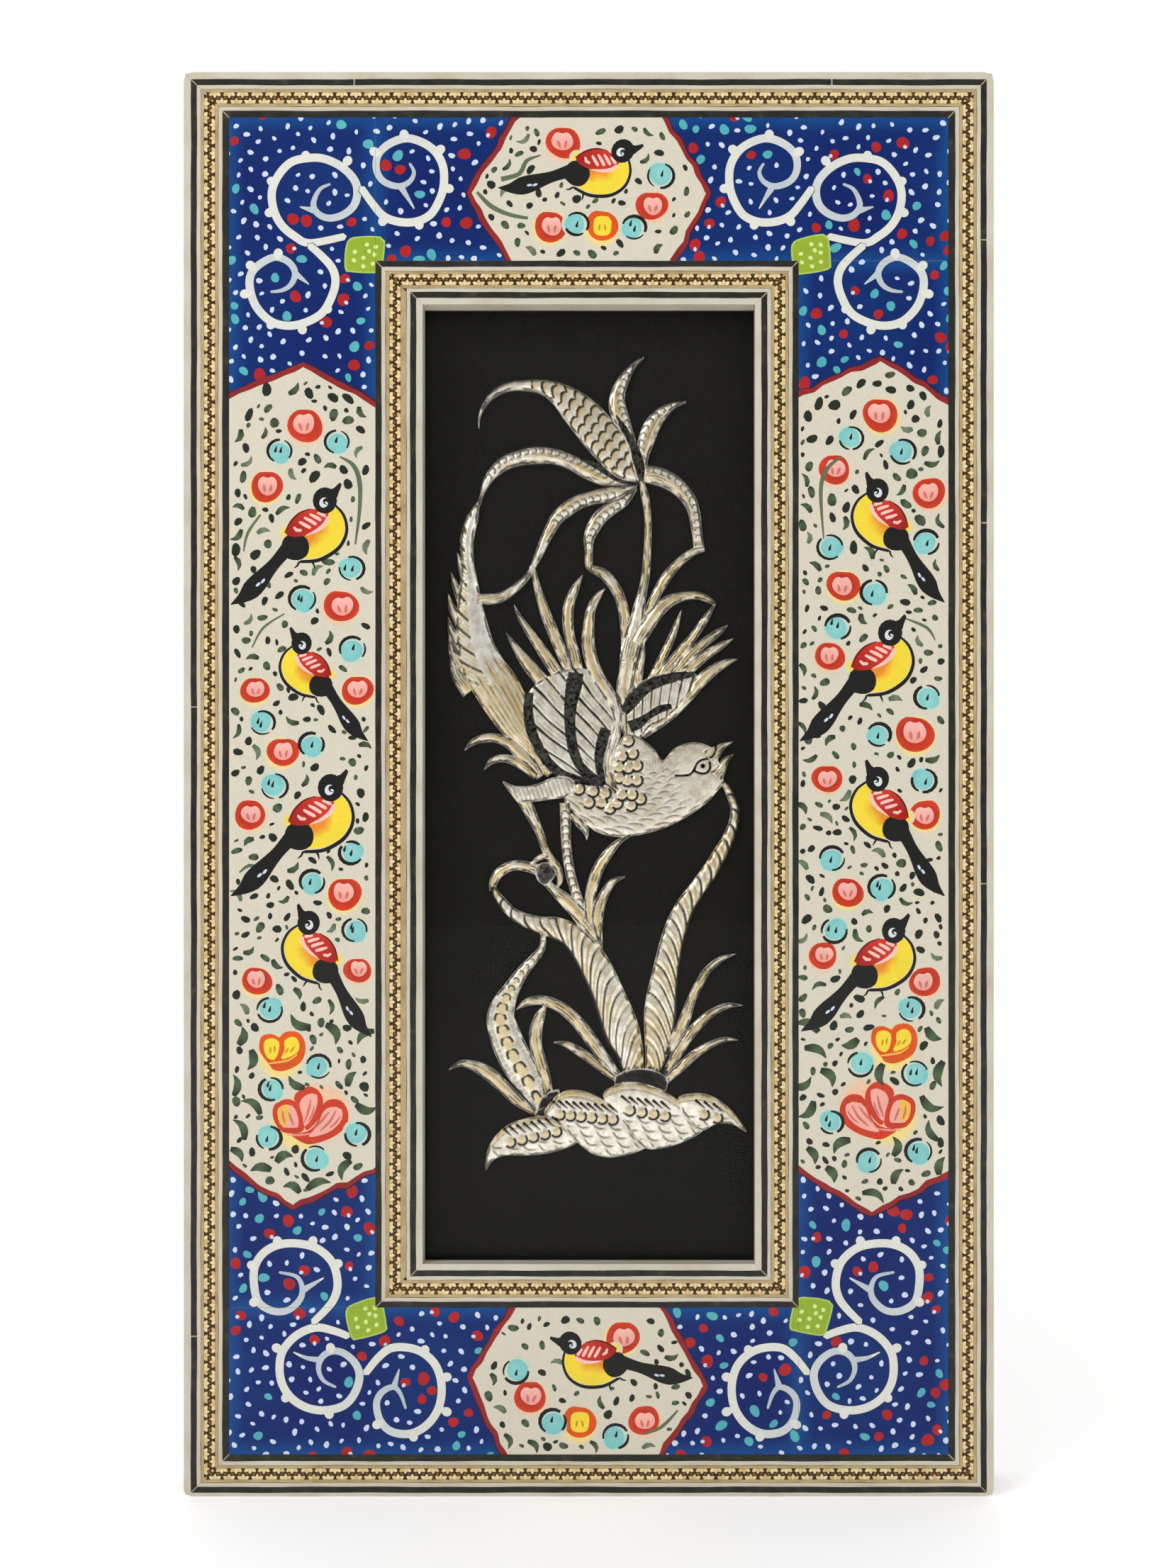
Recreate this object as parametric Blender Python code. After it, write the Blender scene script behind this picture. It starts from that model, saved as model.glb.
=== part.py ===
"""Inlaid wall frame: four painted sheets between two borders of bone, ebony and star-mosaic strips,
and in its window, behind glass, a chased metal bird among leaves on a velvet board.
Metres, +Z up. The front faces -Y, the rear plane is y = 0, and the origin is on the rear of the top rail."""

import math

import bmesh
import bpy
import numpy as np
from mathutils import Vector
from mathutils.geometry import delaunay_2d_cdt

# Frame
FRAME_WIDTH = 0.2290
FRAME_HEIGHT = 0.4026
FRAME_DEPTH = 0.0180
CORNER_RADIUS = 0.0016
CORNER_SEGMENTS = 6
OPENING_WIDTH = 0.0940
OPENING_HEIGHT = 0.2713
VENEER_THICKNESS = 0.0020
JOINT_GAP = 0.0003

# Outer border strips, from the edge inwards
OUTER_EDGE_STRIP = 0.0020
OUTER_EDGE_STRIP_BELOW = 0.0010
OUTER_BLACK_STRIP = 0.0017
OUTER_WHITE_STRIP = 0.0011
KHATAM_STRIP = 0.0050
PANEL_WHITE_STRIP = 0.0011
PANEL_BLACK_STRIP = 0.0019

# Inner border strips, from the window outwards
LIP_STRIP = 0.0018
LIP_DEPTH = 0.0040
WINDOW_BLACK_STRIP = 0.0017
WINDOW_WHITE_STRIP = 0.0010
KHATAM_STRIP_LEFT = 0.0060
SHEET_WHITE_STRIP = 0.0011
SHEET_BLACK_STRIP = 0.0017

# What lies behind the window
GLASS_THICKNESS = 0.0020
BOARD_THICKNESS = 0.0030

# Chased relief
RELIEF_EDGE = 0.0007
RELIEF_RISE = 0.0009
PAD_RISE = 0.0005
BEAD_RISE = 0.0004
GROOVE_DEPTH = 0.00025
HATCH_DEPTH = 0.00025
RELIEF_GAP_ABOVE = 0.0117
RELIEF_GAP_BELOW = 0.0249
RELIEF_GAP_LEFT = 0.0060
RELIEF_GAP_RIGHT = 0.0017

# Hanger let into the back of the top rail
HANGER_WIDTH = 0.0460
HANGER_HEIGHT = 0.0080
HANGER_PLATE = 0.0010
HANGER_FOOT = 0.0060
HANGER_TEETH = 9
HANGER_TOOTH = 0.0015
HANGER_ABOVE_MOUNT = 0.0180
POCKET_DEPTH = 0.0035
POCKET_BELOW = 0.0040

# The rectangles that the strips lie between
HALF_WIDTH = FRAME_WIDTH / 2
HALF_HEIGHT = FRAME_HEIGHT / 2
HALF_OPENING_WIDTH = OPENING_WIDTH / 2
HALF_OPENING_HEIGHT = OPENING_HEIGHT / 2
RAIL_INNER_X = HALF_OPENING_WIDTH + LIP_STRIP
RAIL_INNER_Z = HALF_OPENING_HEIGHT + LIP_STRIP
CENTRE_Z = -(HALF_HEIGHT + RAIL_INNER_Z) / 2

# Depths, from the front face to the back
FRONT_Y = -FRAME_DEPTH
RAIL_FRONT_Y = FRONT_Y + VENEER_THICKNESS + JOINT_GAP
GLASS_FRONT_Y = FRONT_Y + LIP_DEPTH + JOINT_GAP
GLASS_BACK_Y = GLASS_FRONT_Y + GLASS_THICKNESS
RELIEF_FRONT_Y = GLASS_BACK_Y + JOINT_GAP
RELIEF_BACK_Y = RELIEF_FRONT_Y + RELIEF_EDGE + RELIEF_RISE
BOARD_FRONT_Y = RELIEF_BACK_Y + JOINT_GAP
BOARD_BACK_Y = BOARD_FRONT_Y + BOARD_THICKNESS

# The relief is drawn on a grid: columns right of its axis, rows above its foot
LEFT_COLUMN, RIGHT_COLUMN = -219, 204
LOW_ROW, HIGH_ROW = 7, 1158
GRID = min(
    (OPENING_HEIGHT - RELIEF_GAP_ABOVE - RELIEF_GAP_BELOW) / (HIGH_ROW - LOW_ROW),
    (OPENING_WIDTH - RELIEF_GAP_LEFT - RELIEF_GAP_RIGHT) / (RIGHT_COLUMN - LEFT_COLUMN),
)
RELIEF_AXIS_X = -HALF_OPENING_WIDTH + RELIEF_GAP_LEFT - LEFT_COLUMN * GRID
RELIEF_FOOT_Z = CENTRE_Z - HALF_OPENING_HEIGHT + RELIEF_GAP_BELOW - LOW_ROW * GRID
STATION_STEP = 15.0
TOUCH = 0.05
WIDE_BLADE = 10.0
PAD_DOME = 22.0
PAD_SPACING = 20.0
PAD_MARGIN = 7.0
BEAD_RADIUS = 7.5
BEAD_SIDES = 6
SCALE_RADIUS = 6.5
SCALE_ROW_STEP = 11.0
SCALE_PETAL_WIDTH = 17.0
SCALES_ACROSS = ((-0.31, 0.31), (-0.62, 0.0, 0.62))
EYE = (139, 579, 6.0)
HATCH_STEP = 24.0
HATCH_SLANT = 30.0
HATCH_SIDE = 0.9

IVORY = (0.62, 0.56, 0.46)
BONE = (0.55, 0.51, 0.42)
EBONY = (0.035, 0.033, 0.030)
KHATAM = (0.42, 0.29, 0.14)
WALNUT = (0.14, 0.075, 0.035)
SILVER = (0.72, 0.66, 0.55)
VELVET = (0.012, 0.012, 0.011)
GLASS_TINT = (0.92, 0.95, 0.93)
STEEL = (0.45, 0.44, 0.42)


def clear_scene():
    for item in list(bpy.data.objects):
        bpy.data.objects.remove(item, do_unlink=True)


def material(name, colour, roughness, metallic=0.0, transmission=0.0):
    made = bpy.data.materials.new(name)
    made.use_nodes = True
    shader = made.node_tree.nodes["Principled BSDF"]
    shader.inputs["Base Color"].default_value = (*colour, 1.0)
    shader.inputs["Roughness"].default_value = roughness
    shader.inputs["Metallic"].default_value = metallic
    shader.inputs["Transmission Weight"].default_value = transmission
    return made


def add_object(name, mesh_data, finish):
    mesh_data.materials.append(finish)
    item = bpy.data.objects.new(name, mesh_data)
    bpy.context.scene.collection.objects.link(item)
    return item


def mesh_from(name, points, faces):
    made = bmesh.new()
    corners = [made.verts.new(point) for point in points]
    for face in faces:
        made.faces.new([corners[index] for index in face])
    bmesh.ops.recalc_face_normals(made, faces=made.faces)
    data = bpy.data.meshes.new(name)
    made.to_mesh(data)
    made.free()
    return data


def prism(name, outline, front_y, back_y, finish):
    """A flat piece: an outline in x and z, from front_y to back_y."""
    count = len(outline)
    points = [(x, front_y, z) for x, z in outline] + [(x, back_y, z) for x, z in outline]
    faces = [tuple(range(count)), tuple(range(count, 2 * count))]
    for index in range(count):
        following = (index + 1) % count
        faces.append((index, following, count + following, count + index))
    return add_object(name, mesh_from(name, points, faces), finish)


def inset(outline, distances):
    """A convex outline with each edge moved inwards by its own distance; edge i starts at point i."""
    count = len(outline)
    lines = []
    for index in range(count):
        start = Vector(outline[index])
        along = (Vector(outline[(index + 1) % count]) - start).normalized()
        inwards = Vector((-along.y, along.x))
        lines.append((start + inwards * distances[index], along))
    corners = []
    for index in range(count):
        start, along = lines[index - 1]
        other_start, other_along = lines[index]
        turn = along.x * other_along.y - along.y * other_along.x
        away = other_start - start
        travel = (away.x * other_along.y - away.y * other_along.x) / turn
        corners.append(tuple(start + along * travel))
    return corners


def clip(outline, cutter):
    """The part of a convex outline inside a convex cutter, both anticlockwise."""
    kept = list(outline)
    for index in range(len(cutter)):
        a = Vector(cutter[index])
        b = Vector(cutter[(index + 1) % len(cutter)])
        edge = b - a
        side = [edge.x * (p[1] - a.y) - edge.y * (p[0] - a.x) for p in kept]
        passed = []
        for here in range(len(kept)):
            there = (here + 1) % len(kept)
            if side[here] >= 0:
                passed.append(kept[here])
            if (side[here] > 0 > side[there]) or (side[here] < 0 < side[there]):
                share = side[here] / (side[here] - side[there])
                passed.append(tuple(Vector(kept[here]).lerp(Vector(kept[there]), share)))
        kept = passed
    return kept


def rounded_outline():
    """The frame's outline with its rounded corners, anticlockwise."""
    points = []
    middles = ((1, 1, 0), (-1, 1, 90), (-1, -1, 180), (1, -1, 270))
    for right, up, first_angle in middles:
        centre_x = right * (HALF_WIDTH - CORNER_RADIUS)
        centre_z = CENTRE_Z + up * (HALF_HEIGHT - CORNER_RADIUS)
        for step in range(CORNER_SEGMENTS + 1):
            angle = math.radians(first_angle + 90 * step / CORNER_SEGMENTS)
            x = centre_x + CORNER_RADIUS * math.cos(angle)
            z = centre_z + CORNER_RADIUS * math.sin(angle)
            points.append((x, z))
    return points


def rectangle(left, right, bottom, top):
    return {"left": left, "right": right, "bottom": bottom, "top": top}


def shrunk(rect, width, left=None, bottom=None):
    """A rectangle inside another by the strip's width, which may differ at the left or below."""
    return rectangle(
        rect["left"] + (width if left is None else left),
        rect["right"] - width,
        rect["bottom"] + (width if bottom is None else bottom),
        rect["top"] - width,
    )


def grown(rect, width, left=None):
    return rectangle(
        rect["left"] - (width if left is None else left),
        rect["right"] + width,
        rect["bottom"] - width,
        rect["top"] + width,
    )


def mitred_outlines(outer, inner, at_edge=False, at_window=False):
    """The four mitred outlines between two rectangles, each half a joint gap inside its share."""
    half = JOINT_GAP / 2
    outside = 0.0 if at_edge else half
    inside = 0.0 if at_window else half

    def corner(rect, side, level):
        return (rect[side], rect[level])

    order = {
        "bottom": (("left", "bottom"), ("right", "bottom")),
        "right": (("right", "bottom"), ("right", "top")),
        "top": (("right", "top"), ("left", "top")),
        "left": (("left", "top"), ("left", "bottom")),
    }
    outlines = {}
    for side, (start, end) in order.items():
        quad = [corner(outer, *start), corner(outer, *end), corner(inner, *end), corner(inner, *start)]
        outlines[side] = inset(quad, (outside, half, inside, half))
    return outlines


def strip_frame(line, outer, inner, front_y, back_y, finish, at_edge=False, at_window=False):
    """One line of the border: four mitred strips named after their line and side."""
    for side, outline in mitred_outlines(outer, inner, at_edge, at_window).items():
        if at_edge:
            outline = clip(outline, rounded_outline())
        prism(f"{line}_{side}", outline, front_y, back_y, finish)


def outer_border(edge, finishes):
    """Six lines of strips from the frame's edge inwards. Gives the rectangle that they enclose."""
    veneer_back = FRONT_Y + VENEER_THICKNESS
    lines = (
        ("outer_edge_strip", OUTER_EDGE_STRIP, "bone"),
        ("outer_black_strip", OUTER_BLACK_STRIP, "ebony"),
        ("outer_white_strip", OUTER_WHITE_STRIP, "bone"),
        ("outer_khatam_strip", KHATAM_STRIP, "khatam"),
        ("panel_white_strip", PANEL_WHITE_STRIP, "bone"),
        ("panel_black_strip", PANEL_BLACK_STRIP, "ebony"),
    )
    outer = edge
    for name, width, finish in lines:
        first = name == "outer_edge_strip"
        inner = shrunk(outer, width, bottom=OUTER_EDGE_STRIP_BELOW if first else None)
        strip_frame(name, outer, inner, FRONT_Y, veneer_back, finishes[finish], at_edge=first)
        outer = inner
    return outer


def inner_border(opening, finishes):
    """Six lines of strips from the window outwards. The first is the deep lip that the glass rests on."""
    veneer_back = FRONT_Y + VENEER_THICKNESS
    lines = (
        ("window_lip", LIP_STRIP, "bone"),
        ("window_black_strip", WINDOW_BLACK_STRIP, "ebony"),
        ("window_white_strip", WINDOW_WHITE_STRIP, "bone"),
        ("inner_khatam_strip", KHATAM_STRIP, "khatam"),
        ("sheet_white_strip", SHEET_WHITE_STRIP, "bone"),
        ("sheet_black_strip", SHEET_BLACK_STRIP, "ebony"),
    )
    inner = opening
    for name, width, finish in lines:
        lip = name == "window_lip"
        outer = grown(inner, width, left=KHATAM_STRIP_LEFT if name == "inner_khatam_strip" else None)
        back_y = FRONT_Y + LIP_DEPTH if lip else veneer_back
        strip_frame(name, outer, inner, FRONT_Y, back_y, finishes[finish], at_window=lip)
        inner = outer
    return inner


def painted_sheets(around, window, finish):
    """Four sheets laid like the arms of a pinwheel between the two borders."""
    half = JOINT_GAP / 2
    pieces = {
        "painted_sheet_left": (around["left"], window["left"], window["bottom"], around["top"]),
        "painted_sheet_top": (window["left"], around["right"], window["top"], around["top"]),
        "painted_sheet_right": (window["right"], around["right"], around["bottom"], window["top"]),
        "painted_sheet_bottom": (around["left"], window["right"], around["bottom"], window["bottom"]),
    }
    for name, (left, right, bottom, top) in pieces.items():
        corners = [(left, bottom), (right, bottom), (right, top), (left, top)]
        prism(name, inset(corners, (half,) * 4), FRONT_Y, FRONT_Y + VENEER_THICKNESS, finish)


def rails(edge, opening, finish):
    """The four wooden rails that carry the strips and sheets, mitred at the corners."""
    inner = grown(opening, LIP_STRIP)
    for side, outline in mitred_outlines(edge, inner, at_edge=True).items():
        prism(f"frame_rail_{side}", clip(outline, rounded_outline()), RAIL_FRONT_Y, 0.0, finish)


def box(name, low, high, finish):
    outline = [(low[0], low[2]), (high[0], low[2]), (high[0], high[2]), (low[0], high[2])]
    return prism(name, outline, low[1], high[1], finish)


def apply_boolean(item, other, operation):
    change = item.modifiers.new(operation.lower(), "BOOLEAN")
    change.operation = operation
    change.object = other
    change.solver = "EXACT"
    evaluated = item.evaluated_get(bpy.context.evaluated_depsgraph_get())
    shaped = bpy.data.meshes.new_from_object(evaluated)
    item.modifiers.remove(change)
    item.data = shaped
    bpy.data.objects.remove(other, do_unlink=True)


def hanger_pocket(finish):
    """The shallow pocket in the back of the top rail that takes the hanger and the nail's head."""
    top = HANGER_ABOVE_MOUNT + HANGER_HEIGHT / 2 + JOINT_GAP
    bottom = HANGER_ABOVE_MOUNT - HANGER_HEIGHT / 2 - POCKET_BELOW
    half = HANGER_WIDTH / 2 + JOINT_GAP
    cutter = box("pocket_cutter", (-half, -POCKET_DEPTH, bottom), (half, POCKET_DEPTH, top), finish)
    apply_boolean(bpy.data.objects["frame_rail_top"], cutter, "DIFFERENCE")


def sawtooth_hanger(finish):
    """A plate flush with the back, toothed below, with a foot at each end on the pocket's floor."""
    low = HANGER_ABOVE_MOUNT - HANGER_HEIGHT / 2
    high = HANGER_ABOVE_MOUNT + HANGER_HEIGHT / 2
    half = HANGER_WIDTH / 2
    toothed = half - HANGER_FOOT
    pitch = 2 * toothed / HANGER_TEETH
    outline = [(half, low), (half, high), (-half, high), (-half, low)]
    for tooth in range(HANGER_TEETH):
        left = -toothed + tooth * pitch
        outline.append((left, low))
        outline.append((left + pitch / 2, low + HANGER_TOOTH))
    outline.append((toothed, low))
    hanger = prism("sawtooth_hanger", outline, -JOINT_GAP - HANGER_PLATE, -JOINT_GAP, finish)
    for side, start in (("left", -half), ("right", half - HANGER_FOOT)):
        foot = box(
            f"foot_{side}",
            (start, JOINT_GAP - POCKET_DEPTH, low),
            (start + HANGER_FOOT, -JOINT_GAP - HANGER_PLATE / 2, high),
            finish,
        )
        apply_boolean(hanger, foot, "UNION")


def window_parts(opening, finishes):
    """The glass behind the lip and the velvet-covered board behind the relief."""
    seat = grown(opening, LIP_STRIP)
    corners = [
        (seat["left"], seat["bottom"]),
        (seat["right"], seat["bottom"]),
        (seat["right"], seat["top"]),
        (seat["left"], seat["top"]),
    ]
    outline = inset(corners, (JOINT_GAP / 2,) * 4)
    prism("window_glass", outline, GLASS_FRONT_Y, GLASS_BACK_Y, finishes["glass"])
    prism("velvet_board", outline, BOARD_FRONT_Y, BOARD_BACK_Y, finishes["velvet"])


# Blades of the relief: (column, row, half width) along each spine, in the order they overlap
PLUME = {
    "plume_tip_1": [(-206, 880, 0.5), (-201, 862, 4.5), (-193, 839, 6.5)],
    "plume_tip_2": [(-215, 852, 0.5), (-209, 834, 5), (-198, 808, 7.5)],
    "plume_tip_3": [(-219, 822, 0.5), (-214, 803, 5), (-202, 780, 8)],
    "plume_tip_4": [(-219, 789, 0.5), (-214, 769, 5.5), (-199, 747, 8.5)],
    "plume_tip_5": [(-218, 764, 0.5), (-212, 738, 6), (-195, 713, 9.5)],
    "plume_tip_6": [(-217, 741, 0.5), (-207, 708, 8), (-189, 684, 12)],
    "plume": [(-176, 952, 1.5), (-185, 929, 8), (-193, 898, 9.5), (-192, 867, 9), (-190, 839, 12.5),
              (-189, 808, 17.5), (-186, 780, 22), (-180, 747, 26), (-168, 716, 30), (-151, 690, 32),
              (-134, 661, 30), (-117, 632, 24), (-100, 610, 16), (-87, 588, 13), (-73, 568, 8)],
    "curl_upper": [(-196, 601, 0.5), (-185, 612, 4), (-169, 618, 6), (-150, 618, 6.5), (-132, 610, 7.5),
                   (-115, 594, 9), (-100, 579, 9), (-89, 563, 6)],
    "curl_lower": [(-168, 574, 0.5), (-159, 585, 4), (-144, 590, 5.5), (-128, 587, 6.5), (-111, 578, 7),
                   (-95, 564, 5)],
}
FLOWER = {
    "sepal": [(13, 1074, 1.5), (30, 1043, 6), (44, 1011, 8), (51, 980, 4)],
    "upright_petal": [(58, 1157, 0.5), (44, 1146, 3), (30, 1126, 7.5), (22, 1108, 10), (20, 1089, 12),
                      (26, 1070, 11.5), (35, 1051, 8), (43, 1033, 5), (50, 1009, 2.5), (53, 980, 2.5)],
    "second_petal": [(118, 1094, 0.5), (100, 1089, 4), (83, 1077, 8.5), (69, 1059, 11.5), (61, 1038, 11.5),
                     (57, 1019, 8.5), (56, 998, 5.5), (53, 979, 3)],
    "left_leaf": [(48, 979, 1), (22, 980, 4.5), (1, 986, 10), (-22, 997, 11.5), (-46, 1009, 10),
                  (-70, 1017, 10.5), (-97, 1018, 11.5), (-121, 1014, 10), (-141, 1006, 9), (-157, 992, 7),
                  (-166, 978, 5), (-172, 962, 2.5), (-176, 948, 2.5)],
    "leaf_three": [(48, 975, 1), (22, 966, 8), (2, 962, 10), (-16, 958, 9), (-35, 952, 9.5), (-51, 942, 10),
                   (-65, 930, 9), (-74, 915, 8), (-82, 899, 7), (-89, 883, 6), (-98, 863, 4), (-108, 846, 4),
                   (-125, 830, 5.5), (-144, 818, 6.5), (-162, 815, 7.5), (-178, 816, 6.5)],
    "leaf_four_top": [(48, 971, 1), (30, 954, 7), (13, 944, 9), (-3, 932, 10), (-14, 916, 9.5),
                      (-20, 899, 7.5), (-20, 879, 5.5), (-20, 863, 5.5), (-17, 855, 2)],
    "leaf_four_low": [(-16, 858, 5), (3, 849, 7.5), (19, 828, 7.5), (27, 808, 7.5), (31, 786, 7.5),
                      (32, 758, 6.5), (30, 727, 5.5)],
    "arch_top": [(59, 992, 11.5), (77, 989, 12.5), (96, 981, 12), (112, 968, 10.5), (124, 952, 9.5),
                 (130, 934, 8.5), (133, 912, 7.5), (136, 888, 7.5)],
    "arch_low": [(144, 886, 3.5), (128, 882, 5), (107, 866, 6), (91, 848, 7), (80, 830, 7), (70, 811, 6.5),
                 (61, 792, 5)],
    "stem": [(54, 984, 3), (59, 963, 5.5), (63, 939, 5), (64, 912, 5), (63, 884, 5.5), (61, 853, 6),
             (56, 825, 6.5), (51, 803, 8.5), (47, 780, 10.5), (42, 758, 12.5), (37, 736, 12.5),
             (34, 713, 11), (30, 685, 11), (38, 660, 7)],
    "great_petal": [(48, 982, 2), (29, 1000, 16), (11, 1028, 25), (-12, 1057, 26.5), (-37, 1084, 23.5),
                    (-61, 1104, 16.5), (-86, 1115, 10), (-113, 1117, 7), (-137, 1114, 5.5), (-157, 1103, 4),
                    (-169, 1088, 2.5), (-175, 1073, 1.5), (-176, 1057, 0.5)],
}
FEATHERS = {
    "right_feather_0": [(58, 754, 1), (56, 736, 4), (52, 716, 5.5), (48, 685, 6.5)],
    "right_feather_1": [(111, 799, 0.5), (103, 775, 4.5), (93, 751, 5.5), (83, 730, 6), (68, 698, 6.5)],
    "lower_leaf_back": [(159, 808, 1), (145, 787, 5), (128, 762, 6), (111, 741, 7.5), (94, 721, 7.5),
                        (72, 696, 6.5)],
    "lower_leaf": [(47, 751, 9.5), (62, 776, 10), (77, 797, 9.5), (94, 812, 8.5), (114, 819, 6),
                   (134, 820, 5), (148, 815, 4.5), (159, 808, 2)],
    "right_feather_2": [(177, 778, 0.5), (162, 767, 5), (142, 752, 6.5), (122, 734, 7.5), (98, 704, 7.5)],
    "right_feather_3": [(185, 759, 0.5), (167, 749, 5), (148, 737, 6.5), (128, 721, 7.5), (104, 698, 7.5)],
    "right_feather_4": [(191, 730, 0.5), (173, 724, 5.5), (153, 712, 8), (134, 695, 9), (119, 678, 9.5),
                        (97, 655, 9), (75, 637, 7.5), (56, 622, 5)],
    "left_feather_1": [(-137, 767, 0.5), (-122, 744, 5.5), (-105, 721, 9), (-85, 698, 10), (-63, 677, 9.5)],
    "left_feather_2": [(-126, 807, 0.5), (-116, 786, 4), (-99, 761, 6.5), (-82, 736, 8), (-66, 712, 8.5),
                       (-49, 688, 8)],
    "fork_feather": [(-100, 862, 3), (-92, 828, 5.5), (-81, 794, 7.5), (-69, 764, 8), (-57, 736, 8),
                     (-46, 705, 5)],
    "left_feather_3": [(-29, 849, 0.5), (-39, 831, 5.5), (-48, 808, 7.5), (-50, 786, 8), (-47, 761, 7.5),
                       (-40, 736, 7.5), (-32, 705, 6)],
}
WING_EDGE = {
    "front_feather": [(3, 830, 0.5), (-8, 818, 5), (-17, 800, 6.5), (-20, 778, 8), (-21, 752, 9.5),
                      (-17, 730, 9.5), (-8, 707, 9.5), (6, 684, 9.5), (16, 667, 8), (21, 645, 6.5),
                      (18, 620, 6.5), (10, 596, 6.5), (7, 574, 5.5), (13, 555, 4), (23, 544, 1)],
}
WING_BANDS = {
    "band_1": [(-104, 682, 5.5), (-106, 659, 6.5), (-102, 631, 7), (-92, 607, 6.5), (-78, 585, 6.5),
               (-59, 568, 6), (-34, 559, 5), (-7, 551, 3)],
    "band_2": [(-38, 710, 10), (-41, 692, 11), (-45, 670, 9), (-47, 645, 7.5), (-45, 620, 7), (-41, 599, 7),
               (-32, 579, 6), (-15, 563, 5), (1, 551, 3)],
    "band_3": [(4, 631, 7), (0, 618, 7.5), (-4, 596, 7.5), (-4, 574, 5.5), (1, 552, 3)],
    "band_4": [(30, 655, 6), (42, 671, 8.5), (59, 688, 8), (78, 698, 7.5), (104, 705, 6), (130, 709, 3)],
    "band_5": [(38, 634, 8), (52, 640, 7), (64, 649, 4.5), (81, 659, 5), (97, 663, 3)],
}
BEAKS = {
    "upper_beak": [(184, 613, 0.5), (170, 607, 4.5), (159, 598, 9), (149, 590, 11)],
    "lower_beak": [(185, 595, 0.5), (174, 587, 5), (168, 575, 7), (160, 563, 11)],
}
LEGS = {
    "leg_back": [(-54, 527, 7.5), (-53, 497, 7.5), (-52, 467, 7), (-48, 435, 7), (-43, 414, 7),
                 (-37, 395, 7), (-28, 373, 7), (-18, 354, 5.5)],
    "belly_hook": [(-45, 511, 4), (-32, 497, 6.5), (-24, 486, 4.5), (-23, 474, 0.5)],
    "curl_top": [(-92, 432, 8), (-109, 437, 7.5), (-128, 438, 7), (-146, 429, 7), (-155, 416, 6),
                 (-157, 402, 4)],
    "disc_twig": [(-92, 428, 5), (-73, 407, 6), (-54, 390, 9.5), (-34, 370, 10.5), (-18, 351, 10),
                  (-6, 332, 5), (-2, 320, 1)],
    "leg_front": [(-114, 535, 10.5), (-102, 511, 8), (-90, 485, 6), (-82, 461, 5.5), (-72, 445, 5.5),
                  (-63, 433, 5), (-61, 416, 4), (-65, 407, 1.5)],
    "claw": [(-102, 440, 1), (-92, 448, 4), (-78, 454, 5)],
}
SMALL_LEAVES = {
    "small_leaf_a": [(40, 481, 1.5), (23, 472, 4), (7, 455, 7), (-7, 433, 8), (-15, 409, 8), (-19, 384, 7.5),
                     (-17, 359, 7)],
    "small_leaf_b": [(31, 422, 1), (15, 416, 4.5), (3, 400, 6.5), (-5, 381, 8), (-8, 362, 8), (-6, 340, 4.5),
                     (-2, 322, 1)],
}
GREAT_LEAVES = {
    "great_left_leaf": [(-156, 408, 2.5), (-146, 390, 6.5), (-130, 372, 8), (-111, 361, 10), (-87, 353, 13),
                        (-65, 349, 16), (-45, 339, 17), (-29, 322, 19), (-15, 302, 21.5), (-2, 277, 22.5),
                        (9, 252, 23), (18, 228, 25), (28, 200, 25), (38, 174, 19.5), (44, 142, 14)],
    "great_right_leaf": [(170, 557, 3.5), (179, 541, 5.5), (187, 519, 6.5), (185, 497, 7.5), (177, 475, 9),
                         (166, 455, 10.5), (152, 431, 11.5), (135, 407, 12), (119, 384, 13.5),
                         (107, 359, 15.5), (98, 332, 16.5), (92, 304, 18), (87, 277, 19.5), (83, 250, 22),
                         (81, 225, 23), (79, 200, 20.5), (76, 172, 16.5), (70, 143, 10.5)],
}
TUFTS = {
    "right_tuft_1": [(188, 313, 0.5), (168, 306, 4), (149, 291, 5.5), (136, 270, 6), (125, 247, 6.5),
                     (116, 221, 8), (103, 192, 7), (92, 170, 4)],
    "right_tuft_2": [(199, 240, 0.5), (178, 240, 4), (155, 230, 5.5), (135, 213, 7), (117, 191, 7.5),
                     (103, 168, 7), (87, 143, 4.5)],
    "right_tuft_3": [(192, 191, 0.5), (172, 192, 3.5), (149, 183, 5), (129, 170, 6.5), (109, 152, 6.5),
                     (84, 129, 5)],
    "left_tuft_1": [(-123, 234, 0.5), (-107, 245, 5.5), (-84, 247, 7), (-61, 238, 8), (-41, 222, 8.5),
                    (-23, 200, 9), (-5, 175, 8), (11, 154, 6.5), (25, 137, 4)],
    "left_tuft_2": [(-70, 188, 0.5), (-52, 185, 4.5), (-32, 174, 6.5), (-12, 160, 6.5), (8, 144, 5),
                    (27, 131, 3.5)],
    "thin_leaf": [(-81, 241, 1.5), (-89, 226, 7), (-95, 205, 9), (-95, 184, 8.5), (-89, 161, 8.5),
                  (-82, 139, 7.5), (-74, 112, 4.5)],
    "left_small_leaf": [(-219, 149, 0.5), (-201, 158, 4.5), (-181, 154, 7.5), (-161, 143, 9.5),
                        (-141, 125, 9), (-121, 106, 8), (-92, 85, 3)],
    "bead_leaf": [(-84, 344, 3.5), (-87, 321, 5), (-100, 304, 7), (-116, 285, 9), (-130, 263, 12),
                  (-141, 241, 17), (-145, 221, 20), (-139, 199, 22), (-129, 174, 23), (-114, 147, 22),
                  (-99, 122, 17), (-86, 95, 8.5)],
}

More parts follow.
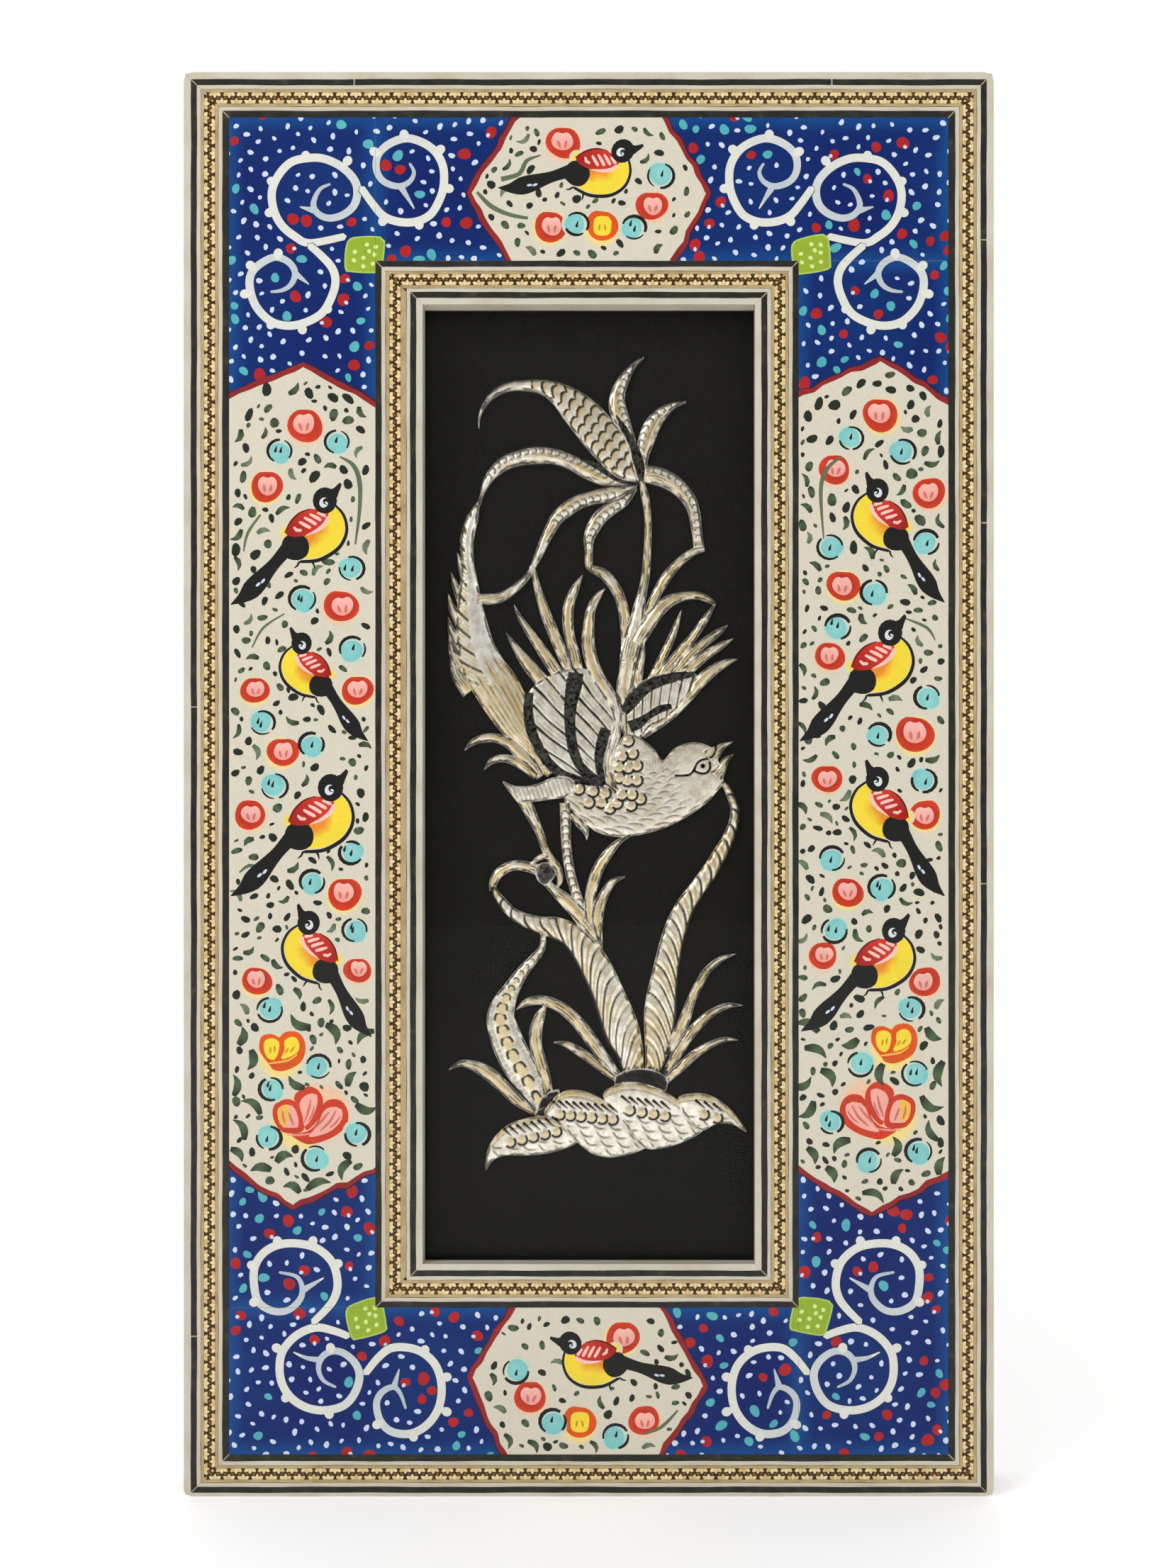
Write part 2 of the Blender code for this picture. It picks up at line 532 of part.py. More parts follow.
# Broad pads of the relief: (column, row) round each outline
BODY = {
    "body": [(85, 587), (100, 603), (123, 612), (144, 610), (159, 600), (165, 582), (171, 557), (164, 545),
             (144, 524), (114, 504), (81, 489), (45, 480), (15, 479), (-10, 486), (-32, 504), (-54, 528),
             (-48, 546), (-24, 560), (9, 585), (26, 618), (38, 624), (57, 616), (74, 601)],
}
RIGHT_WING = {
    "right_wing": [(26, 648), (37, 684), (64, 703), (100, 710), (132, 709), (119, 678), (92, 648), (67, 634),
                   (53, 619), (31, 622)],
}
LEFT_WING = {
    "left_wing": [(-104, 685), (-88, 700), (-56, 714), (-18, 714), (9, 678), (23, 645), (20, 610), (9, 579),
                  (22, 544), (-7, 548), (-43, 557), (-73, 574), (-95, 601), (-109, 634), (-113, 664)],
}
FOOT_PADS = {
    "disc": [(-66, 428), (-73, 416), (-82, 408), (-93, 416), (-97, 428), (-93, 440), (-82, 445), (-71, 439)],
    "fork_hub": [(-56, 390), (-34, 388), (-6, 365), (-2, 322), (-21, 337), (-40, 359)],
}
THIGH = {
    "thigh": [(-142, 557), (-125, 551), (-106, 551), (-89, 555), (-70, 563), (-48, 562), (-37, 546),
              (-54, 535), (-78, 531), (-100, 528), (-120, 528), (-132, 541)],
}
GROUND = {
    "neck": [(17, 138), (30, 147), (57, 151), (77, 146), (91, 137), (88, 119), (69, 124), (43, 127),
             (20, 123)],
    "tuft_base": [(-95, 81), (-92, 99), (-78, 116), (-62, 121), (-65, 106), (-81, 84)],
    "ground_1": [(-166, 7), (-165, 30), (-157, 50), (-138, 69), (-115, 79), (-86, 83), (-58, 76), (-35, 59),
                 (-38, 45), (-69, 33), (-104, 28), (-138, 28), (-157, 20)],
    "ground_2": [(-82, 86), (-72, 105), (-55, 119), (-32, 120), (-9, 112), (17, 96), (57, 65), (63, 42),
                 (40, 30), (5, 25), (-18, 32), (-38, 48), (-58, 71)],
    "ground_3": [(0, 111), (17, 127), (43, 131), (71, 125), (100, 111), (129, 85), (143, 65), (114, 47),
                 (83, 38), (57, 40), (28, 76)],
    "ground_4": [(106, 108), (129, 116), (152, 113), (175, 99), (192, 81), (204, 61), (183, 72), (160, 72),
                 (140, 63), (123, 76)],
}

# Round beads chased on the wing root, and rows of them on the ground leaves: first, last, count
ROOT_BEADS = [
    (36, 614), (42, 596), (27, 592), (23, 577), (36, 576), (48, 579), (23, 562), (35, 558), (48, 558),
    (-34, 546), (-14, 543), (3, 540), (-20, 527), (-2, 527), (10, 519), (20, 526), (27, 538), (40, 523),
    (53, 532), (41, 538),
]
BEAD_ROWS = [
    ((-131, 47), (-66, 62), 5),
    ((-61, 86), (14, 79), 6),
    ((38, 92), (88, 84), 4),
    ((143, 86), (162, 81), 2),
]


def smooth_run(points, closed=False):
    """Points along a smooth curve through the given ones, about a station step apart."""
    rows = np.array(points, float)
    count = len(rows)
    spans = count if closed else count - 1
    run = []
    for index in range(spans):
        if closed:
            a, b, c, d = (rows[(index + shift) % count] for shift in (-1, 0, 1, 2))
        else:
            a = rows[max(index - 1, 0)]
            b = rows[index]
            c = rows[index + 1]
            d = rows[min(index + 2, count - 1)]
        steps = max(1, round(float(np.linalg.norm((c - b)[:2])) / STATION_STEP))
        for step in range(steps):
            t = step / steps
            run.append(0.5 * (2 * b + (c - a) * t + (2 * a - 5 * b + 4 * c - d) * t ** 2
                              + (3 * b - a - 3 * c + d) * t ** 3))
    if not closed:
        run.append(rows[-1])
    return np.array(run)


def distance_to_path(points, path):
    """Each point's distance to a path, and how far along the path its nearest place lies."""
    starts = path[:-1, :2]
    spans = path[1:, :2] - starts
    lengths = (spans ** 2).sum(axis=1)
    away = points[:, None, :] - starts[None]
    share = np.clip((away * spans[None]).sum(axis=2) / lengths[None], 0, 1)
    gaps = np.linalg.norm(away - share[:, :, None] * spans[None], axis=2)
    nearest = gaps.argmin(axis=1)
    rows = np.arange(len(points))
    return gaps[rows, nearest], nearest + share[rows, nearest]


def unit_steps(middle):
    """The direction of a path at each of its points."""
    along = np.gradient(middle, axis=0)
    return along / np.linalg.norm(along, axis=1)[:, None]


def distances_along(middle):
    """How far along a path each of its points lies."""
    steps = np.linalg.norm(np.diff(middle, axis=0), axis=1)
    return np.concatenate([[0], np.cumsum(steps)])


def inside_outline(points, outline):
    """Which points lie within a closed outline."""
    x, z = points[:, 0], points[:, 1]
    inside = np.zeros(len(points), bool)
    for (ax, az), (bx, bz) in zip(outline, np.roll(outline, -1, axis=0)):
        crosses = (az > z) != (bz > z)
        with np.errstate(divide="ignore", invalid="ignore"):
            meets = x < (bx - ax) * (z - az) / (bz - az) + ax
        inside ^= crosses & meets
    return inside


class Blade:
    """A leaf, feather or stem: a spine with a width, raised along its middle."""

    def __init__(self, rows):
        self.spine = smooth_run(rows)
        middle = self.spine[:, :2]
        along = unit_steps(middle)
        across = np.stack([-along[:, 1], along[:, 0]], axis=1) * self.spine[:, 2:]
        self.outline = np.concatenate([middle + across, (middle - across)[::-1]])
        self.lines = [middle[1:-1]]
        self.extra = np.zeros((0, 2))

    def height(self, points):
        gap, place = distance_to_path(points, self.spine)
        width = np.interp(place, np.arange(len(self.spine)), self.spine[:, 2])
        share = np.clip(gap / np.maximum(width, TOUCH), 0, 1)
        fullness = np.sqrt(np.clip(width / WIDE_BLADE, 0, 1))
        return RELIEF_EDGE + RELIEF_RISE * fullness * (1 - share ** 2)


class Groove(Blade):
    """A flat sunk band."""

    def height(self, points):
        return np.full(len(points), RELIEF_EDGE - GROOVE_DEPTH)


class HatchedBlade(Blade):
    """A broad leaf cut across by slanting strokes, with a ridge between each two."""

    def __init__(self, rows, slant):
        super().__init__(rows)
        self.slant = slant
        self.arc = distances_along(self.spine[:, :2])
        for position in np.arange(HATCH_STEP, self.arc[-1] - HATCH_STEP, HATCH_STEP / 2):
            ends = [self.place(position + side * slant / 2, side * HATCH_SIDE) for side in (-1, 1)]
            self.lines.append(np.array(ends))

    def place(self, distance, share):
        """The point this far along the spine and this share of the width to its left."""
        column, row, width = (np.interp(distance, self.arc, self.spine[:, axis]) for axis in range(3))
        ahead = [np.interp(distance + 1, self.arc, self.spine[:, axis]) for axis in range(2)]
        along = np.array(ahead) - (column, row)
        along /= np.linalg.norm(along)
        return np.array((column, row)) + share * width * np.array((-along[1], along[0]))

    def height(self, points):
        gap, place = distance_to_path(points, self.spine)
        stations = np.arange(len(self.spine))
        width = np.interp(place, stations, self.spine[:, 2])
        nearest = np.stack([np.interp(place, stations, self.spine[:, axis]) for axis in range(2)], axis=1)
        index = np.clip(place.astype(int), 0, len(self.spine) - 2)
        along = self.spine[index + 1, :2] - self.spine[index, :2]
        away = points - nearest
        left = np.sign(along[:, 0] * away[:, 1] - along[:, 1] * away[:, 0])
        share = left * gap / np.maximum(width, TOUCH)
        phase = (np.interp(place, stations, self.arc) - share * self.slant / (2 * HATCH_SIDE)) / HATCH_STEP
        stroke = np.abs(2 * (phase - np.floor(phase)) - 1)
        return np.maximum(super().height(points) - HATCH_DEPTH * stroke, RELIEF_EDGE - GROOVE_DEPTH)


class Pad:
    """A broad form with a rounded edge: the bird's body, a wing or a ground leaf."""

    def __init__(self, outline):
        self.outline = smooth_run(outline, closed=True)
        self.lines = []
        low = self.outline.min(axis=0)
        high = self.outline.max(axis=0)
        columns = np.arange(low[0] + PAD_SPACING / 2, high[0], PAD_SPACING)
        rows = np.arange(low[1] + PAD_SPACING / 2, high[1], PAD_SPACING)
        field = np.array([(column, row) for row in rows for column in columns])
        closed = np.concatenate([self.outline, self.outline[:1]])
        clear = distance_to_path(field, closed)[0] > PAD_MARGIN
        self.extra = field[inside_outline(field, self.outline) & clear]

    def height(self, points):
        closed = np.concatenate([self.outline, self.outline[:1]])
        gap = distance_to_path(points, closed)[0]
        share = np.clip(gap / PAD_DOME, 0, 1)
        return RELIEF_EDGE + PAD_RISE * np.sqrt(1 - (1 - share) ** 2)


def relief_forms():
    """The relief's forms, the lowest first."""
    forms = []
    for group in (PLUME, FLOWER, FEATHERS):
        forms += [Blade(rows) for rows in group.values()]
    forms += [Pad(outline) for outline in RIGHT_WING.values()]
    forms += [Pad(outline) for outline in BODY.values()]
    forms += [Blade(rows) for rows in BEAKS.values()]
    forms += [Pad(outline) for outline in LEFT_WING.values()]
    forms += [Groove(rows) for rows in WING_BANDS.values()]
    forms += [Blade(rows) for rows in WING_EDGE.values()]
    forms += [Pad(outline) for outline in FOOT_PADS.values()]
    forms += [Blade(rows) for rows in LEGS.values()]
    forms += [Pad(outline) for outline in THIGH.values()]
    forms += [Blade(rows) for rows in SMALL_LEAVES.values()]
    forms.append(HatchedBlade(GREAT_LEAVES["great_left_leaf"], -HATCH_SLANT))
    forms.append(HatchedBlade(GREAT_LEAVES["great_right_leaf"], HATCH_SLANT))
    forms += [Blade(rows) for rows in TUFTS.values()]
    forms += [Pad(outline) for outline in GROUND.values()]
    return forms


def scale_beads():
    """Staggered rows of scales over the wide part of the great petal."""
    spine = smooth_run(FLOWER["great_petal"])
    along = unit_steps(spine[:, :2])
    arc = distances_along(spine[:, :2])
    beads = []
    for order, position in enumerate(np.arange(2 * SCALE_ROW_STEP, arc[-1], SCALE_ROW_STEP)):
        column, row, width = (np.interp(position, arc, spine[:, axis]) for axis in range(3))
        if width < SCALE_PETAL_WIDTH:
            continue
        left = (-np.interp(position, arc, along[:, 1]), np.interp(position, arc, along[:, 0]))
        for share in SCALES_ACROSS[order % 2]:
            beads.append((column + share * width * left[0], row + share * width * left[1], SCALE_RADIUS))
    return beads


def leaf_beads():
    """Beads down the middle of the beaded leaf, as wide as half of it."""
    spine = smooth_run(TUFTS["bead_leaf"])
    return [(column, row, width / 2) for column, row, width in spine if width > BEAD_RADIUS]


def all_beads():
    """The round beads: centre and radius of each."""
    beads = [(*centre, BEAD_RADIUS) for centre in ROOT_BEADS]
    for first, last, count in BEAD_ROWS:
        for index in range(count):
            share = index / (count - 1)
            beads.append((*(a + (b - a) * share for a, b in zip(first, last)), BEAD_RADIUS))
    return beads + scale_beads() + leaf_beads() + [EYE]


def relief_height(points, forms, beads):
    """The height of the uppermost form at each point, with the beads on it."""
    heights = np.full(len(points), RELIEF_EDGE)
    unset = np.ones(len(points), bool)
    for form in reversed(forms):
        closed = np.concatenate([form.outline, form.outline[:1]])
        on_edge = distance_to_path(points, closed)[0] < TOUCH
        within = (inside_outline(points, form.outline) | on_edge) & unset
        if within.any():
            heights[within] = np.where(on_edge[within], RELIEF_EDGE, form.height(points[within]))
        unset &= ~within
    for column, row, radius in beads:
        gap = np.linalg.norm(points - (column, row), axis=1)
        on_bead = gap < radius - TOUCH
        heights[on_bead] = np.maximum(heights[on_bead], RELIEF_EDGE + PAD_RISE + BEAD_RISE)
        heights[np.abs(gap - radius) <= TOUCH] -= GROOVE_DEPTH / 2
    return np.clip(heights, RELIEF_EDGE - GROOVE_DEPTH, RELIEF_EDGE + RELIEF_RISE)


def add_loop(points, edges, loop, closed=True):
    first = len(points)
    points.extend(Vector(point) for point in loop)
    edges.extend((first + index, first + index + 1) for index in range(len(loop) - 1))
    if closed:
        edges.append((len(points) - 1, first))


def bead_ring(column, row, radius):
    turns = [2 * math.pi * side / BEAD_SIDES for side in range(BEAD_SIDES)]
    return [(column + radius * math.cos(turn), row + radius * math.sin(turn)) for turn in turns]


def triangles_within(points, edges, forms, tolerance):
    """Points of the plan, the triangles that lie within any form, and the points given at each."""
    found, _, faces, originals, *_ = delaunay_2d_cdt(points, edges, [], 0, tolerance)
    plan = np.array([tuple(point) for point in found])
    faces = np.array([tuple(face) for face in faces])
    middles = plan[faces].mean(axis=1)
    covered = np.zeros(len(faces), bool)
    for form in forms:
        covered |= inside_outline(middles, form.outline)
    return plan, faces[covered], originals


def open_edges(faces):
    """The edges that only one triangle uses, each as that triangle runs it."""
    used = {}
    for a, b, c in faces.tolist():
        for edge in ((a, b), (b, c), (c, a)):
            used[edge] = True
    return [edge for edge in used if (edge[1], edge[0]) not in used]


def relief_plan(forms):
    """The relief seen from the front: its points, its front triangles and its rim."""
    points, edges = [], []
    for form in forms:
        add_loop(points, edges, form.outline)
        for line in form.lines:
            add_loop(points, edges, line, closed=False)
        points.extend(Vector(point) for point in form.extra)
    for column, row, radius in all_beads():
        add_loop(points, edges, bead_ring(column, row, radius))
        points.append(Vector((column, row)))
    plan, faces, _ = triangles_within(points, edges, forms, TOUCH)
    return plan, faces, open_edges(faces)


def back_triangles(plan, rim, forms):
    """Triangles over the same rim with no points inside it, for the flat back."""
    used = sorted({index for edge in rim for index in edge})
    place = {index: order for order, index in enumerate(used)}
    points = [Vector(plan[index]) for index in used]
    edges = [(place[a], place[b]) for a, b in rim]
    _, faces, originals = triangles_within(points, edges, forms, 0.0)
    source = [used[original[0]] for original in originals]
    return [tuple(source[index] for index in face) for face in faces.tolist()]


def chased_relief(finish):
    """One piece of metal: a front raised over the plan, a flat back and a rim between them."""
    forms = relief_forms()
    plan, faces, rim = relief_plan(forms)
    heights = relief_height(plan, forms, all_beads())
    count = len(plan)
    x = RELIEF_AXIS_X + plan[:, 0] * GRID
    z = RELIEF_FOOT_Z + plan[:, 1] * GRID
    front = [(x[i], RELIEF_BACK_Y - heights[i], z[i]) for i in range(count)]
    back = [(x[i], RELIEF_BACK_Y, z[i]) for i in range(count)]
    walls = [(b, a, count + a, count + b) for a, b in rim]
    behind = [tuple(count + index for index in face) for face in back_triangles(plan, rim, forms)]
    data = mesh_from("chased_bird_relief", front + back, faces.tolist() + walls + behind)
    made = bmesh.new()
    made.from_mesh(data)
    bmesh.ops.delete(made, geom=[corner for corner in made.verts if not corner.link_faces], context="VERTS")
    made.to_mesh(data)
    made.free()
    add_object("chased_bird_relief", data, finish)


def build():
    clear_scene()
    finishes = {
        "ivory": material("painted_ivory", IVORY, 0.25),
        "bone": material("white_bone", BONE, 0.35),
        "ebony": material("black_wood", EBONY, 0.35),
        "khatam": material("khatam_mosaic", KHATAM, 0.30),
        "walnut": material("frame_wood", WALNUT, 0.45),
        "silver": material("chased_silver", SILVER, 0.35, metallic=1.0),
        "velvet": material("black_velvet", VELVET, 0.95),
        "glass": material("clear_glass", GLASS_TINT, 0.02, transmission=1.0),
        "steel": material("hanger_steel", STEEL, 0.40, metallic=1.0),
    }
    edge = rectangle(-HALF_WIDTH, HALF_WIDTH, CENTRE_Z - HALF_HEIGHT, CENTRE_Z + HALF_HEIGHT)
    opening = rectangle(
        -HALF_OPENING_WIDTH,
        HALF_OPENING_WIDTH,
        CENTRE_Z - HALF_OPENING_HEIGHT,
        CENTRE_Z + HALF_OPENING_HEIGHT,
    )
    around_sheets = outer_border(edge, finishes)
    around_window = inner_border(opening, finishes)
    painted_sheets(around_sheets, around_window, finishes["ivory"])
    rails(edge, opening, finishes["walnut"])
    hanger_pocket(finishes["walnut"])
    sawtooth_hanger(finishes["steel"])
    window_parts(opening, finishes)
    chased_relief(finishes["silver"])


build()
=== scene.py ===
"""The looks of the inlaid wall frame: borders of bone, black wood and star mosaic, painted sheets,
and a chased metal bird on velvet behind glass. Metres, +Z up, the front faces -Y."""

import math

import bmesh
import bpy
import numpy as np
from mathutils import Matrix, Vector
from mathutils.geometry import delaunay_2d_cdt


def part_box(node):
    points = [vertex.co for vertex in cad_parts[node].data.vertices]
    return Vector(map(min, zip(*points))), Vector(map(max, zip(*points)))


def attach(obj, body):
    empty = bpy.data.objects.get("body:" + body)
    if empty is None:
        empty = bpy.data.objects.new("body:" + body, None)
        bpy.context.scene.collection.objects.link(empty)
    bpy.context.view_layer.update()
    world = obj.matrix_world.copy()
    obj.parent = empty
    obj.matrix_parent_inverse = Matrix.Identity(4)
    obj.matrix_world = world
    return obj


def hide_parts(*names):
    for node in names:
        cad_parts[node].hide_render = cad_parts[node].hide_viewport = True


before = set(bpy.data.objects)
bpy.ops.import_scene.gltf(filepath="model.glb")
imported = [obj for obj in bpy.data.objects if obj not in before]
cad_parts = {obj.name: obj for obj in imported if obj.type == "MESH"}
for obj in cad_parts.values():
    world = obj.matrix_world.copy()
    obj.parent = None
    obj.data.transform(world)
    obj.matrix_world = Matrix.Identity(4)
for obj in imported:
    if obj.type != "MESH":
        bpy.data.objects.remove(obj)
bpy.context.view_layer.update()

SIDES = ("left", "right", "bottom", "top")
GAP = 0.0003
HALF_GAP = GAP / 2
SEAM = 0.00006
# How far inlaid pieces reach back towards their rail
REACH_BACK = 0.00027

# The drawing: one unit is 0.2 mm, columns to the right and rows downwards from the photograph's corner
UNIT = 0.0002
MIDDLE_COLUMN = 830.0
MIDDLE_ROW = 1107.0

sheet_low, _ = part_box("painted_sheet_left")
rail_low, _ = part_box("frame_rail_bottom")
_, rail_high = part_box("frame_rail_top")
FRONT_Y = sheet_low.y
CENTRE_Z = (rail_low.z + rail_high.z) / 2


def smooth_run(points, spacing, closed=False):
    """Points along a smooth curve through the given ones, about so far apart."""
    rows = np.array(points, float)
    count = len(rows)
    run = []
    for index in range(count if closed else count - 1):
        if closed:
            a, b, c, d = (rows[(index + shift) % count] for shift in (-1, 0, 1, 2))
        else:
            a = rows[max(index - 1, 0)]
            b = rows[index]
            c = rows[index + 1]
            d = rows[min(index + 2, count - 1)]
        steps = max(1, round(float(np.linalg.norm((c - b)[:2])) / spacing))
        for step in range(steps):
            t = step / steps
            run.append(0.5 * (2 * b + (c - a) * t + (2 * a - 5 * b + 4 * c - d) * t ** 2
                              + (3 * b - a - 3 * c + d) * t ** 3))
    if not closed:
        run.append(rows[-1])
    return np.array(run)


def unit_steps(middle):
    """The direction of a path at each of its points."""
    along = np.gradient(middle, axis=0)
    return along / np.maximum(np.linalg.norm(along, axis=1), 1e-9)[:, None]


def distances_along(middle):
    """How far along a path each of its points lies."""
    steps = np.linalg.norm(np.diff(middle, axis=0), axis=1)
    return np.concatenate([[0], np.cumsum(steps)])


def distance_to_path(points, path):
    """Each point's distance to a path, and how far along the path its nearest place lies."""
    starts = path[:-1, :2]
    spans = path[1:, :2] - starts
    lengths = np.maximum((spans ** 2).sum(axis=1), 1e-12)
    gaps = np.empty(len(points))
    places = np.empty(len(points))
    for first in range(0, len(points), 4000):
        part = points[first:first + 4000]
        away = part[:, None, :] - starts[None]
        share = np.clip((away * spans[None]).sum(axis=2) / lengths[None], 0, 1)
        found = np.linalg.norm(away - share[:, :, None] * spans[None], axis=2)
        nearest = found.argmin(axis=1)
        rows = np.arange(len(part))
        gaps[first:first + 4000] = found[rows, nearest]
        places[first:first + 4000] = nearest + share[rows, nearest]
    return gaps, places


def inside_outline(points, outline):
    """Which points lie within a closed outline."""
    x, z = points[:, 0], points[:, 1]
    inside = np.zeros(len(points), bool)
    for (ax, az), (bx, bz) in zip(outline, np.roll(outline, -1, axis=0)):
        crosses = (az > z) != (bz > z)
        with np.errstate(divide="ignore", invalid="ignore"):
            meets = x < (bx - ax) * (z - az) / (bz - az) + ax
        inside ^= crosses & meets
    return inside


def close(outline):
    return np.concatenate([outline, outline[:1]])


# Materials

# How much clear lacquer lies over the wood, bone and paint
LACQUER = 0.3


def linear(red, green, blue):
    """A colour read from a screen, 0 to 255, as the renderer wants it."""
    values = []
    for value in (red, green, blue):
        share = value / 255
        values.append(share / 12.92 if share <= 0.04045 else ((share + 0.055) / 1.055) ** 2.4)
    return tuple(values)


class Finish:
    """A node material: a shader, with patterns added to it one by one."""

    def __init__(self, name, colour, roughness, metallic=0.0, coat=0.0, coat_roughness=0.04, shine=0.06):
        self.material = bpy.data.materials.new(name)
        self.material.use_nodes = True
        self.nodes = self.material.node_tree.nodes
        self.links = self.material.node_tree.links
        self.shader = self.nodes["Principled BSDF"]
        self.set("Base Color", (*colour, 1.0))
        self.set("Roughness", roughness)
        self.set("Metallic", metallic)
        self.set("Coat Weight", coat)
        self.set("Coat Roughness", coat_roughness)
        self.set("Specular IOR Level", shine)

    def set(self, socket, value):
        self.shader.inputs[socket].default_value = value

    def node(self, kind, **values):
        made = self.nodes.new(kind)
        for name, value in values.items():
            setattr(made, name, value)
        return made

    def place(self, stretch=(1.0, 1.0, 1.0)):
        """The point in metres, stretched along the axes."""
        where = self.node("ShaderNodeTexCoord")
        scale = self.node("ShaderNodeMapping")
        scale.inputs["Scale"].default_value = stretch
        self.links.new(where.outputs["Object"], scale.inputs["Vector"])
        return scale.outputs["Vector"]

    def noise(self, scale, detail=4.0, rough=0.55, stretch=(1.0, 1.0, 1.0)):
        made = self.node("ShaderNodeTexNoise")
        made.inputs["Scale"].default_value = scale
        made.inputs["Detail"].default_value = detail
        made.inputs["Roughness"].default_value = rough
        self.links.new(self.place(stretch), made.inputs["Vector"])
        return made.outputs["Fac"]

    def ramp(self, value, stops):
        """Colours or shades along a value from 0 to 1."""
        made = self.node("ShaderNodeValToRGB")
        while len(made.color_ramp.elements) < len(stops):
            made.color_ramp.elements.new(0.5)
        for element, (position, colour) in zip(made.color_ramp.elements, stops):
            element.position = position
            element.color = (*colour, 1.0) if isinstance(colour, tuple) else (colour, colour, colour, 1.0)
        self.links.new(value, made.inputs["Fac"])
        return made.outputs["Color"]

    def mix_colour(self, share, first, second, blend="MIX"):
        made = self.node("ShaderNodeMix", data_type="RGBA", blend_type=blend)
        sockets = [socket for socket in made.inputs if socket.type == "RGBA"]
        factor = made.inputs[0]
        for socket, value in ((factor, share), (sockets[0], first), (sockets[1], second)):
            if isinstance(value, bpy.types.NodeSocket):
                self.links.new(value, socket)
            elif isinstance(value, tuple):
                socket.default_value = (*value, 1.0)
            else:
                socket.default_value = value
        return [socket for socket in made.outputs if socket.type == "RGBA"][0]

    def attribute(self, name, output="Color"):
        made = self.node("ShaderNodeAttribute", attribute_name=name, attribute_type="GEOMETRY")
        return made.outputs[output]

    def colour_from(self, value):
        self.links.new(value, self.shader.inputs["Base Color"])

    def roughness_from(self, value):
        self.links.new(value, self.shader.inputs["Roughness"])

    def bump(self, value, strength, distance):
        made = self.node("ShaderNodeBump")
        made.inputs["Strength"].default_value = strength
        made.inputs["Distance"].default_value = distance
        self.links.new(value, made.inputs["Height"])
        self.links.new(made.outputs["Normal"], self.shader.inputs["Normal"])


def painted_material():
    """Body colour of the paint, mottled as it goes on, under clear lacquer."""
    finish = Finish("painted_sheet", (0.6, 0.55, 0.45), 0.45, coat=LACQUER, coat_roughness=0.05)
    paint = finish.attribute("paint")
    mottle = finish.attribute("paint", "Alpha")
    broad = finish.ramp(finish.noise(110, 4, 0.6), [(0.3, (0.78, 0.84, 0.92)), (0.7, (1.22, 1.15, 1.08))])
    fine = finish.ramp(finish.noise(900, 4), [(0.25, (0.93, 0.93, 0.93)), (0.75, (1.05, 1.05, 1.05))])
    brushed = finish.mix_colour(mottle, paint, finish.mix_colour(1.0, paint, broad, "MULTIPLY"))
    finish.colour_from(finish.mix_colour(0.6, brushed, finish.mix_colour(1.0, brushed, fine, "MULTIPLY")))
    finish.bump(finish.noise(220, 2), 0.05, 0.0004)
    return finish.material


def bone_material():
    """Lacquered bone: a soft grain along each strip, and a few fine specks."""
    finish = Finish("bone_strip", linear(206, 199, 180), 0.40, coat=LACQUER, coat_roughness=0.06)
    broad = finish.noise(60, 5, 0.6)
    colours = [(0.25, linear(192, 182, 157)), (0.5, linear(206, 199, 181)), (0.8, linear(216, 210, 194))]
    base = finish.ramp(broad, colours)
    specks = finish.ramp(finish.noise(2600, 3), [(0.28, linear(150, 136, 108)), (0.36, (1.0, 1.0, 1.0))])
    finish.colour_from(finish.mix_colour(0.3, base, finish.mix_colour(1.0, base, specks, "MULTIPLY")))
    finish.bump(broad, 0.06, 0.0003)
    return finish.material


def ebony_material():
    finish = Finish("black_wood_strip", linear(44, 42, 37), 0.40, coat=LACQUER, coat_roughness=0.06)
    streaks = finish.noise(260, 5)
    colours = [(0.3, linear(33, 32, 29)), (0.6, linear(47, 45, 39)), (0.8, linear(76, 70, 58))]
    finish.colour_from(finish.ramp(streaks, colours))
    finish.bump(streaks, 0.06, 0.0002)
    return finish.material


def lip_wood_material():
    """The tan wood lips of the mosaic strips, browner in places."""
    finish = Finish("mosaic_lip_wood", linear(186, 162, 122), 0.42, coat=LACQUER, coat_roughness=0.06)
    grain = finish.noise(150, 6, 0.6)
    colours = [(0.25, linear(158, 132, 92)), (0.5, linear(184, 161, 120)), (0.8, linear(200, 180, 140))]
    finish.colour_from(finish.ramp(grain, colours))
    finish.bump(grain, 0.08, 0.0002)
    return finish.material


def sliver_material(name, dark, light):
    """Stained wood slivers of the mosaic, between two tones."""
    finish = Finish(name, light, 0.42, coat=LACQUER, coat_roughness=0.06)
    finish.colour_from(finish.ramp(finish.noise(700, 4), [(0.3, dark), (0.7, light)]))
    return finish.material


def pale_sliver_material():
    """Pale gold slivers, each of its own tone."""
    finish = Finish("mosaic_pale_slivers", linear(240, 219, 168), 0.38, coat=LACQUER, coat_roughness=0.06)
    tone = finish.attribute("tone", "Fac")
    colours = [(0.0, linear(214, 184, 126)), (0.4, linear(232, 208, 154)), (1.0, linear(242, 222, 172))]
    base = finish.ramp(tone, colours)
    grain = finish.ramp(finish.noise(1100, 4), [(0.25, (0.90, 0.88, 0.84)), (0.7, (1.04, 1.04, 1.04))])
    finish.colour_from(finish.mix_colour(1.0, base, grain, "MULTIPLY"))
    return finish.material


def glue_material():
    finish = Finish("joint_filler", linear(176, 164, 136), 0.5, coat=LACQUER)
    clouds = finish.noise(800)
    finish.colour_from(finish.ramp(clouds, [(0.3, linear(146, 134, 108)), (0.7, linear(194, 184, 158))]))
    return finish.material


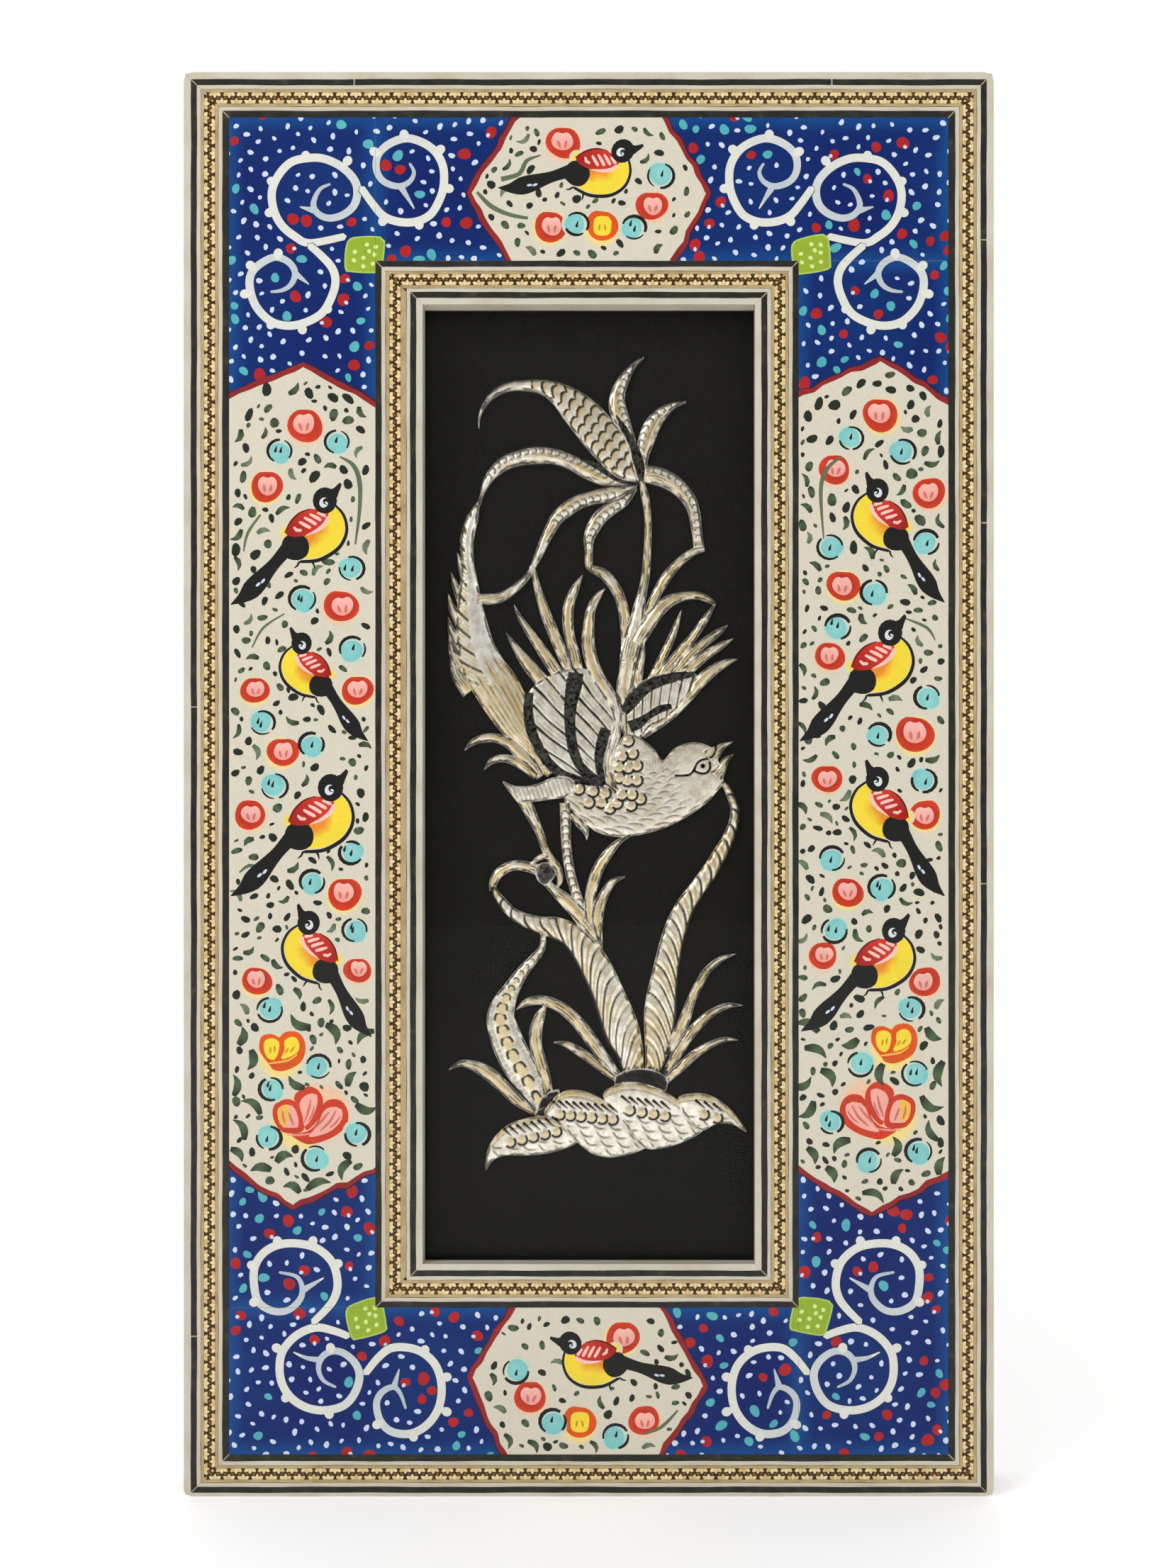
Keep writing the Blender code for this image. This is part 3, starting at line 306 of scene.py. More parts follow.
def rail_material(name, stretch):
    """Dark stained wood with its grain along one axis."""
    finish = Finish(name, linear(96, 66, 42), 0.48, coat=0.25, coat_roughness=0.25, shine=0.4)
    grain = finish.noise(90, 8, 0.62, stretch)
    pores = finish.noise(600, 4, 0.6, stretch)
    stains = [(0.25, linear(58, 36, 22)), (0.5, linear(92, 62, 38)), (0.8, linear(124, 88, 56))]
    base = finish.ramp(grain, stains)
    dark = finish.ramp(pores, [(0.34, (0.45, 0.42, 0.40)), (0.46, (1.0, 1.0, 1.0))])
    finish.colour_from(finish.mix_colour(1.0, base, dark, "MULTIPLY"))
    finish.bump(pores, 0.25, 0.0003)
    return finish.material


def glass_material():
    finish = Finish("picture_glass", (0.93, 0.96, 0.95), 0.02, shine=0.5)
    finish.set("Transmission Weight", 1.0)
    finish.set("Alpha", 0.08)
    return finish.material


def velvet_material():
    finish = Finish("velvet", linear(20, 20, 19), 0.95, shine=0.0)
    finish.set("Sheen Weight", 0.03)
    finish.set("Sheen Roughness", 0.6)
    pile = finish.noise(2500, 5, 0.7)
    finish.colour_from(finish.ramp(pile, [(0.3, linear(18, 17, 16)), (0.7, linear(36, 35, 32))]))
    finish.bump(pile, 0.25, 0.0002)
    return finish.material


def backing_material():
    finish = Finish("fibre_board", linear(128, 98, 66), 0.8)
    fibres = finish.noise(500, 6, 0.7)
    finish.colour_from(finish.ramp(fibres, [(0.3, linear(100, 74, 48)), (0.7, linear(148, 116, 82))]))
    finish.bump(fibres, 0.3, 0.0003)
    return finish.material


def steel_material():
    finish = Finish("plated_steel", (0.58, 0.57, 0.54), 0.36, metallic=1.0)
    scuffs = finish.noise(700, 5, 0.6, (1.0, 1.0, 6.0))
    finish.colour_from(finish.ramp(scuffs, [(0.3, (0.42, 0.41, 0.39)), (0.7, (0.66, 0.65, 0.62))]))
    finish.roughness_from(finish.ramp(scuffs, [(0.3, 0.5), (0.7, 0.3)]))
    return finish.material


def silver_material():
    """Pale silver with a warm gold tint in places, dark oxide in its grooves, and painted shade on the round
    beads' lower right.
    """
    finish = Finish("chased_silver", linear(232, 225, 208), 0.28, metallic=0.8, shine=0.2)
    cloud = finish.ramp(finish.noise(420, 4), [(0.34, linear(216, 209, 192)), (0.62, linear(255, 251, 240))])
    warm = finish.attribute("warm", "Fac")
    tinted = finish.mix_colour(warm, cloud, linear(222, 194, 134))
    fine = finish.ramp(finish.noise(1900, 4, 0.6), [(0.3, (0.86, 0.85, 0.82)), (0.6, (1.06, 1.06, 1.05))])
    worn = finish.mix_colour(0.8, tinted, finish.mix_colour(1.0, tinted, fine, "MULTIPLY"))
    patina_and_shade = finish.attribute("patina_and_shade", "Fac")
    finish.colour_from(finish.mix_colour(patina_and_shade, worn, linear(12, 10, 8)))
    finish.roughness_from(finish.ramp(patina_and_shade, [(0.0, 0.28), (1.0, 0.85)]))
    finish.bump(finish.noise(260, 5, 0.6), 0.22, 0.0008)
    return finish.material


# Meshes

def add_piece(name, mesh, materials, nodes):
    """A piece of the object, in place, that stands for the named nodes."""
    for material in materials:
        mesh.materials.append(material)
    piece = bpy.data.objects.new(name, mesh)
    bpy.context.scene.collection.objects.link(piece)
    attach(piece, "root")
    if nodes:
        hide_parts(*nodes)
    return piece


def mesh_from(name, points, faces, indices=None, smooth=False):
    mesh = bpy.data.meshes.new(name)
    mesh.from_pydata([tuple(point) for point in points], [], [tuple(face) for face in faces])
    if indices is not None:
        mesh.polygons.foreach_set("material_index", indices)
    if smooth:
        mesh.polygons.foreach_set("use_smooth", [True] * len(mesh.polygons))
    made = bmesh.new()
    made.from_mesh(mesh)
    bmesh.ops.recalc_face_normals(made, faces=made.faces)
    made.to_mesh(mesh)
    made.free()
    return mesh


def add_loop(points, edges, loop, closed=True):
    first = len(points)
    points.extend(Vector((float(x), float(z))) for x, z in loop)
    edges.extend((first + index, first + index + 1) for index in range(len(loop) - 1))
    if closed:
        edges.append((len(points) - 1, first))


def open_edges(faces):
    """The edges that only one triangle uses, each as that triangle runs it."""
    used = set()
    for a, b, c in faces:
        used.update(((a, b), (b, c), (c, a)))
    return [(a, b) for a, b in used if (b, a) not in used]


def rim_loop(edges):
    """The one closed loop that the rim's edges make."""
    following = dict(edges)
    start = edges[0][0]
    loop = [start]
    while following[loop[-1]] != start:
        loop.append(following[loop[-1]])
    return loop


# The borders: strips that meet without a gap, their edges a little uneven

def line_level(line, side, outer):
    """The level of a line's outer or inner edge on one side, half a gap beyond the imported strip."""
    low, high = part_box(f"{line}_{side}")
    first, last = (low.x, high.x) if side in ("left", "right") else (low.z, high.z)
    outwards = 1 if side in ("right", "top") else -1
    level = last if (outwards > 0) == outer else first
    level += outwards * (HALF_GAP if outer else -HALF_GAP)
    least, most = sorted((FRAME_EDGES[side], WINDOW_EDGES[side]))
    return min(max(level, least), most)


def line_rectangle(line, outer):
    return {side: line_level(line, side, outer) for side in SIDES}


def wander(name, distance, length):
    """How far a strip's edge strays at a distance along it, none at its ends."""
    seed = sum(ord(letter) * (order + 3) for order, letter in enumerate(name)) % 997
    amount = 0.00005 * math.sin(distance * 110 + seed) + 0.00004 * math.sin(distance * 310 + seed * 2.3)
    amount += 0.00002 * math.sin(distance * 1300 + seed * 0.7)
    ease = min(1.0, distance / 0.004, (length - distance) / 0.004)
    return amount * max(0.0, ease)


def strip_mesh(name, outer_run, inner_run, front_y, back_y, seams=()):
    """A strip between two runs of points, with a light filled joint at each seam."""
    count = len(outer_run)
    points = []
    for y in (front_y, back_y):
        for x, z in outer_run:
            points.append((x, y, z))
        for x, z in inner_run:
            points.append((x, y, z))
    faces, indices = [], []
    outer_front, inner_front, outer_back, inner_back = 0, count, 2 * count, 3 * count
    for step in range(count - 1):
        joint = 1 if step in seams else 0
        following = step + 1
        faces.append((outer_front + step, outer_front + following,
                      inner_front + following, inner_front + step))
        faces.append((outer_back + step, inner_back + step, inner_back + following, outer_back + following))
        faces.append((outer_front + step, outer_back + step, outer_back + following, outer_front + following))
        faces.append((inner_front + step, inner_front + following, inner_back + following, inner_back + step))
        indices += [joint] * 4
    for step in (0, count - 1):
        faces.append((outer_front + step, inner_front + step, inner_back + step, outer_back + step))
        indices.append(0)
    return mesh_from(name, points, faces, indices)


FRAME_EDGES = {
    "left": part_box("frame_rail_left")[0].x,
    "right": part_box("frame_rail_right")[1].x,
    "bottom": rail_low.z,
    "top": rail_high.z,
}
WINDOW_EDGES = {
    "left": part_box("window_lip_left")[1].x,
    "right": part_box("window_lip_right")[0].x,
    "bottom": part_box("window_lip_bottom")[1].z,
    "top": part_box("window_lip_top")[0].z,
}
OUTER_LINES = (
    ("outer_edge_strip", "white_bone"),
    ("outer_black_strip", "black_wood"),
    ("outer_white_strip", "white_bone"),
    ("outer_khatam_strip", "khatam_mosaic"),
    ("panel_white_strip", "white_bone"),
    ("panel_black_strip", "black_wood"),
)
INNER_LINES = (
    ("sheet_black_strip", "black_wood"),
    ("sheet_white_strip", "white_bone"),
    ("inner_khatam_strip", "khatam_mosaic"),
    ("window_white_strip", "white_bone"),
    ("window_black_strip", "black_wood"),
    ("window_lip", "white_bone"),
)
# Butt joints in the black strips: which strip, and how far along it from its left or bottom end
SEAM_PLACES = {
    "outer_black_strip_top": (0.046, 0.181),
    "outer_black_strip_left": (0.044, 0.222),
    "outer_black_strip_right": (0.172, 0.274, 0.354),
}
SEAM_WIDTH = 0.0004
MITRE_LINE = 0.00022
STRIP_STEP = 0.0025
CORNER_RADIUS = 0.0016


def rounded_corner(x, z, radius):
    """A point moved inside the frame's rounded corner if it lies outside it."""
    centre_x = math.copysign(FRAME_EDGES["right"] - radius, x)
    middle_z = CENTRE_Z
    half = FRAME_EDGES["top"] - middle_z - radius
    centre_z = middle_z + math.copysign(half, z - middle_z)
    across = (x - centre_x) * math.copysign(1, x)
    up = (z - centre_z) * math.copysign(1, z - middle_z)
    if across > 0 and up > 0:
        reach = math.hypot(across, up)
        if reach > radius:
            return (centre_x + (x - centre_x) * radius / reach, centre_z + (z - centre_z) * radius / reach)
    return (x, z)


def side_span(rect, side):
    """Where one side of a rectangle starts and ends."""
    return (rect["bottom"], rect["top"]) if side in ("left", "right") else (rect["left"], rect["right"])


def strip_stations(outer, inner, side, seam_places, mitre_line):
    """Places along a strip's outer and inner edge, in pairs, and the numbers of the steps that are joints."""
    outer_start, outer_end = side_span(outer, side)
    inner_start, inner_end = side_span(inner, side)
    low = max(outer_start, inner_start) + 2 * SEAM_WIDTH
    high = min(outer_end, inner_end) - 2 * SEAM_WIDTH
    places = set(np.linspace(low, high, round((high - low) / STRIP_STEP) + 1).tolist())
    starts = []
    for distance in seam_places:
        place = outer_start + distance
        starts.append(place)
        places.update((place, place + SEAM_WIDTH))
    ordered = sorted(places)
    pairs = [(place, place) for place in ordered]
    joints = [ordered.index(start) for start in starts]
    if mitre_line:
        pairs = [(outer_start + MITRE_LINE, inner_start + MITRE_LINE)] + pairs
        pairs.append((outer_end - MITRE_LINE, inner_end - MITRE_LINE))
        joints = [joint + 1 for joint in joints] + [-1, len(pairs) - 1]
    pairs = [(outer_start, inner_start)] + pairs + [(outer_end, inner_end)]
    return pairs, [joint + 1 for joint in joints]


def run_at(rect, side, name, places):
    """Points along one side of a rectangle at the given places, each straying a little across it."""
    upright = side in ("left", "right")
    start, end = side_span(rect, side)
    run = []
    for place in places:
        level = rect[side] + (wander(name, place - start, end - start) if name else 0.0)
        run.append((level, place) if upright else (place, level))
    return np.array(run)


def build_strips(lines, materials):
    """All plain strips of one border, and its mosaic."""
    for order, (line, slot) in enumerate(lines):
        outer = line_rectangle(line, True)
        inner = line_rectangle(line, False)
        if slot == "khatam_mosaic":
            build_mosaic(line, outer, inner, materials)
            continue
        for side in SIDES:
            node = f"{line}_{side}"
            low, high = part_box(node)
            seams = SEAM_PLACES.get(node, ())
            pairs, joints = strip_stations(outer, inner, side, seams, slot == "black_wood")
            outer_name = "" if line == "outer_edge_strip" else f"{lines[0][0]}{order}{side}"
            inner_name = "" if line == "window_lip" else f"{lines[0][0]}{order + 1}{side}"
            outer_run = run_at(outer, side, outer_name, [place for place, _ in pairs])
            inner_run = run_at(inner, side, inner_name, [place for _, place in pairs])
            if line == "outer_edge_strip":
                outer_run = np.array([rounded_corner(x, z, CORNER_RADIUS) for x, z in outer_run])
            back_y = high.y if line == "window_lip" else high.y + REACH_BACK
            mesh = strip_mesh(f"{node}_inlay", trim_ends(outer_run, side), trim_ends(inner_run, side),
                              low.y, back_y, joints)
            add_piece(f"{node}_inlay", mesh, [materials[slot], materials["glue"]], [node])


def trim_ends(run, side):
    """The run with its two ends drawn back by a hair, for the line where mitred strips meet."""
    axis = 1 if side in ("left", "right") else 0
    trimmed = run.copy()
    trimmed[0, axis] += SEAM / 2
    trimmed[-1, axis] -= SEAM / 2
    return trimmed


# Star mosaic: along each edge of the band a row of half stars of three pale slivers, in dark wood
STAR_PITCH = 0.0040
MOSAIC_WIDTH = 0.0032
SLIVER_LIFT = 0.00003
LIP_LINE = 0.00012
# A half star in shares of its pitch and of half the band's width: left, middle and right sliver
HALF_STAR = (
    ((-0.33, 0.04), (-0.11, 0.04), (-0.145, 0.58), (-0.365, 0.68), (-0.425, 0.46)),
    ((-0.095, 0.04), (0.095, 0.04), (0.13, 0.58), (0.0, 1.06), (-0.13, 0.58)),
    ((0.11, 0.04), (0.33, 0.04), (0.425, 0.46), (0.365, 0.68), (0.145, 0.58)),
)
BROWN_RHOMB = ((-0.13, 1.02), (-0.03, 0.82), (0.13, 0.98), (0.03, 1.18))


def clip_by(outline, side_of):
    """The part of a flat outline on the side where side_of is not below zero."""
    kept = []
    for here, following in zip(outline, outline[1:] + outline[:1]):
        first, second = side_of(here), side_of(following)
        if first >= 0:
            kept.append(here)
        if (first >= 0) != (second >= 0):
            share = first / (first - second)
            kept.append(tuple(a + (b - a) * share for a, b in zip(here, following)))
    return kept


class MosaicStrip:
    """One side of a mosaic line: flat polygons in a dark bed, mitred at both ends."""

    def __init__(self, side, outer, lips, front_y, back_y):
        self.side = side
        self.upright = side in ("left", "right")
        self.inwards = 1 if side in ("left", "bottom") else -1
        self.level = outer[side]
        self.start, self.end = side_span(outer, side)
        self.front_y = front_y
        self.back_y = back_y
        self.lips = lips
        self.points, self.faces, self.indices, self.tones = [], [], [], []

    def add(self, outline, front, back, index, tone=0.5):
        """A plate over an outline of (along, inwards) points, cut off at the mitres."""
        cut = clip_by(outline, lambda point: point[0] - self.start - point[1] - SEAM / 2)
        cut = clip_by(cut, lambda point: self.end - point[1] - SEAM / 2 - point[0])
        if len(cut) < 3:
            return
        first, count = len(self.points), len(cut)
        for y in (front, back):
            for along, across in cut:
                level = self.level + self.inwards * across
                self.points.append((level, y, along) if self.upright else (along, y, level))
        self.faces.append(tuple(range(first, first + count)))
        self.faces.append(tuple(range(first + 2 * count - 1, first + count - 1, -1)))
        for step in range(count):
            following = (step + 1) % count
            self.faces.append((first + step, first + following,
                               first + count + following, first + count + step))
        self.indices.extend([index] * (count + 2))
        self.tones.extend([tone] * (count + 2))

    def add_line(self, near, far, front, index):
        outline = [(self.start, near), (self.end, near), (self.end, far), (self.start, far)]
        self.add(outline, front, self.back_y, index)

    def add_stars(self, rng):
        """Two rows of half stars, nub to nub, with a brown rhomb between each pair of nubs."""
        half = MOSAIC_WIDTH / 2
        bed_y = self.front_y + SLIVER_LIFT
        stars = round((self.end - self.start) / STAR_PITCH)
        pitch = (self.end - self.start) / stars
        for row in range(2):
            for star in range(stars + 1):
                centre = self.start + pitch * (star + 0.5 * row)
                shift = rng.normal(0, 0.018)
                for sliver in HALF_STAR:
                    outline = []
                    for u, v in sliver:
                        depth = v * half * (1 + rng.normal(0, 0.02))
                        across = depth if row == 0 else MOSAIC_WIDTH - depth
                        outline.append((centre + pitch * (u + shift), self.lips[0] + across))
                    self.add(outline, self.front_y, bed_y, PALE, float(rng.uniform(0, 1)))
        for step in range(2 * stars):
            centre = self.start + pitch * (step / 2 + 0.25)
            lean = 1 if step % 2 else -1
            outline = [(centre + pitch * u, self.lips[0] + (1 + (v - 1) * lean) * half)
                       for u, v in BROWN_RHOMB]
            self.add(outline, self.front_y, bed_y, BROWN)

    def mesh(self, name):
        mesh = mesh_from(name, self.points, self.faces, self.indices)
        attribute = mesh.attributes.new("tone", "FLOAT", "FACE")
        attribute.data.foreach_set("value", self.tones)
        return mesh


PALE, LIP, BED, BROWN = range(4)


def build_mosaic(line, outer, inner, materials):
    rng = np.random.default_rng(7 if line.startswith("outer") else 11)
    slots = [materials[name] for name in ("pale_slivers", "lip_wood", "dark_slivers", "brown_slivers")]
    for side in SIDES:
        node = f"{line}_{side}"
        low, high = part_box(node)
        width = abs(outer[side] - inner[side])
        spare = width - MOSAIC_WIDTH
        wide_lip = line == "inner_khatam_strip" and side == "left"
        first_lip = spare * (0.4 if wide_lip else 0.5)
        strip = MosaicStrip(side, outer, (first_lip, spare - first_lip), low.y, high.y + REACH_BACK)
        bed_y = low.y + SLIVER_LIFT
        far_lip = first_lip + MOSAIC_WIDTH
        strip.add_line(SEAM / 2, LIP_LINE, low.y, BROWN)
        strip.add_line(LIP_LINE, first_lip, low.y, LIP)
        strip.add_line(first_lip, far_lip, bed_y, BED)
        strip.add_line(far_lip, width - LIP_LINE, low.y, LIP)
        strip.add_line(width - LIP_LINE, width - SEAM / 2, low.y, BROWN)
        strip.add_stars(rng)
        add_piece(f"{node}_inlay", strip.mesh(f"{node}_inlay"), slots, [node])


# The painted sheets. Each shape is an outline with a colour, and the later ones lie over the earlier

IVORY = linear(218, 211, 191)
COBALT = linear(3, 30, 100)
COBALT_LIGHT = linear(14, 82, 150)
EDGE_SHADE = linear(58, 26, 52)
RED = linear(146, 40, 40)
RING_RED = linear(206, 64, 38)
RING_DEEP = linear(188, 50, 32)
ROSE_PINK = linear(240, 158, 146)
ROSE_PALE = linear(248, 190, 178)
ROSE_MARK = linear(206, 118, 106)
PETAL_PINK = linear(246, 174, 160)
ROSE_GLOW = linear(243, 196, 160)
RING_ORANGE = linear(224, 88, 26)
ORANGE_PALE = linear(246, 190, 84)
YELLOW = linear(246, 218, 62)
YELLOW_MARK = linear(204, 146, 34)
GLOW_YELLOW = linear(246, 220, 130)
BIRD_STROKE = linear(247, 200, 188)
TURQUOISE = linear(142, 208, 203)
TURQUOISE_DEEP = linear(118, 193, 194)
TURQUOISE_GLOW = linear(184, 216, 206)
INK = linear(30, 29, 28)
EYE_WHITE = linear(222, 224, 228)
LEAF_DARK = linear(38, 44, 35)
LEAF_GREEN = linear(84, 104, 74)
LEAF_PALE = linear(122, 134, 108)
STEM_GREEN = linear(98, 112, 86)
SPOT_WHITE = linear(208, 219, 240)
SPOT_TURQUOISE = linear(84, 176, 182)
SPOT_RED = linear(176, 34, 36)
SCROLL_WHITE = linear(224, 225, 216)
SCROLL_BLUE = linear(180, 192, 206)
LEAF_PATCH = linear(150, 176, 50)
LEAF_PATCH_RIM = linear(176, 204, 92)
PATCH_DOT = linear(214, 236, 150)

# Where things are painted, in drawing units
CARTOUCHES = {
    "left": [((310, 566), (426, 514), (538, 576)), ((538, 1646), (412, 1705), (308, 1636))],
    "right": [((1119, 560), (1242, 506), (1350, 575)), ((1350, 1650), (1230, 1715), (1110, 1640))],
    "top": [((724, 380), (661, 271), (734, 158)), ((933, 158), (999, 272), (942, 380))],
    "bottom": [((716, 2066), (662, 1946), (728, 1840)), ((928, 1840), (995, 1958), (924, 2066))],
}
# Head, tail tip, and which way each bird faces
BIRDS = [
    ((457, 706), (324, 853), 1), ((424, 908), (518, 1046), -1), ((465, 1112), (324, 1265), 1),
    ((434, 1303), (523, 1464), -1), ((1238, 692), (1333, 850), -1), ((1256, 893), (1128, 1046), 1),
    ((1238, 1100), (1333, 1265), -1), ((1261, 1314), (1130, 1456), 1), ((878, 212), (702, 264), 1),
    ((804, 1897), (977, 1946), -1),
]
ROSES = [
    (429, 600, 25), (375, 686, 23), (480, 855, 24), (358, 974, 20), (503, 974, 22), (398, 1061, 22),
    (351, 1150, 22), (485, 1262, 24), (361, 1385, 21), (503, 1370, 19), (1242, 585, 25),
    (1177, 662, 22), (1311, 695, 23), (1190, 826, 23), (1171, 926, 21), (1291, 1036, 27),
    (1167, 1099, 21), (1305, 1150, 22), (1196, 1260, 22), (1161, 1349, 20), (1305, 1386, 22),
    (794, 200, 24), (776, 319, 23), (919, 289, 22), (747, 1973, 23), (878, 1889, 24), (908, 2006, 22),
]
TULIPS = [(396, 1485, 31), (1261, 1474, 31), (849, 317, 24), (817, 2008, 25)]
GREAT_FLOWERS = [(437, 1576, 1), (1238, 1569, -1)]
BUDS = [
    (393, 636), (474, 623), (495, 802), (425, 845), (496, 916), (369, 1020), (438, 1051), (386, 1110),
    (494, 1204), (439, 1245), (499, 1313), (379, 1426), (448, 1506), (381, 1538), (378, 1607),
    (503, 1602), (443, 1636), (1201, 618), (1274, 637), (1171, 772), (1307, 765), (1233, 836),
    (1182, 885), (1308, 984), (1240, 1037), (1304, 1102), (1174, 1212), (1244, 1253), (1177, 1314),
    (1286, 1425), (1214, 1503), (1291, 1516), (1173, 1585), (1296, 1626), (1226, 1639), (813, 315),
    (932, 247), (894, 320), (727, 1937), (779, 2008), (868, 2029),
]
STEMS = [
    [(478, 644, 0.8), (497, 656, 2.4), (506, 680, 2.6), (506, 720, 2.0), (500, 768, 1.0)],
    [(342, 778, 0.8), (348, 752, 1.6), (366, 726, 1.2)],
    [(354, 914, 0.8), (370, 886, 1.4), (400, 866, 0.8)],
    [(336, 1232, 0.8), (350, 1222, 2.0), (368, 1226, 0.8)],
    [(1188, 644, 0.8), (1168, 660, 2.2), (1158, 690, 2.2), (1162, 760, 0.8)],
    [(1320, 904, 0.6), (1308, 886, 1.8), (1276, 872, 0.8)],
    [(762, 218, 0.8), (742, 226, 2.2), (732, 244, 2.4), (706, 252, 2.8)],
    [(672, 270, 1.6), (692, 290, 2.6), (718, 302, 2.2), (744, 307, 1.8)],
    [(905, 2026, 0.8), (932, 2016, 2.0), (956, 1992, 1.0)],
]
PATCHES = [(513, 358, 0.1), (1144, 358, -0.1), (515, 1862, -0.2), (1144, 1858, 0.25)]

# The white scrolls of the upper left and lower left corners: stroke, fork and knobs of each
SCROLLS_ABOVE = [
    ([(484, 333), (436, 342), (415, 333), (396, 317), (385, 296), (382, 270), (391, 247), (409, 228),
      (433, 222), (456, 223), (480, 234), (498, 252), (503, 270), (498, 289), (483, 302), (464, 307),
      (449, 302), (441, 291), (443, 278), (451, 265), (464, 259)],
     [(441, 296), (422, 291)],
     [(430, 219), (489, 226), (382, 255), (379, 299)]),
    ([(509, 265), (524, 286), (540, 304), (561, 312), (585, 312), (606, 302), (619, 281), (625, 260),
      (624, 234), (613, 213), (595, 200), (572, 194), (548, 202), (532, 218), (530, 239), (540, 255),
      (561, 262), (577, 255), (583, 242), (577, 230)],
     [(566, 265), (574, 278), (583, 293)],
     [(569, 189), (620, 210), (632, 265), (590, 316), (539, 311), (527, 213)]),
    ([(436, 346), (451, 359), (467, 377), (472, 396), (467, 417), (454, 440), (433, 453), (407, 459),
      (381, 453), (360, 432), (351, 406), (353, 385), (368, 370), (388, 362), (407, 370), (415, 385),
      (409, 401), (396, 409), (381, 411)],
     [(415, 385), (434, 400)],
     [(391, 357), (352, 374), (344, 414), (381, 457), (425, 464), (460, 435)]),
]
SCROLLS_BELOW = [
    ([(489, 1887), (471, 1880), (444, 1875), (417, 1886), (398, 1907), (393, 1929), (396, 1953),
      (409, 1974), (431, 1988), (457, 1992), (484, 1985), (500, 1966), (506, 1942), (498, 1923),
      (481, 1910), (465, 1909), (452, 1918), (448, 1934), (455, 1950), (472, 1959)],
     [(452, 1921), (431, 1918), (413, 1910)],
     [(389, 1904), (402, 1974), (463, 1997), (465, 1904)]),
    ([(515, 1939), (532, 1918), (551, 1904), (578, 1904), (599, 1913), (615, 1931), (622, 1958),
      (618, 1988), (602, 2012), (578, 2025), (551, 2022), (535, 2006), (530, 1982), (538, 1966),
      (554, 1959), (564, 1969), (571, 1989)],
     [(555, 1958), (562, 1934)],
     [(598, 1907), (629, 1945), (629, 1994), (582, 2029), (531, 2012)]),
    ([(441, 1867), (460, 1848), (471, 1832), (475, 1811), (468, 1784), (449, 1765), (425, 1757),
      (396, 1757), (372, 1768), (358, 1789), (357, 1816), (364, 1840), (385, 1852), (406, 1850),
      (422, 1835), (425, 1819), (417, 1803), (393, 1797)],
     [(428, 1821), (455, 1805)],
     [(390, 1753), (440, 1753), (475, 1785), (354, 1787), (357, 1839)]),
]
MIRROR_COLUMN = 827.0


def noise_turns(angle, rng, amount):
    """A gently uneven factor round a turn."""
    first, second = rng.uniform(0, 6.28, 2)
    return 1 + amount * (np.sin(2 * angle + first) + 0.6 * np.sin(3 * angle + second))


def oval(column, row, across, down, turn=0.0, sides=12, rng=None, uneven=0.06):
    angle = np.linspace(0, 2 * math.pi, sides, endpoint=False)
    factor = noise_turns(angle, rng, uneven) if rng is not None else 1.0
    x = across * np.cos(angle) * factor
    y = down * np.sin(angle) * factor
    cosine, sine = math.cos(turn), math.sin(turn)
    return np.stack([column + x * cosine - y * sine, row + x * sine + y * cosine], axis=1)


def brush(points, spacing=6.0, taper=False):
    """The outline of a brush stroke through (column, row, half width) points."""
    run = smooth_run(points, spacing)
    along = unit_steps(run[:, :2])
    width = np.maximum(run[:, 2:], 0.25)
    across = np.stack([-along[:, 1], along[:, 0]], axis=1) * width
    left = run[:, :2] + across
    right = (run[:, :2] - across)[::-1]
    pieces = [left]
    if not taper:
        pieces.append(run[-1:, :2] + along[-1:] * width[-1] * 0.8)
    pieces.append(right)
    if not taper:
        pieces.append(run[:1, :2] - along[:1] * width[0] * 0.8)
    return np.concatenate(pieces)


def blend(first, second, share):
    share = np.clip(share, 0, 1)[:, None]
    return np.array(first)[None] * (1 - share) + np.array(second)[None] * share


class Picture:
    """The painted shapes, from the lowest up."""

    def __init__(self):
        self.shapes = []

    def add(self, outline, colour, mottle=0.25):
        """colour is one colour or a function from points to colours."""
        outline = np.array(outline, float)
        self.shapes.append((outline, outline.min(axis=0), outline.max(axis=0), colour, mottle))


def halo(picture, column, row, inner, outer, colour, ground, turn=0.0, stretch=1.0):
    """A soft ring of colour that fades into the ground."""
    def fading(points):
        away = np.linalg.norm((points - (column, row)) / (stretch, 1.0), axis=1)
        return blend(colour, ground, (away - inner) / (outer - inner))
    for reach in (outer, (outer + inner) / 2):
        picture.add(oval(column, row, reach * stretch, reach, turn, 16), fading, 0.15)


class Placing:
    """Turns, sizes and moves a figure drawn round its own origin."""

    def __init__(self, origin, scale, turn, facing):
        self.origin = np.array(origin, float)
        self.scale = scale
        self.turn = turn
        self.facing = facing

    def __call__(self, points):
        rows = np.array(points, float)
        x = rows[:, 0] * self.facing * self.scale
        y = rows[:, 1] * self.scale
        cosine, sine = math.cos(self.turn), math.sin(self.turn)
        columns = self.origin[0] + x * cosine - y * sine
        across_rows = self.origin[1] + x * sine + y * cosine
        moved = np.stack([columns, across_rows], axis=1)
        if rows.shape[1] == 3:
            moved = np.concatenate([moved, rows[:, 2:] * self.scale], axis=1)
        return moved


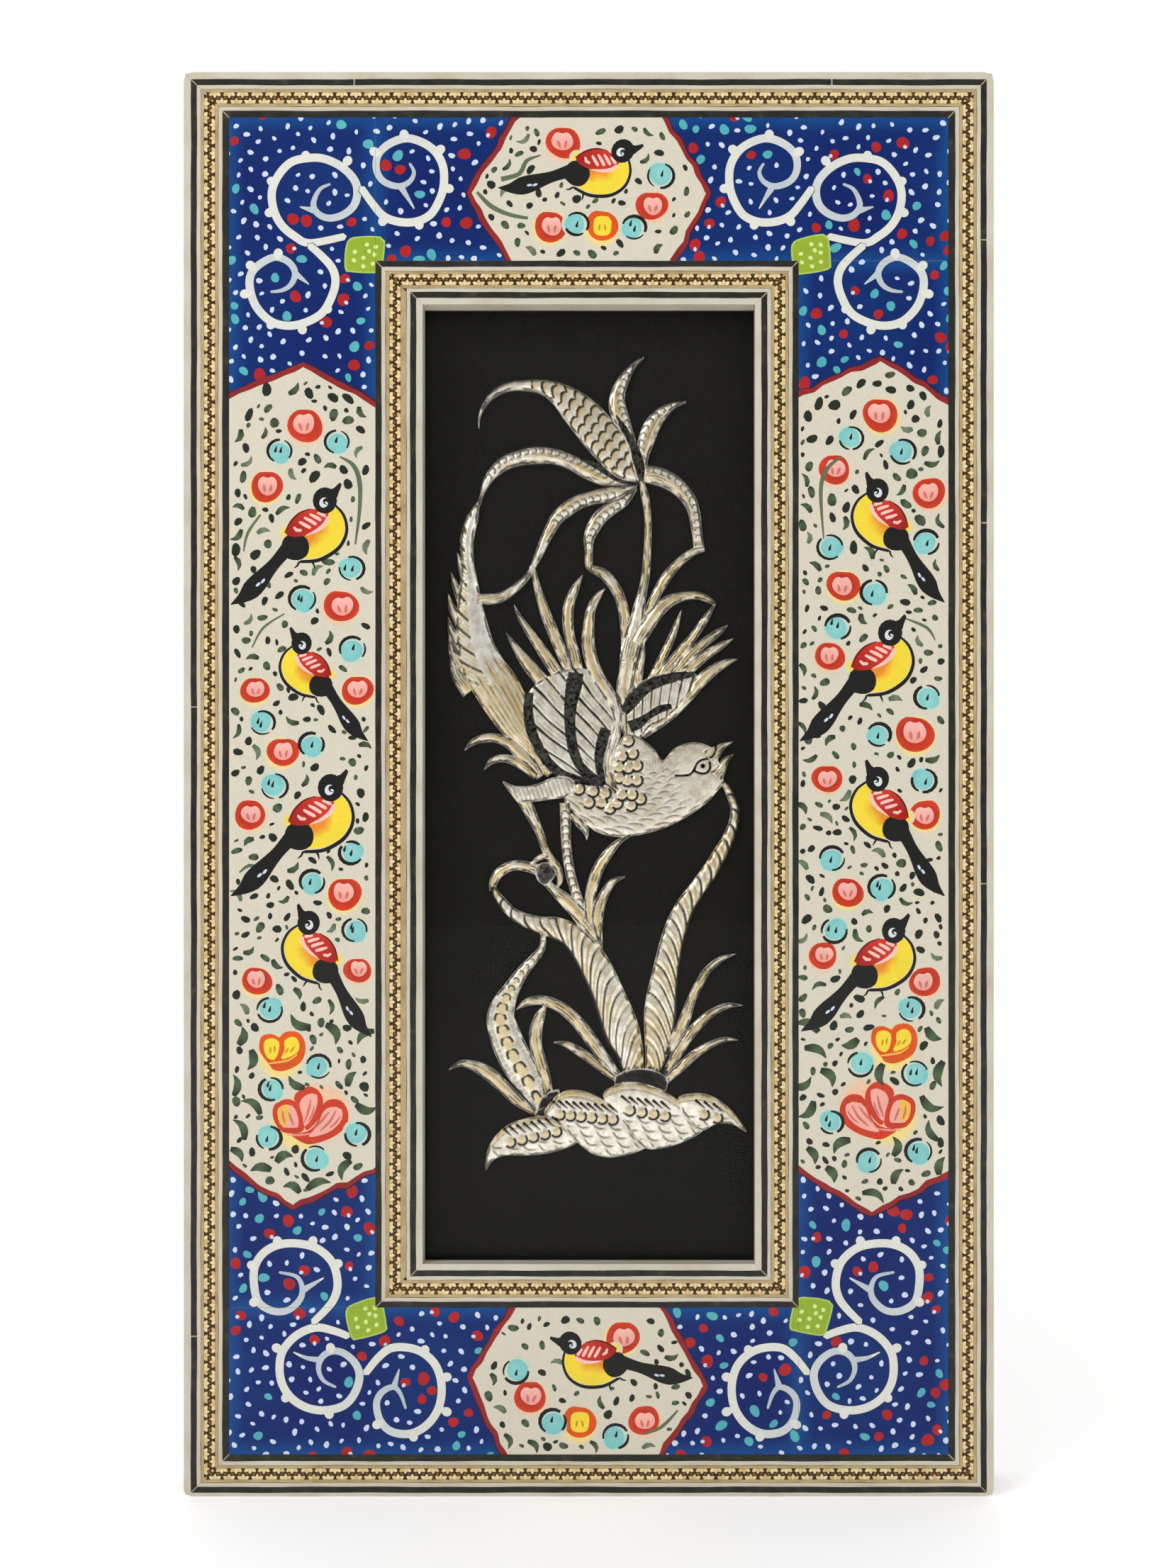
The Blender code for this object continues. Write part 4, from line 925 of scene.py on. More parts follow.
# A small bird facing right, drawn round the middle of its head
BIRD_TAIL_TIP = (-134, 150)
BIRD_BREAST = [(6, 14), (18, 12), (25, 22), (29, 36), (27, 50), (20, 63), (8, 74), (-10, 82), (-30, 83),
               (-38, 72), (-34, 56), (-22, 42), (-8, 28)]
BIRD_WING = [(-57, 46), (-50, 32), (-38, 20), (-24, 13), (-8, 13), (5, 18), (0, 32), (-14, 44),
             (-30, 51), (-48, 52)]
BIRD_RUMP = [(-62, 66), (-58, 54), (-47, 48), (-34, 49), (-25, 56), (-22, 68), (-26, 80), (-38, 86),
             (-52, 84), (-60, 77)]
BIRD_TAIL = [(-54, 70, 10), (-70, 89, 8.5), (-83, 104, 10.5), (-95, 118, 13.5), (-106, 130, 13.5),
             (-117, 140, 8), (-134, 150, 0.6)]
BIRD_CREST = [(6, -15), (13, -18), (21, -26), (24, -23), (20, -12), (16, -2), (8, -4)]
BIRD_LINES = [
    [(14, 6, 1.6), (26, 19, 2.0), (31.5, 36, 2.2), (30, 51, 2.4), (22, 66, 2.6), (9, 77, 2.8), (-10, 86, 2.6),
     (-34, 88, 2.2)],
    [(-18, 87, 1.6), (-15, 93, 1.4), (-14, 98, 0.7)],
    [(-36, 88, 1.6), (-39, 94, 1.4), (-43, 97, 0.7)],
    [(-57, 47, 0.8), (-49, 31, 1.4), (-36, 18, 1.2), (-20, 12, 0.6)],
]
BIRD_STROKES = [
    [(-10, 18, 1.8), (-5, 19, 2.8), (0, 22, 2.4)],
    [(-21, 20, 1.6), (-13, 24, 2.5), (-6, 28, 2.2)],
    [(-29, 25, 1.6), (-21, 29, 2.5), (-13, 34, 2.2)],
    [(-36, 31, 1.6), (-29, 35, 2.5), (-21, 39, 2.2)],
    [(-44, 39, 1.6), (-40, 43, 2.4), (-34, 43, 2.0)],
    [(5, 24, 2.6), (0, 34, 3.0), (-11, 43, 2.4), (-26, 50, 0.8)],
]
BIRD_DASHES = [(-88, 116, -0.9), (-95, 121, -0.7)]


def paint_bird(picture, head, tip, facing):
    drawn = math.hypot(*BIRD_TAIL_TIP)
    wanted = (tip[0] - head[0], tip[1] - head[1])
    scale = math.hypot(*wanted) / drawn
    turn = math.atan2(wanted[1], wanted[0]) - math.atan2(BIRD_TAIL_TIP[1], BIRD_TAIL_TIP[0] * facing)
    put = Placing(head, scale, turn, facing)
    wing = put([(-30, 36)])[0]
    halo(picture, *put([(-55, 46)])[0], 5 * scale, 12 * scale, YELLOW, IVORY)

    def breast(points):
        away = np.linalg.norm(points - wing, axis=1) / scale
        return blend(linear(234, 142, 44), YELLOW, (away - 26) / 8)

    smooth = smooth_run(put(BIRD_BREAST), 5, closed=True)
    picture.add(smooth, breast)
    inner = smooth_run(np.array(put(BIRD_BREAST)) * 0.72 + wing * 0.28, 5, closed=True)
    picture.add(inner, breast)
    for line in BIRD_LINES[:3]:
        picture.add(brush(put(line), 5), INK)
    picture.add(brush(put(BIRD_TAIL), 7, taper=True), INK)
    picture.add(smooth_run(put(BIRD_RUMP), 6, closed=True), INK)
    for x, y, lean in BIRD_DASHES:
        picture.add(oval(*put([(x, y)])[0], 4.2 * scale, 1.9 * scale, turn + lean * facing, 10), SPOT_WHITE)

    def feathers(points):
        away = np.linalg.norm(points - put([(-52, 46)])[0], axis=1) / scale
        return blend(linear(158, 30, 26), linear(206, 56, 42), away / 44)

    picture.add(smooth_run(put(BIRD_WING), 5, closed=True), feathers)
    picture.add(brush(put(BIRD_LINES[3]), 4, taper=True), linear(112, 22, 20))
    for line in BIRD_STROKES:
        picture.add(brush(put(line), 4), BIRD_STROKE)
    picture.add(smooth_run(put(BIRD_CREST), 5, closed=True), INK)
    picture.add(oval(*head, 17.5 * scale, 19 * scale, turn, 16), INK)
    eye_white = oval(*put([(-1.5, 3)])[0], 6.4 * scale, 7.4 * scale, turn + 0.3 * facing, 14)
    picture.add(eye_white, EYE_WHITE)
    picture.add(oval(*put([(1.6, 1.4)])[0], 4.6 * scale, 4.6 * scale, turn, 12), INK)
    glint = oval(*put([(2.2, 3.4)])[0], 2.6 * scale, 1.5 * scale, turn + 0.5 * facing, 8)
    picture.add(glint, EYE_WHITE)


def apple(column, row, across, down, notch, rng, sides=22):
    """A round outline with a dent at its top."""
    angle = np.linspace(0, 2 * math.pi, sides, endpoint=False)
    factor = noise_turns(angle, rng, 0.045)
    top = 1.5 * math.pi
    factor *= 1 - notch * np.exp(-((angle - top) / 0.34) ** 2)
    return np.stack([column + across * np.cos(angle) * factor, row + down * np.sin(angle) * factor], axis=1)


def paint_rose(picture, column, row, radius, rng):
    """A red ring round a pale dented heart with two petal marks."""
    glow = ROSE_GLOW if rng.uniform() < 0.6 else GLOW_YELLOW
    halo(picture, column + rng.uniform(-3, 3), row + radius * 0.12, radius * 0.9, radius * 1.16, glow, IVORY)
    heart = np.array((column, row)) + rng.uniform(-2, 2, 2) - (0, radius * 0.06)

    def ring(points):
        away = np.linalg.norm(points - heart, axis=1) / radius
        return blend(RING_DEEP, RING_RED, (away - 0.6) / 0.25)

    picture.add(apple(column, row, radius * 1.02, radius * 0.95, 0.10, rng), ring, 0.7)

    def petal(points):
        tall = (points[:, 1] - heart[1]) / radius
        return blend(ROSE_PALE, ROSE_PINK, tall + 0.5)

    picture.add(apple(*heart, radius * 0.62, radius * 0.60, 0.30, rng), petal, 0.4)
    for side in (-1, 1):
        lean = side * 0.25 + rng.uniform(-0.2, 0.2)
        place = heart + (side * radius * 0.2, radius * 0.2)
        picture.add(oval(*place, radius * 0.09, radius * 0.24, lean, 8, rng), ROSE_MARK, 0.3)


def paint_bud(picture, column, row, rng):
    """A turquoise wash, off centre in a thick broken outline, with one or two dark seeds."""
    radius = rng.uniform(16.5, 18.5)
    middle = np.array((column, row), float)
    lean = rng.uniform(0, 2 * math.pi)
    wash_middle = middle + np.array((math.cos(lean), math.sin(lean))) * 3.2
    halo(picture, *wash_middle, radius * 0.80, radius * 1.12, TURQUOISE_GLOW, IVORY)

    def wash(points):
        away = np.linalg.norm(points - wash_middle, axis=1) / radius
        return blend(TURQUOISE, TURQUOISE_DEEP, (away - 0.2) / 1.2)

    picture.add(oval(*wash_middle, radius * 0.88, radius * 0.84, lean, 14, rng, 0.05), wash, 0.6)
    start = lean + rng.uniform(0.5, 1.0)
    longer = (rng.uniform(2.6, 3.3), rng.uniform(2.0, 2.9))
    shorter = (rng.uniform(1.2, 1.9), rng.uniform(1.3, 2.2))
    for reach, stroke in (longer, shorter):
        angles = np.linspace(start, start + reach, 9)
        widths = stroke * (0.3 + 0.7 * np.sin(np.linspace(0.3, 2.5, 9)))
        columns = column + radius * np.cos(angles)
        rows = row + radius * 0.95 * np.sin(angles)
        ring = np.stack([columns, rows, widths], axis=1)
        picture.add(brush(ring, 5, taper=True), INK, 0.4)
        start += reach + rng.uniform(0.2, 0.5)
    for shift in ((0, 0), (-7, -4))[:1 + (rng.uniform() < 0.4)]:
        x, y = middle + shift + rng.uniform(-3, 3, 2)
        picture.add(brush([(x + 1.5, y - 5, 0.4), (x, y, 1.7), (x - 0.5, y + 3, 2.0)], 4), INK)


def in_place(column, row, scale, facing=1):
    """Gives a function that sizes and moves points drawn round an origin."""
    def put(points):
        rows = np.array(points, float)
        rows[:, 0] = rows[:, 0] * facing * scale + column
        rows[:, 1] = rows[:, 1] * scale + row
        if rows.shape[1] == 3:
            rows[:, 2] *= scale
        return rows
    return put


TULIP_SHAPE = [(-32, -11), (-29, -21), (-20, -25), (-11, -24), (-3, -20), (2, -26), (13, -29),
               (25, -26), (33, -13), (33, 2), (27, 15), (13, 24), (-1, 28), (-13, 25), (-18, 18),
               (-28, 5), (-32, -4)]
TULIP_HEARTS = [
    [(-25, -13), (-22, -17), (-13, -19), (-4, -14), (-4, -2), (-7, 7), (-11, 12), (-20, 9), (-25, -2)],
    [(4, -15), (13, -21), (21, -19), (25, -10), (23, 0), (13, 7), (1, 11), (-1, 8), (4, -2)],
]
TULIP_MARKS = [(-16, -2, 0.1), (-10, -4, 0.1), (7, -1, 0.6), (15, -3, 0.7)]
TULIP_FOLD = [(-20, 17, 0.8), (-5, 15, 1.4), (10, 12, 1.3), (22, 4, 0.7)]
SMALL_HEART = [(-11, -9), (-3, -13), (9, -12), (13, -6), (12, 8), (7, 14), (-6, 14), (-12, 8)]


def paint_tulip(picture, column, row, size):
    """An orange flower with yellow hearts: two lobes when it is large, a round one when small."""
    large = size > 28
    scale = size / 31 if large else size / 24
    put = in_place(column, row, scale)
    halo(picture, column - 2, row + size * 0.25, size * 0.85, size * 1.12, GLOW_YELLOW, IVORY)
    if large:
        shape = put(TULIP_SHAPE)
    else:
        shape = apple(column, row, size * 0.92, size * 0.94, 0.12, np.random.default_rng(3))
    picture.add(smooth_run(shape, 6, closed=True), RING_ORANGE, 0.8)
    for heart in TULIP_HEARTS if large else [SMALL_HEART]:
        picture.add(smooth_run(put(heart), 5, closed=True), YELLOW, 0.4)
    marks = TULIP_MARKS if large else [(-4, 3, 0.2), (4, 3, -0.2)]
    for x, y, lean in marks:
        picture.add(oval(*put([(x, y)])[0], 1.5 * scale, 5.0 * scale, lean, 8), YELLOW_MARK, 0.3)
    if large:
        picture.add(brush(put(TULIP_FOLD), 6, taper=True), ORANGE_PALE, 0.5)


# The great flower's petals, the lowest first: each ring and the heart within it
GREAT_PETALS = [
    ([(17, -16), (23, -22), (36, -24), (47, -18), (53, -5), (52, 10), (43, 22), (27, 32), (10, 38),
      (-5, 40), (-20, 33), (-27, 26), (-6, 22), (8, 10)],
     [(-3, 29), (9, 14), (17, -5), (23, -11), (36, -13), (44, -9), (44, 4), (36, 15), (25, 23),
      (10, 28)]),
    ([(-54, -2), (-52, -15), (-42, -22), (-30, -24), (-18, -17), (-12, -2), (-10, 20), (-26, 25),
      (-41, 22), (-50, 11)],
     [(-47, -2), (-47, -9), (-40, -15), (-27, -15), (-20, -5), (-17, 10), (-18, 16), (-39, 16),
      (-44, 10)]),
    ([(-24, -24), (-22, -31), (-12, -39), (-1, -42), (10, -37), (17, -26), (17, -13), (12, 2), (2, 15),
      (-7, 20), (-12, 6), (-14, -8)],
     [(-16, -17), (-9, -28), (2, -32), (9, -30), (9, -16), (4, -2), (-3, 10), (-9, 15), (-11, 2)]),
]
GREAT_YELLOW = [(-47, -2), (-47, -9), (-40, -15), (-31, -15), (-31, 0), (-33, 12), (-39, 16), (-44, 10)]
GREAT_STROKES = [
    [(-40, -8, 0.7), (-39, 2, 1.7), (-36, 11, 0.7)], [(-31, -5, 0.7), (-28, 4, 1.9), (-24, 13, 0.8)],
    [(0, -23, 0.7), (-3, -8, 2.0), (-9, 9, 0.9)], [(5, -13, 0.7), (2, -2, 1.6), (-4, 8, 0.7)],
    [(26, -6, 0.7), (17, 5, 2.0), (5, 18, 0.9)], [(36, -8, 0.7), (27, 8, 2.0), (13, 21, 0.9)],
    [(42, 0, 0.7), (36, 9, 1.6), (27, 17, 0.7)],
]
GREAT_SEAM = [(-34, 27, 0.7), (-16, 27, 1.3), (0, 25, 0.7)]


def paint_great_flower(picture, column, row, facing):
    """Three rounded petals in broad red rings."""
    put = in_place(column, row, 1.0, facing)
    halo(picture, column - 14 * facing, row + 10, 32, 42, GLOW_YELLOW, IVORY, 0.0, 1.1)
    halo(picture, column + 12 * facing, row - 4, 34, 46, ROSE_GLOW, IVORY, 0.0, 1.05)
    for ring, heart in GREAT_PETALS:
        picture.add(smooth_run(put(ring), 6, closed=True), RING_RED, 0.8)
        picture.add(smooth_run(put(heart), 6, closed=True), PETAL_PINK, 0.4)
    picture.add(smooth_run(put(GREAT_YELLOW), 6, closed=True), ORANGE_PALE, 0.5)
    picture.add(brush(put(GREAT_SEAM), 6, taper=True), ROSE_PINK, 0.5)
    for stroke in GREAT_STROKES:
        picture.add(brush(put(stroke), 6, taper=True), ROSE_MARK, 0.3)


def paint_patch(picture, column, row, turn, rng):
    """A leaf-green rounded square with pale dots."""
    corner = [(-26, -16), (-6, -25), (20, -27), (27, -22), (27, 14), (22, 24), (-16, 27), (-26, 22)]
    rows = np.array(corner, float)
    cosine, sine = math.cos(turn), math.sin(turn)
    turned = np.stack([rows[:, 0] * cosine - rows[:, 1] * sine,
                       rows[:, 0] * sine + rows[:, 1] * cosine], axis=1)
    picture.add(smooth_run(turned + (column, row), 6, closed=True), LEAF_PATCH_RIM, 0.2)
    picture.add(smooth_run(turned * 0.92 + (column, row), 6, closed=True), LEAF_PATCH, 0.5)
    for x, y in ((2, -14), (15, -12), (-14, -2), (6, -5), (14, -1), (-14, 10), (-1, 5), (13, 12), (0, 17)):
        place = (column + x * cosine - y * sine, row + x * sine + y * cosine)
        picture.add(oval(*place, 3.4, 3.0, rng.uniform(0, 3), 8, rng), PATCH_DOT, 0.1)


def paint_scroll(picture, stroke, fork, knobs):
    """A thick white scroll with a forked inner curl and round knobs on its outer side."""
    rows = np.array(stroke, float)
    count = len(rows)
    widths = np.interp(np.arange(count) / (count - 1), (0, 0.1, 0.6, 0.85, 1.0), (5.0, 5.8, 5.8, 4.4, 1.8))
    path = np.concatenate([rows, widths[:, None]], axis=1)
    run = smooth_run(path, 5)[:, :2]
    arc = distances_along(run)

    def tint(points):
        _, place = distance_to_path(points, run)
        share = np.interp(place, np.arange(len(run)), arc) / arc[-1]
        return blend(SCROLL_WHITE, SCROLL_BLUE, (share - 0.5) / 0.5)

    end = np.array(fork, float)
    fork_path = np.concatenate([end, np.linspace(4.6, 1.0, len(end))[:, None]], axis=1)
    for grow, colour in ((1.1, linear(20, 34, 74)), (0.0, tint)):
        for outline in (fork_path, path):
            picture.add(brush(outline + (0, 0, grow), 5), colour, 0.25)
    for column, row in knobs:
        gap, place = distance_to_path(np.array([(column, row)], float), run)
        index = min(int(place[0]), len(run) - 2)
        foot = run[index] + (run[index + 1] - run[index]) * (place[0] - index)
        picture.add(brush([(foot[0], foot[1], 4.2), (column, row, 4.6)], 5), SCROLL_WHITE, 0.25)
        lean = math.atan2(row - foot[1], column - foot[0])
        picture.add(oval(column, row, 7.4, 6.6, lean, 12), SCROLL_WHITE, 0.25)


def mirrored(points):
    return [(2 * MIRROR_COLUMN - point[0], *point[1:]) for point in points]


def all_scrolls():
    scrolls = []
    for stroke, fork, knobs in SCROLLS_ABOVE + SCROLLS_BELOW:
        scrolls.append((stroke, fork, knobs))
        scrolls.append((mirrored(stroke), mirrored(fork), mirrored(knobs)))
    return scrolls


def rippled(start, end, rng):
    """Points from start to end, a little uneven from side to side."""
    start, end = np.array(start, float), np.array(end, float)
    across = np.array((end[1] - start[1], start[0] - end[0]))
    length = np.linalg.norm(across)
    across /= length
    shares = np.linspace(0, 1, round(length / 5), endpoint=False)
    knots = np.linspace(0, 1, max(4, round(length / 13)))
    bows = rng.normal(0, 1.3, len(knots))
    bows[[0, -1]] = 0
    sway = 1.8 * np.sin(math.pi * shares)
    off_line = np.interp(shares, knots, bows) + sway
    return list(start + (end - start) * shares[:, None] + across * off_line[:, None])


def uneven_line(edge, half, rng):
    """The path of an edge with a half width that swells and thins."""
    knots = rng.uniform(0.75, 1.3, max(4, len(edge) // 3))
    widths = half * np.interp(np.linspace(0, 1, len(edge)), np.linspace(0, 1, len(knots)), knots)
    return np.concatenate([edge, widths[:, None]], axis=1)


def cartouche_outline(name, rng):
    """The two pointed ends of an ivory field, and the whole outline round it."""
    edges = []
    for start, apex, end in CARTOUCHES[name]:
        edges.append(np.array(rippled(start, apex, rng) + rippled(apex, end, rng) + [end]))
    return edges, np.concatenate(edges)


def scatter(rng, low, high, spacing, allowed, tries):
    """Points thrown at random, kept where allowed and no closer than the spacing."""
    kept = np.zeros((0, 2))
    thrown = rng.uniform(low, high, (tries, 2))
    thrown = thrown[allowed(thrown)]
    for point in thrown:
        if len(kept) == 0 or np.linalg.norm(kept - point, axis=1).min() > spacing:
            kept = np.concatenate([kept, point[None]])
    return kept


# Round areas that cover a bird, drawn round the middle of its head
BIRD_DISCS = ((0, 0, 26), (-6, 42, 38), (-34, 56, 38), (-76, 96, 17), (-104, 124, 15), (12, -18, 14))


def flower_discs():
    """Round areas that the small leaves keep clear of."""
    discs = [(column, row, radius + 6) for column, row, radius in ROSES]
    discs += [(column, row, 23) for column, row in BUDS]
    discs += [(column, row, size + 4) for column, row, size in TULIPS]
    discs += [(column + shift, row + 2, 37) for column, row, _ in GREAT_FLOWERS for shift in (-24, 0, 24)]
    for head, tip, facing in BIRDS:
        drawn = math.hypot(*BIRD_TAIL_TIP)
        wanted = (tip[0] - head[0], tip[1] - head[1])
        scale = math.hypot(*wanted) / drawn
        turn = math.atan2(wanted[1], wanted[0]) - math.atan2(BIRD_TAIL_TIP[1], BIRD_TAIL_TIP[0] * facing)
        put = Placing(head, scale, turn, facing)
        for x, y, radius in BIRD_DISCS:
            place = put([(x, y)])[0]
            discs.append((place[0], place[1], radius * scale))
    for stem in STEMS:
        discs += [(column, row, 4) for column, row, _ in smooth_run(stem, 6)]
    return np.array(discs)


# Leaves, dabs and seeds: how far apart, how clear of what is there, and the room each then takes
LEAF_KINDS = (("leaf", 36, 9, 12), ("dab", 21, 7, 8), ("seed", 17, 4, 5))
LEAF_REACH = 46
LEAF_MARGIN = 22


def comma(column, row, turn, length, width, bend):
    """A brush dab: rounded where it starts, bent, and drawn out to a tip."""
    step = np.array((math.cos(turn), math.sin(turn))) * length
    side = np.array((-step[1], step[0])) * bend
    middle = np.array((column, row))
    return [(*(middle - step - side * 0.5), width * 0.55), (*(middle - step * 0.3 + side * 0.4), width),
            (*(middle + step * 0.35 + side * 0.4), width * 0.8), (*(middle + step - side * 0.7), 0.4)]


def paint_leaf(picture, shape, middle, turn, length, first, second):
    """One leaf or dab, darker at its ends."""
    along = np.array((math.cos(turn), math.sin(turn)))

    def wash(spots):
        share = (spots - middle) @ along / length
        return blend(first, second, np.abs(share - 0.15) * 0.9)

    picture.add(shape, wash, 0.7)


def paint_leaves(picture, name, outline, rng):
    """Leaves round the flowers, rounder dabs between them and small dark seeds in what is left."""
    discs = flower_discs()
    closed = close(outline)
    low, high = outline.min(axis=0), outline.max(axis=0)
    taken = [discs]

    def free(room, edge):
        def allowed(points):
            blocked = np.concatenate(taken)
            good = inside_outline(points, outline)
            good &= distance_to_path(points, closed)[0] > edge
            good &= ((points > low + LEAF_MARGIN) & (points < high - LEAF_MARGIN)).all(axis=1)
            gaps = np.linalg.norm(points[:, None] - blocked[None, :, :2], axis=2) - blocked[None, :, 2]
            near = np.linalg.norm(points[:, None] - discs[None, :, :2], axis=2) - discs[None, :, 2]
            return good & (gaps.min(axis=1) > room) & (near.min(axis=1) < LEAF_REACH)
        return allowed

    for kind, spacing, room, reach in LEAF_KINDS:
        tries = int((high - low).prod() / 10)
        places = scatter(rng, low, high, spacing, free(room, room + 5), tries)
        here = []
        for column, row in places:
            gaps = np.linalg.norm(discs[:, :2] - (column, row), axis=1) - discs[:, 2]
            nearest = discs[gaps.argmin()]
            away = math.atan2(row - nearest[1], column - nearest[0])
            side = 1 if rng.uniform() < 0.5 else -1
            turn = away + side * rng.uniform(0.7, 1.9)
            first, second = LEAF_GREEN, LEAF_DARK
            lush = name in ("left", "right") and row > 1440
            airy = name in ("left", "right") and row < 800
            if kind == "leaf":
                if not lush and rng.uniform() < 0.4:
                    continue
                length = rng.uniform(12, 18) if lush else rng.uniform(8, 11)
                width = rng.uniform(5.5, 7.0) if lush else rng.uniform(3.4, 4.8)
                if not lush and rng.uniform() < 0.35:
                    first, second = LEAF_PALE, LEAF_GREEN
                bend = side * rng.uniform(0.3, 0.5)
                shape = brush(comma(column, row, turn, length, width, bend), 4.5, taper=True)
            else:
                if rng.uniform() < (0.08 if kind == "dab" else 0.5):
                    continue
                length = rng.uniform(5.0, 8.2) if kind == "dab" else rng.uniform(3.4, 4.6)
                if airy and kind == "dab":
                    length += 1.5
                width = length * rng.uniform(0.55, 0.8)
                if rng.uniform() < 0.6:
                    first = LEAF_DARK
                shape = oval(column, row, length, width, turn, 9, rng, 0.10)
            here.append((column, row, reach))
            paint_leaf(picture, shape, (column, row), turn, length, first, second)
        if here:
            taken.append(np.array(here))


# The inner border's outer corners, within which no spots are painted
WINDOW_LOW = (524, 366)
WINDOW_HIGH = (1132, 1852)


def paint_ground_spots(picture, rng, region_low, region_high, cartouches):
    """White, turquoise and red spots over the blue."""
    runs = []
    for stroke, fork, knobs in all_scrolls():
        runs += [smooth_run(stroke, 8), smooth_run(fork, 8), np.array(knobs, float)]
    path = np.concatenate(runs)
    patches = np.array([(column, row) for column, row, _ in PATCHES], float)

    def blue(points):
        good = np.ones(len(points), bool)
        for outline in cartouches:
            good &= ~inside_outline(points, outline)
            good &= distance_to_path(points, close(outline))[0] > 8
        gaps = np.array([np.linalg.norm(path - point, axis=1).min() for point in points])
        good &= gaps > 13
        good &= np.linalg.norm(points[:, None] - patches[None], axis=2).min(axis=1) > 36
        window_side = ((points > WINDOW_LOW) & (points < WINDOW_HIGH)).all(axis=1)
        return good & ~window_side

    tries = int((region_high[0] - region_low[0]) * (region_high[1] - region_low[1]) / 14)
    for column, row in scatter(rng, region_low, region_high, 17.5, blue, tries):
        kind = rng.uniform()
        turn = rng.uniform(0, 3.14)
        if kind < 0.74:
            size = rng.uniform(2.6, 3.9)
            picture.add(oval(column, row, size * 1.3, size, turn, 9, rng, 0.1), SPOT_WHITE, 0.35)
        elif kind < 0.86:
            size = rng.uniform(4.4, 6.8)
            picture.add(oval(column, row, size * 1.3, size, turn, 11, rng, 0.08), SPOT_TURQUOISE, 0.9)
        else:
            size = rng.uniform(6.4, 9.2)
            picture.add(oval(column, row, size, size * 0.95, turn, 12, rng, 0.08), SPOT_RED, 0.8)
            if rng.uniform() < 0.45:
                spot = (column + size * 0.7 * math.cos(turn), row + size * 0.7 * math.sin(turn))
                picture.add(oval(*spot, 3.2, 2.6, turn, 8, rng), SPOT_WHITE, 0.2)


def paint_stems(picture):
    """A few long curved stems in thin grey-green."""
    for stem in STEMS:
        picture.add(brush(np.array(stem) * (1, 1, 1.3), 6, taper=True), STEM_GREEN, 0.8)


def painted_picture():
    picture = Picture()
    rng = np.random.default_rng(20)
    outlines = {name: cartouche_outline(name, rng) for name in CARTOUCHES}
    cartouches = [outline for _, outline in outlines.values()]
    paint_ground_spots(picture, rng, (306, 152), (1396, 2062), cartouches)
    for scroll in all_scrolls():
        paint_scroll(picture, *scroll)
    for edges, outline in outlines.values():
        for edge in edges:
            picture.add(brush(uneven_line(edge, 5.0, rng), 4), EDGE_SHADE, 0.6)
        picture.add(outline, IVORY, 0.1)
        for edge in edges:
            picture.add(brush(uneven_line(edge, 3.5, rng), 4), RED, 0.9)
    for column, row, turn in PATCHES:
        paint_patch(picture, column, row, turn, rng)
    for place in GREAT_FLOWERS:
        paint_great_flower(picture, *place)
    for column, row, size in TULIPS:
        paint_tulip(picture, column, row, size)
    for column, row, radius in ROSES:
        paint_rose(picture, column, row, radius, rng)
    for column, row in BUDS:
        paint_bud(picture, column, row, rng)
    paint_stems(picture)
    for name in CARTOUCHES:
        paint_leaves(picture, name, outlines[name][1], rng)
    for bird in BIRDS:
        paint_bird(picture, *bird)
    return picture


def blue_ground(points, low, high):
    """Cobalt, lighter in broad patches and towards the sheet's edges."""
    wave = np.sin(points[:, 0] * 0.021 + 1.3) * np.sin(points[:, 1] * 0.017) * 0.5 + 0.5
    rim = np.minimum(points - low, high - points).min(axis=1)
    return blend(COBALT, COBALT_LIGHT, wave * 0.18 + np.clip(1 - rim / 22, 0, 1) * 0.6)


def to_units(x, z):
    return MIDDLE_COLUMN + x / UNIT, MIDDLE_ROW - (z - CENTRE_Z) / UNIT


def sheet_plan(picture, low, high):
    """The shapes of one sheet as triangles: their points, corners, colours and mottling."""
    points, edges = [], []
    steps = []
    for a, b in (((low[0], low[1]), (high[0], low[1])), ((high[0], low[1]), (high[0], high[1])),
                 ((high[0], high[1]), (low[0], high[1])), ((low[0], high[1]), (low[0], low[1]))):
        count = max(2, round(math.dist(a, b) / 24))
        steps += [(a[0] + (b[0] - a[0]) * k / count, a[1] + (b[1] - a[1]) * k / count) for k in range(count)]
    add_loop(points, edges, steps)
    columns = np.arange(low[0] + 7, high[0] - 4, 14)
    rows = np.arange(low[1] + 7, high[1] - 4, 14)
    points.extend(Vector((float(c), float(r))) for c in columns for r in rows)
    near = []
    for shape in picture.shapes:
        outline, least, most, _, _ = shape
        if (most < low).any() or (least > high).any():
            continue
        near.append(shape)
        add_loop(points, edges, outline)
    found, _, faces, *_ = delaunay_2d_cdt(points, edges, [], 0, 0.02)
    plan = np.array([tuple(point) for point in found])
    faces = np.array([tuple(face) for face in faces])
    middles = plan[faces].mean(axis=1)
    kept = ((middles > low) & (middles < high)).all(axis=1)
    faces, middles = faces[kept], middles[kept]
    corners = plan[faces]
    colours = blue_ground(corners.reshape(-1, 2), low, high).reshape(-1, 3, 3)
    mottles = np.full(len(faces), 0.9)
    for outline, least, most, colour, mottle in near:
        candidate = np.flatnonzero(((middles >= least) & (middles <= most)).all(axis=1))
        if len(candidate) == 0:
            continue
        chosen = candidate[inside_outline(middles[candidate], outline)]
        if len(chosen) == 0:
            continue
        if callable(colour):
            colours[chosen] = colour(corners[chosen].reshape(-1, 2)).reshape(-1, 3, 3)
        else:
            colours[chosen] = colour
        mottles[chosen] = mottle
    return plan, faces, colours, mottles


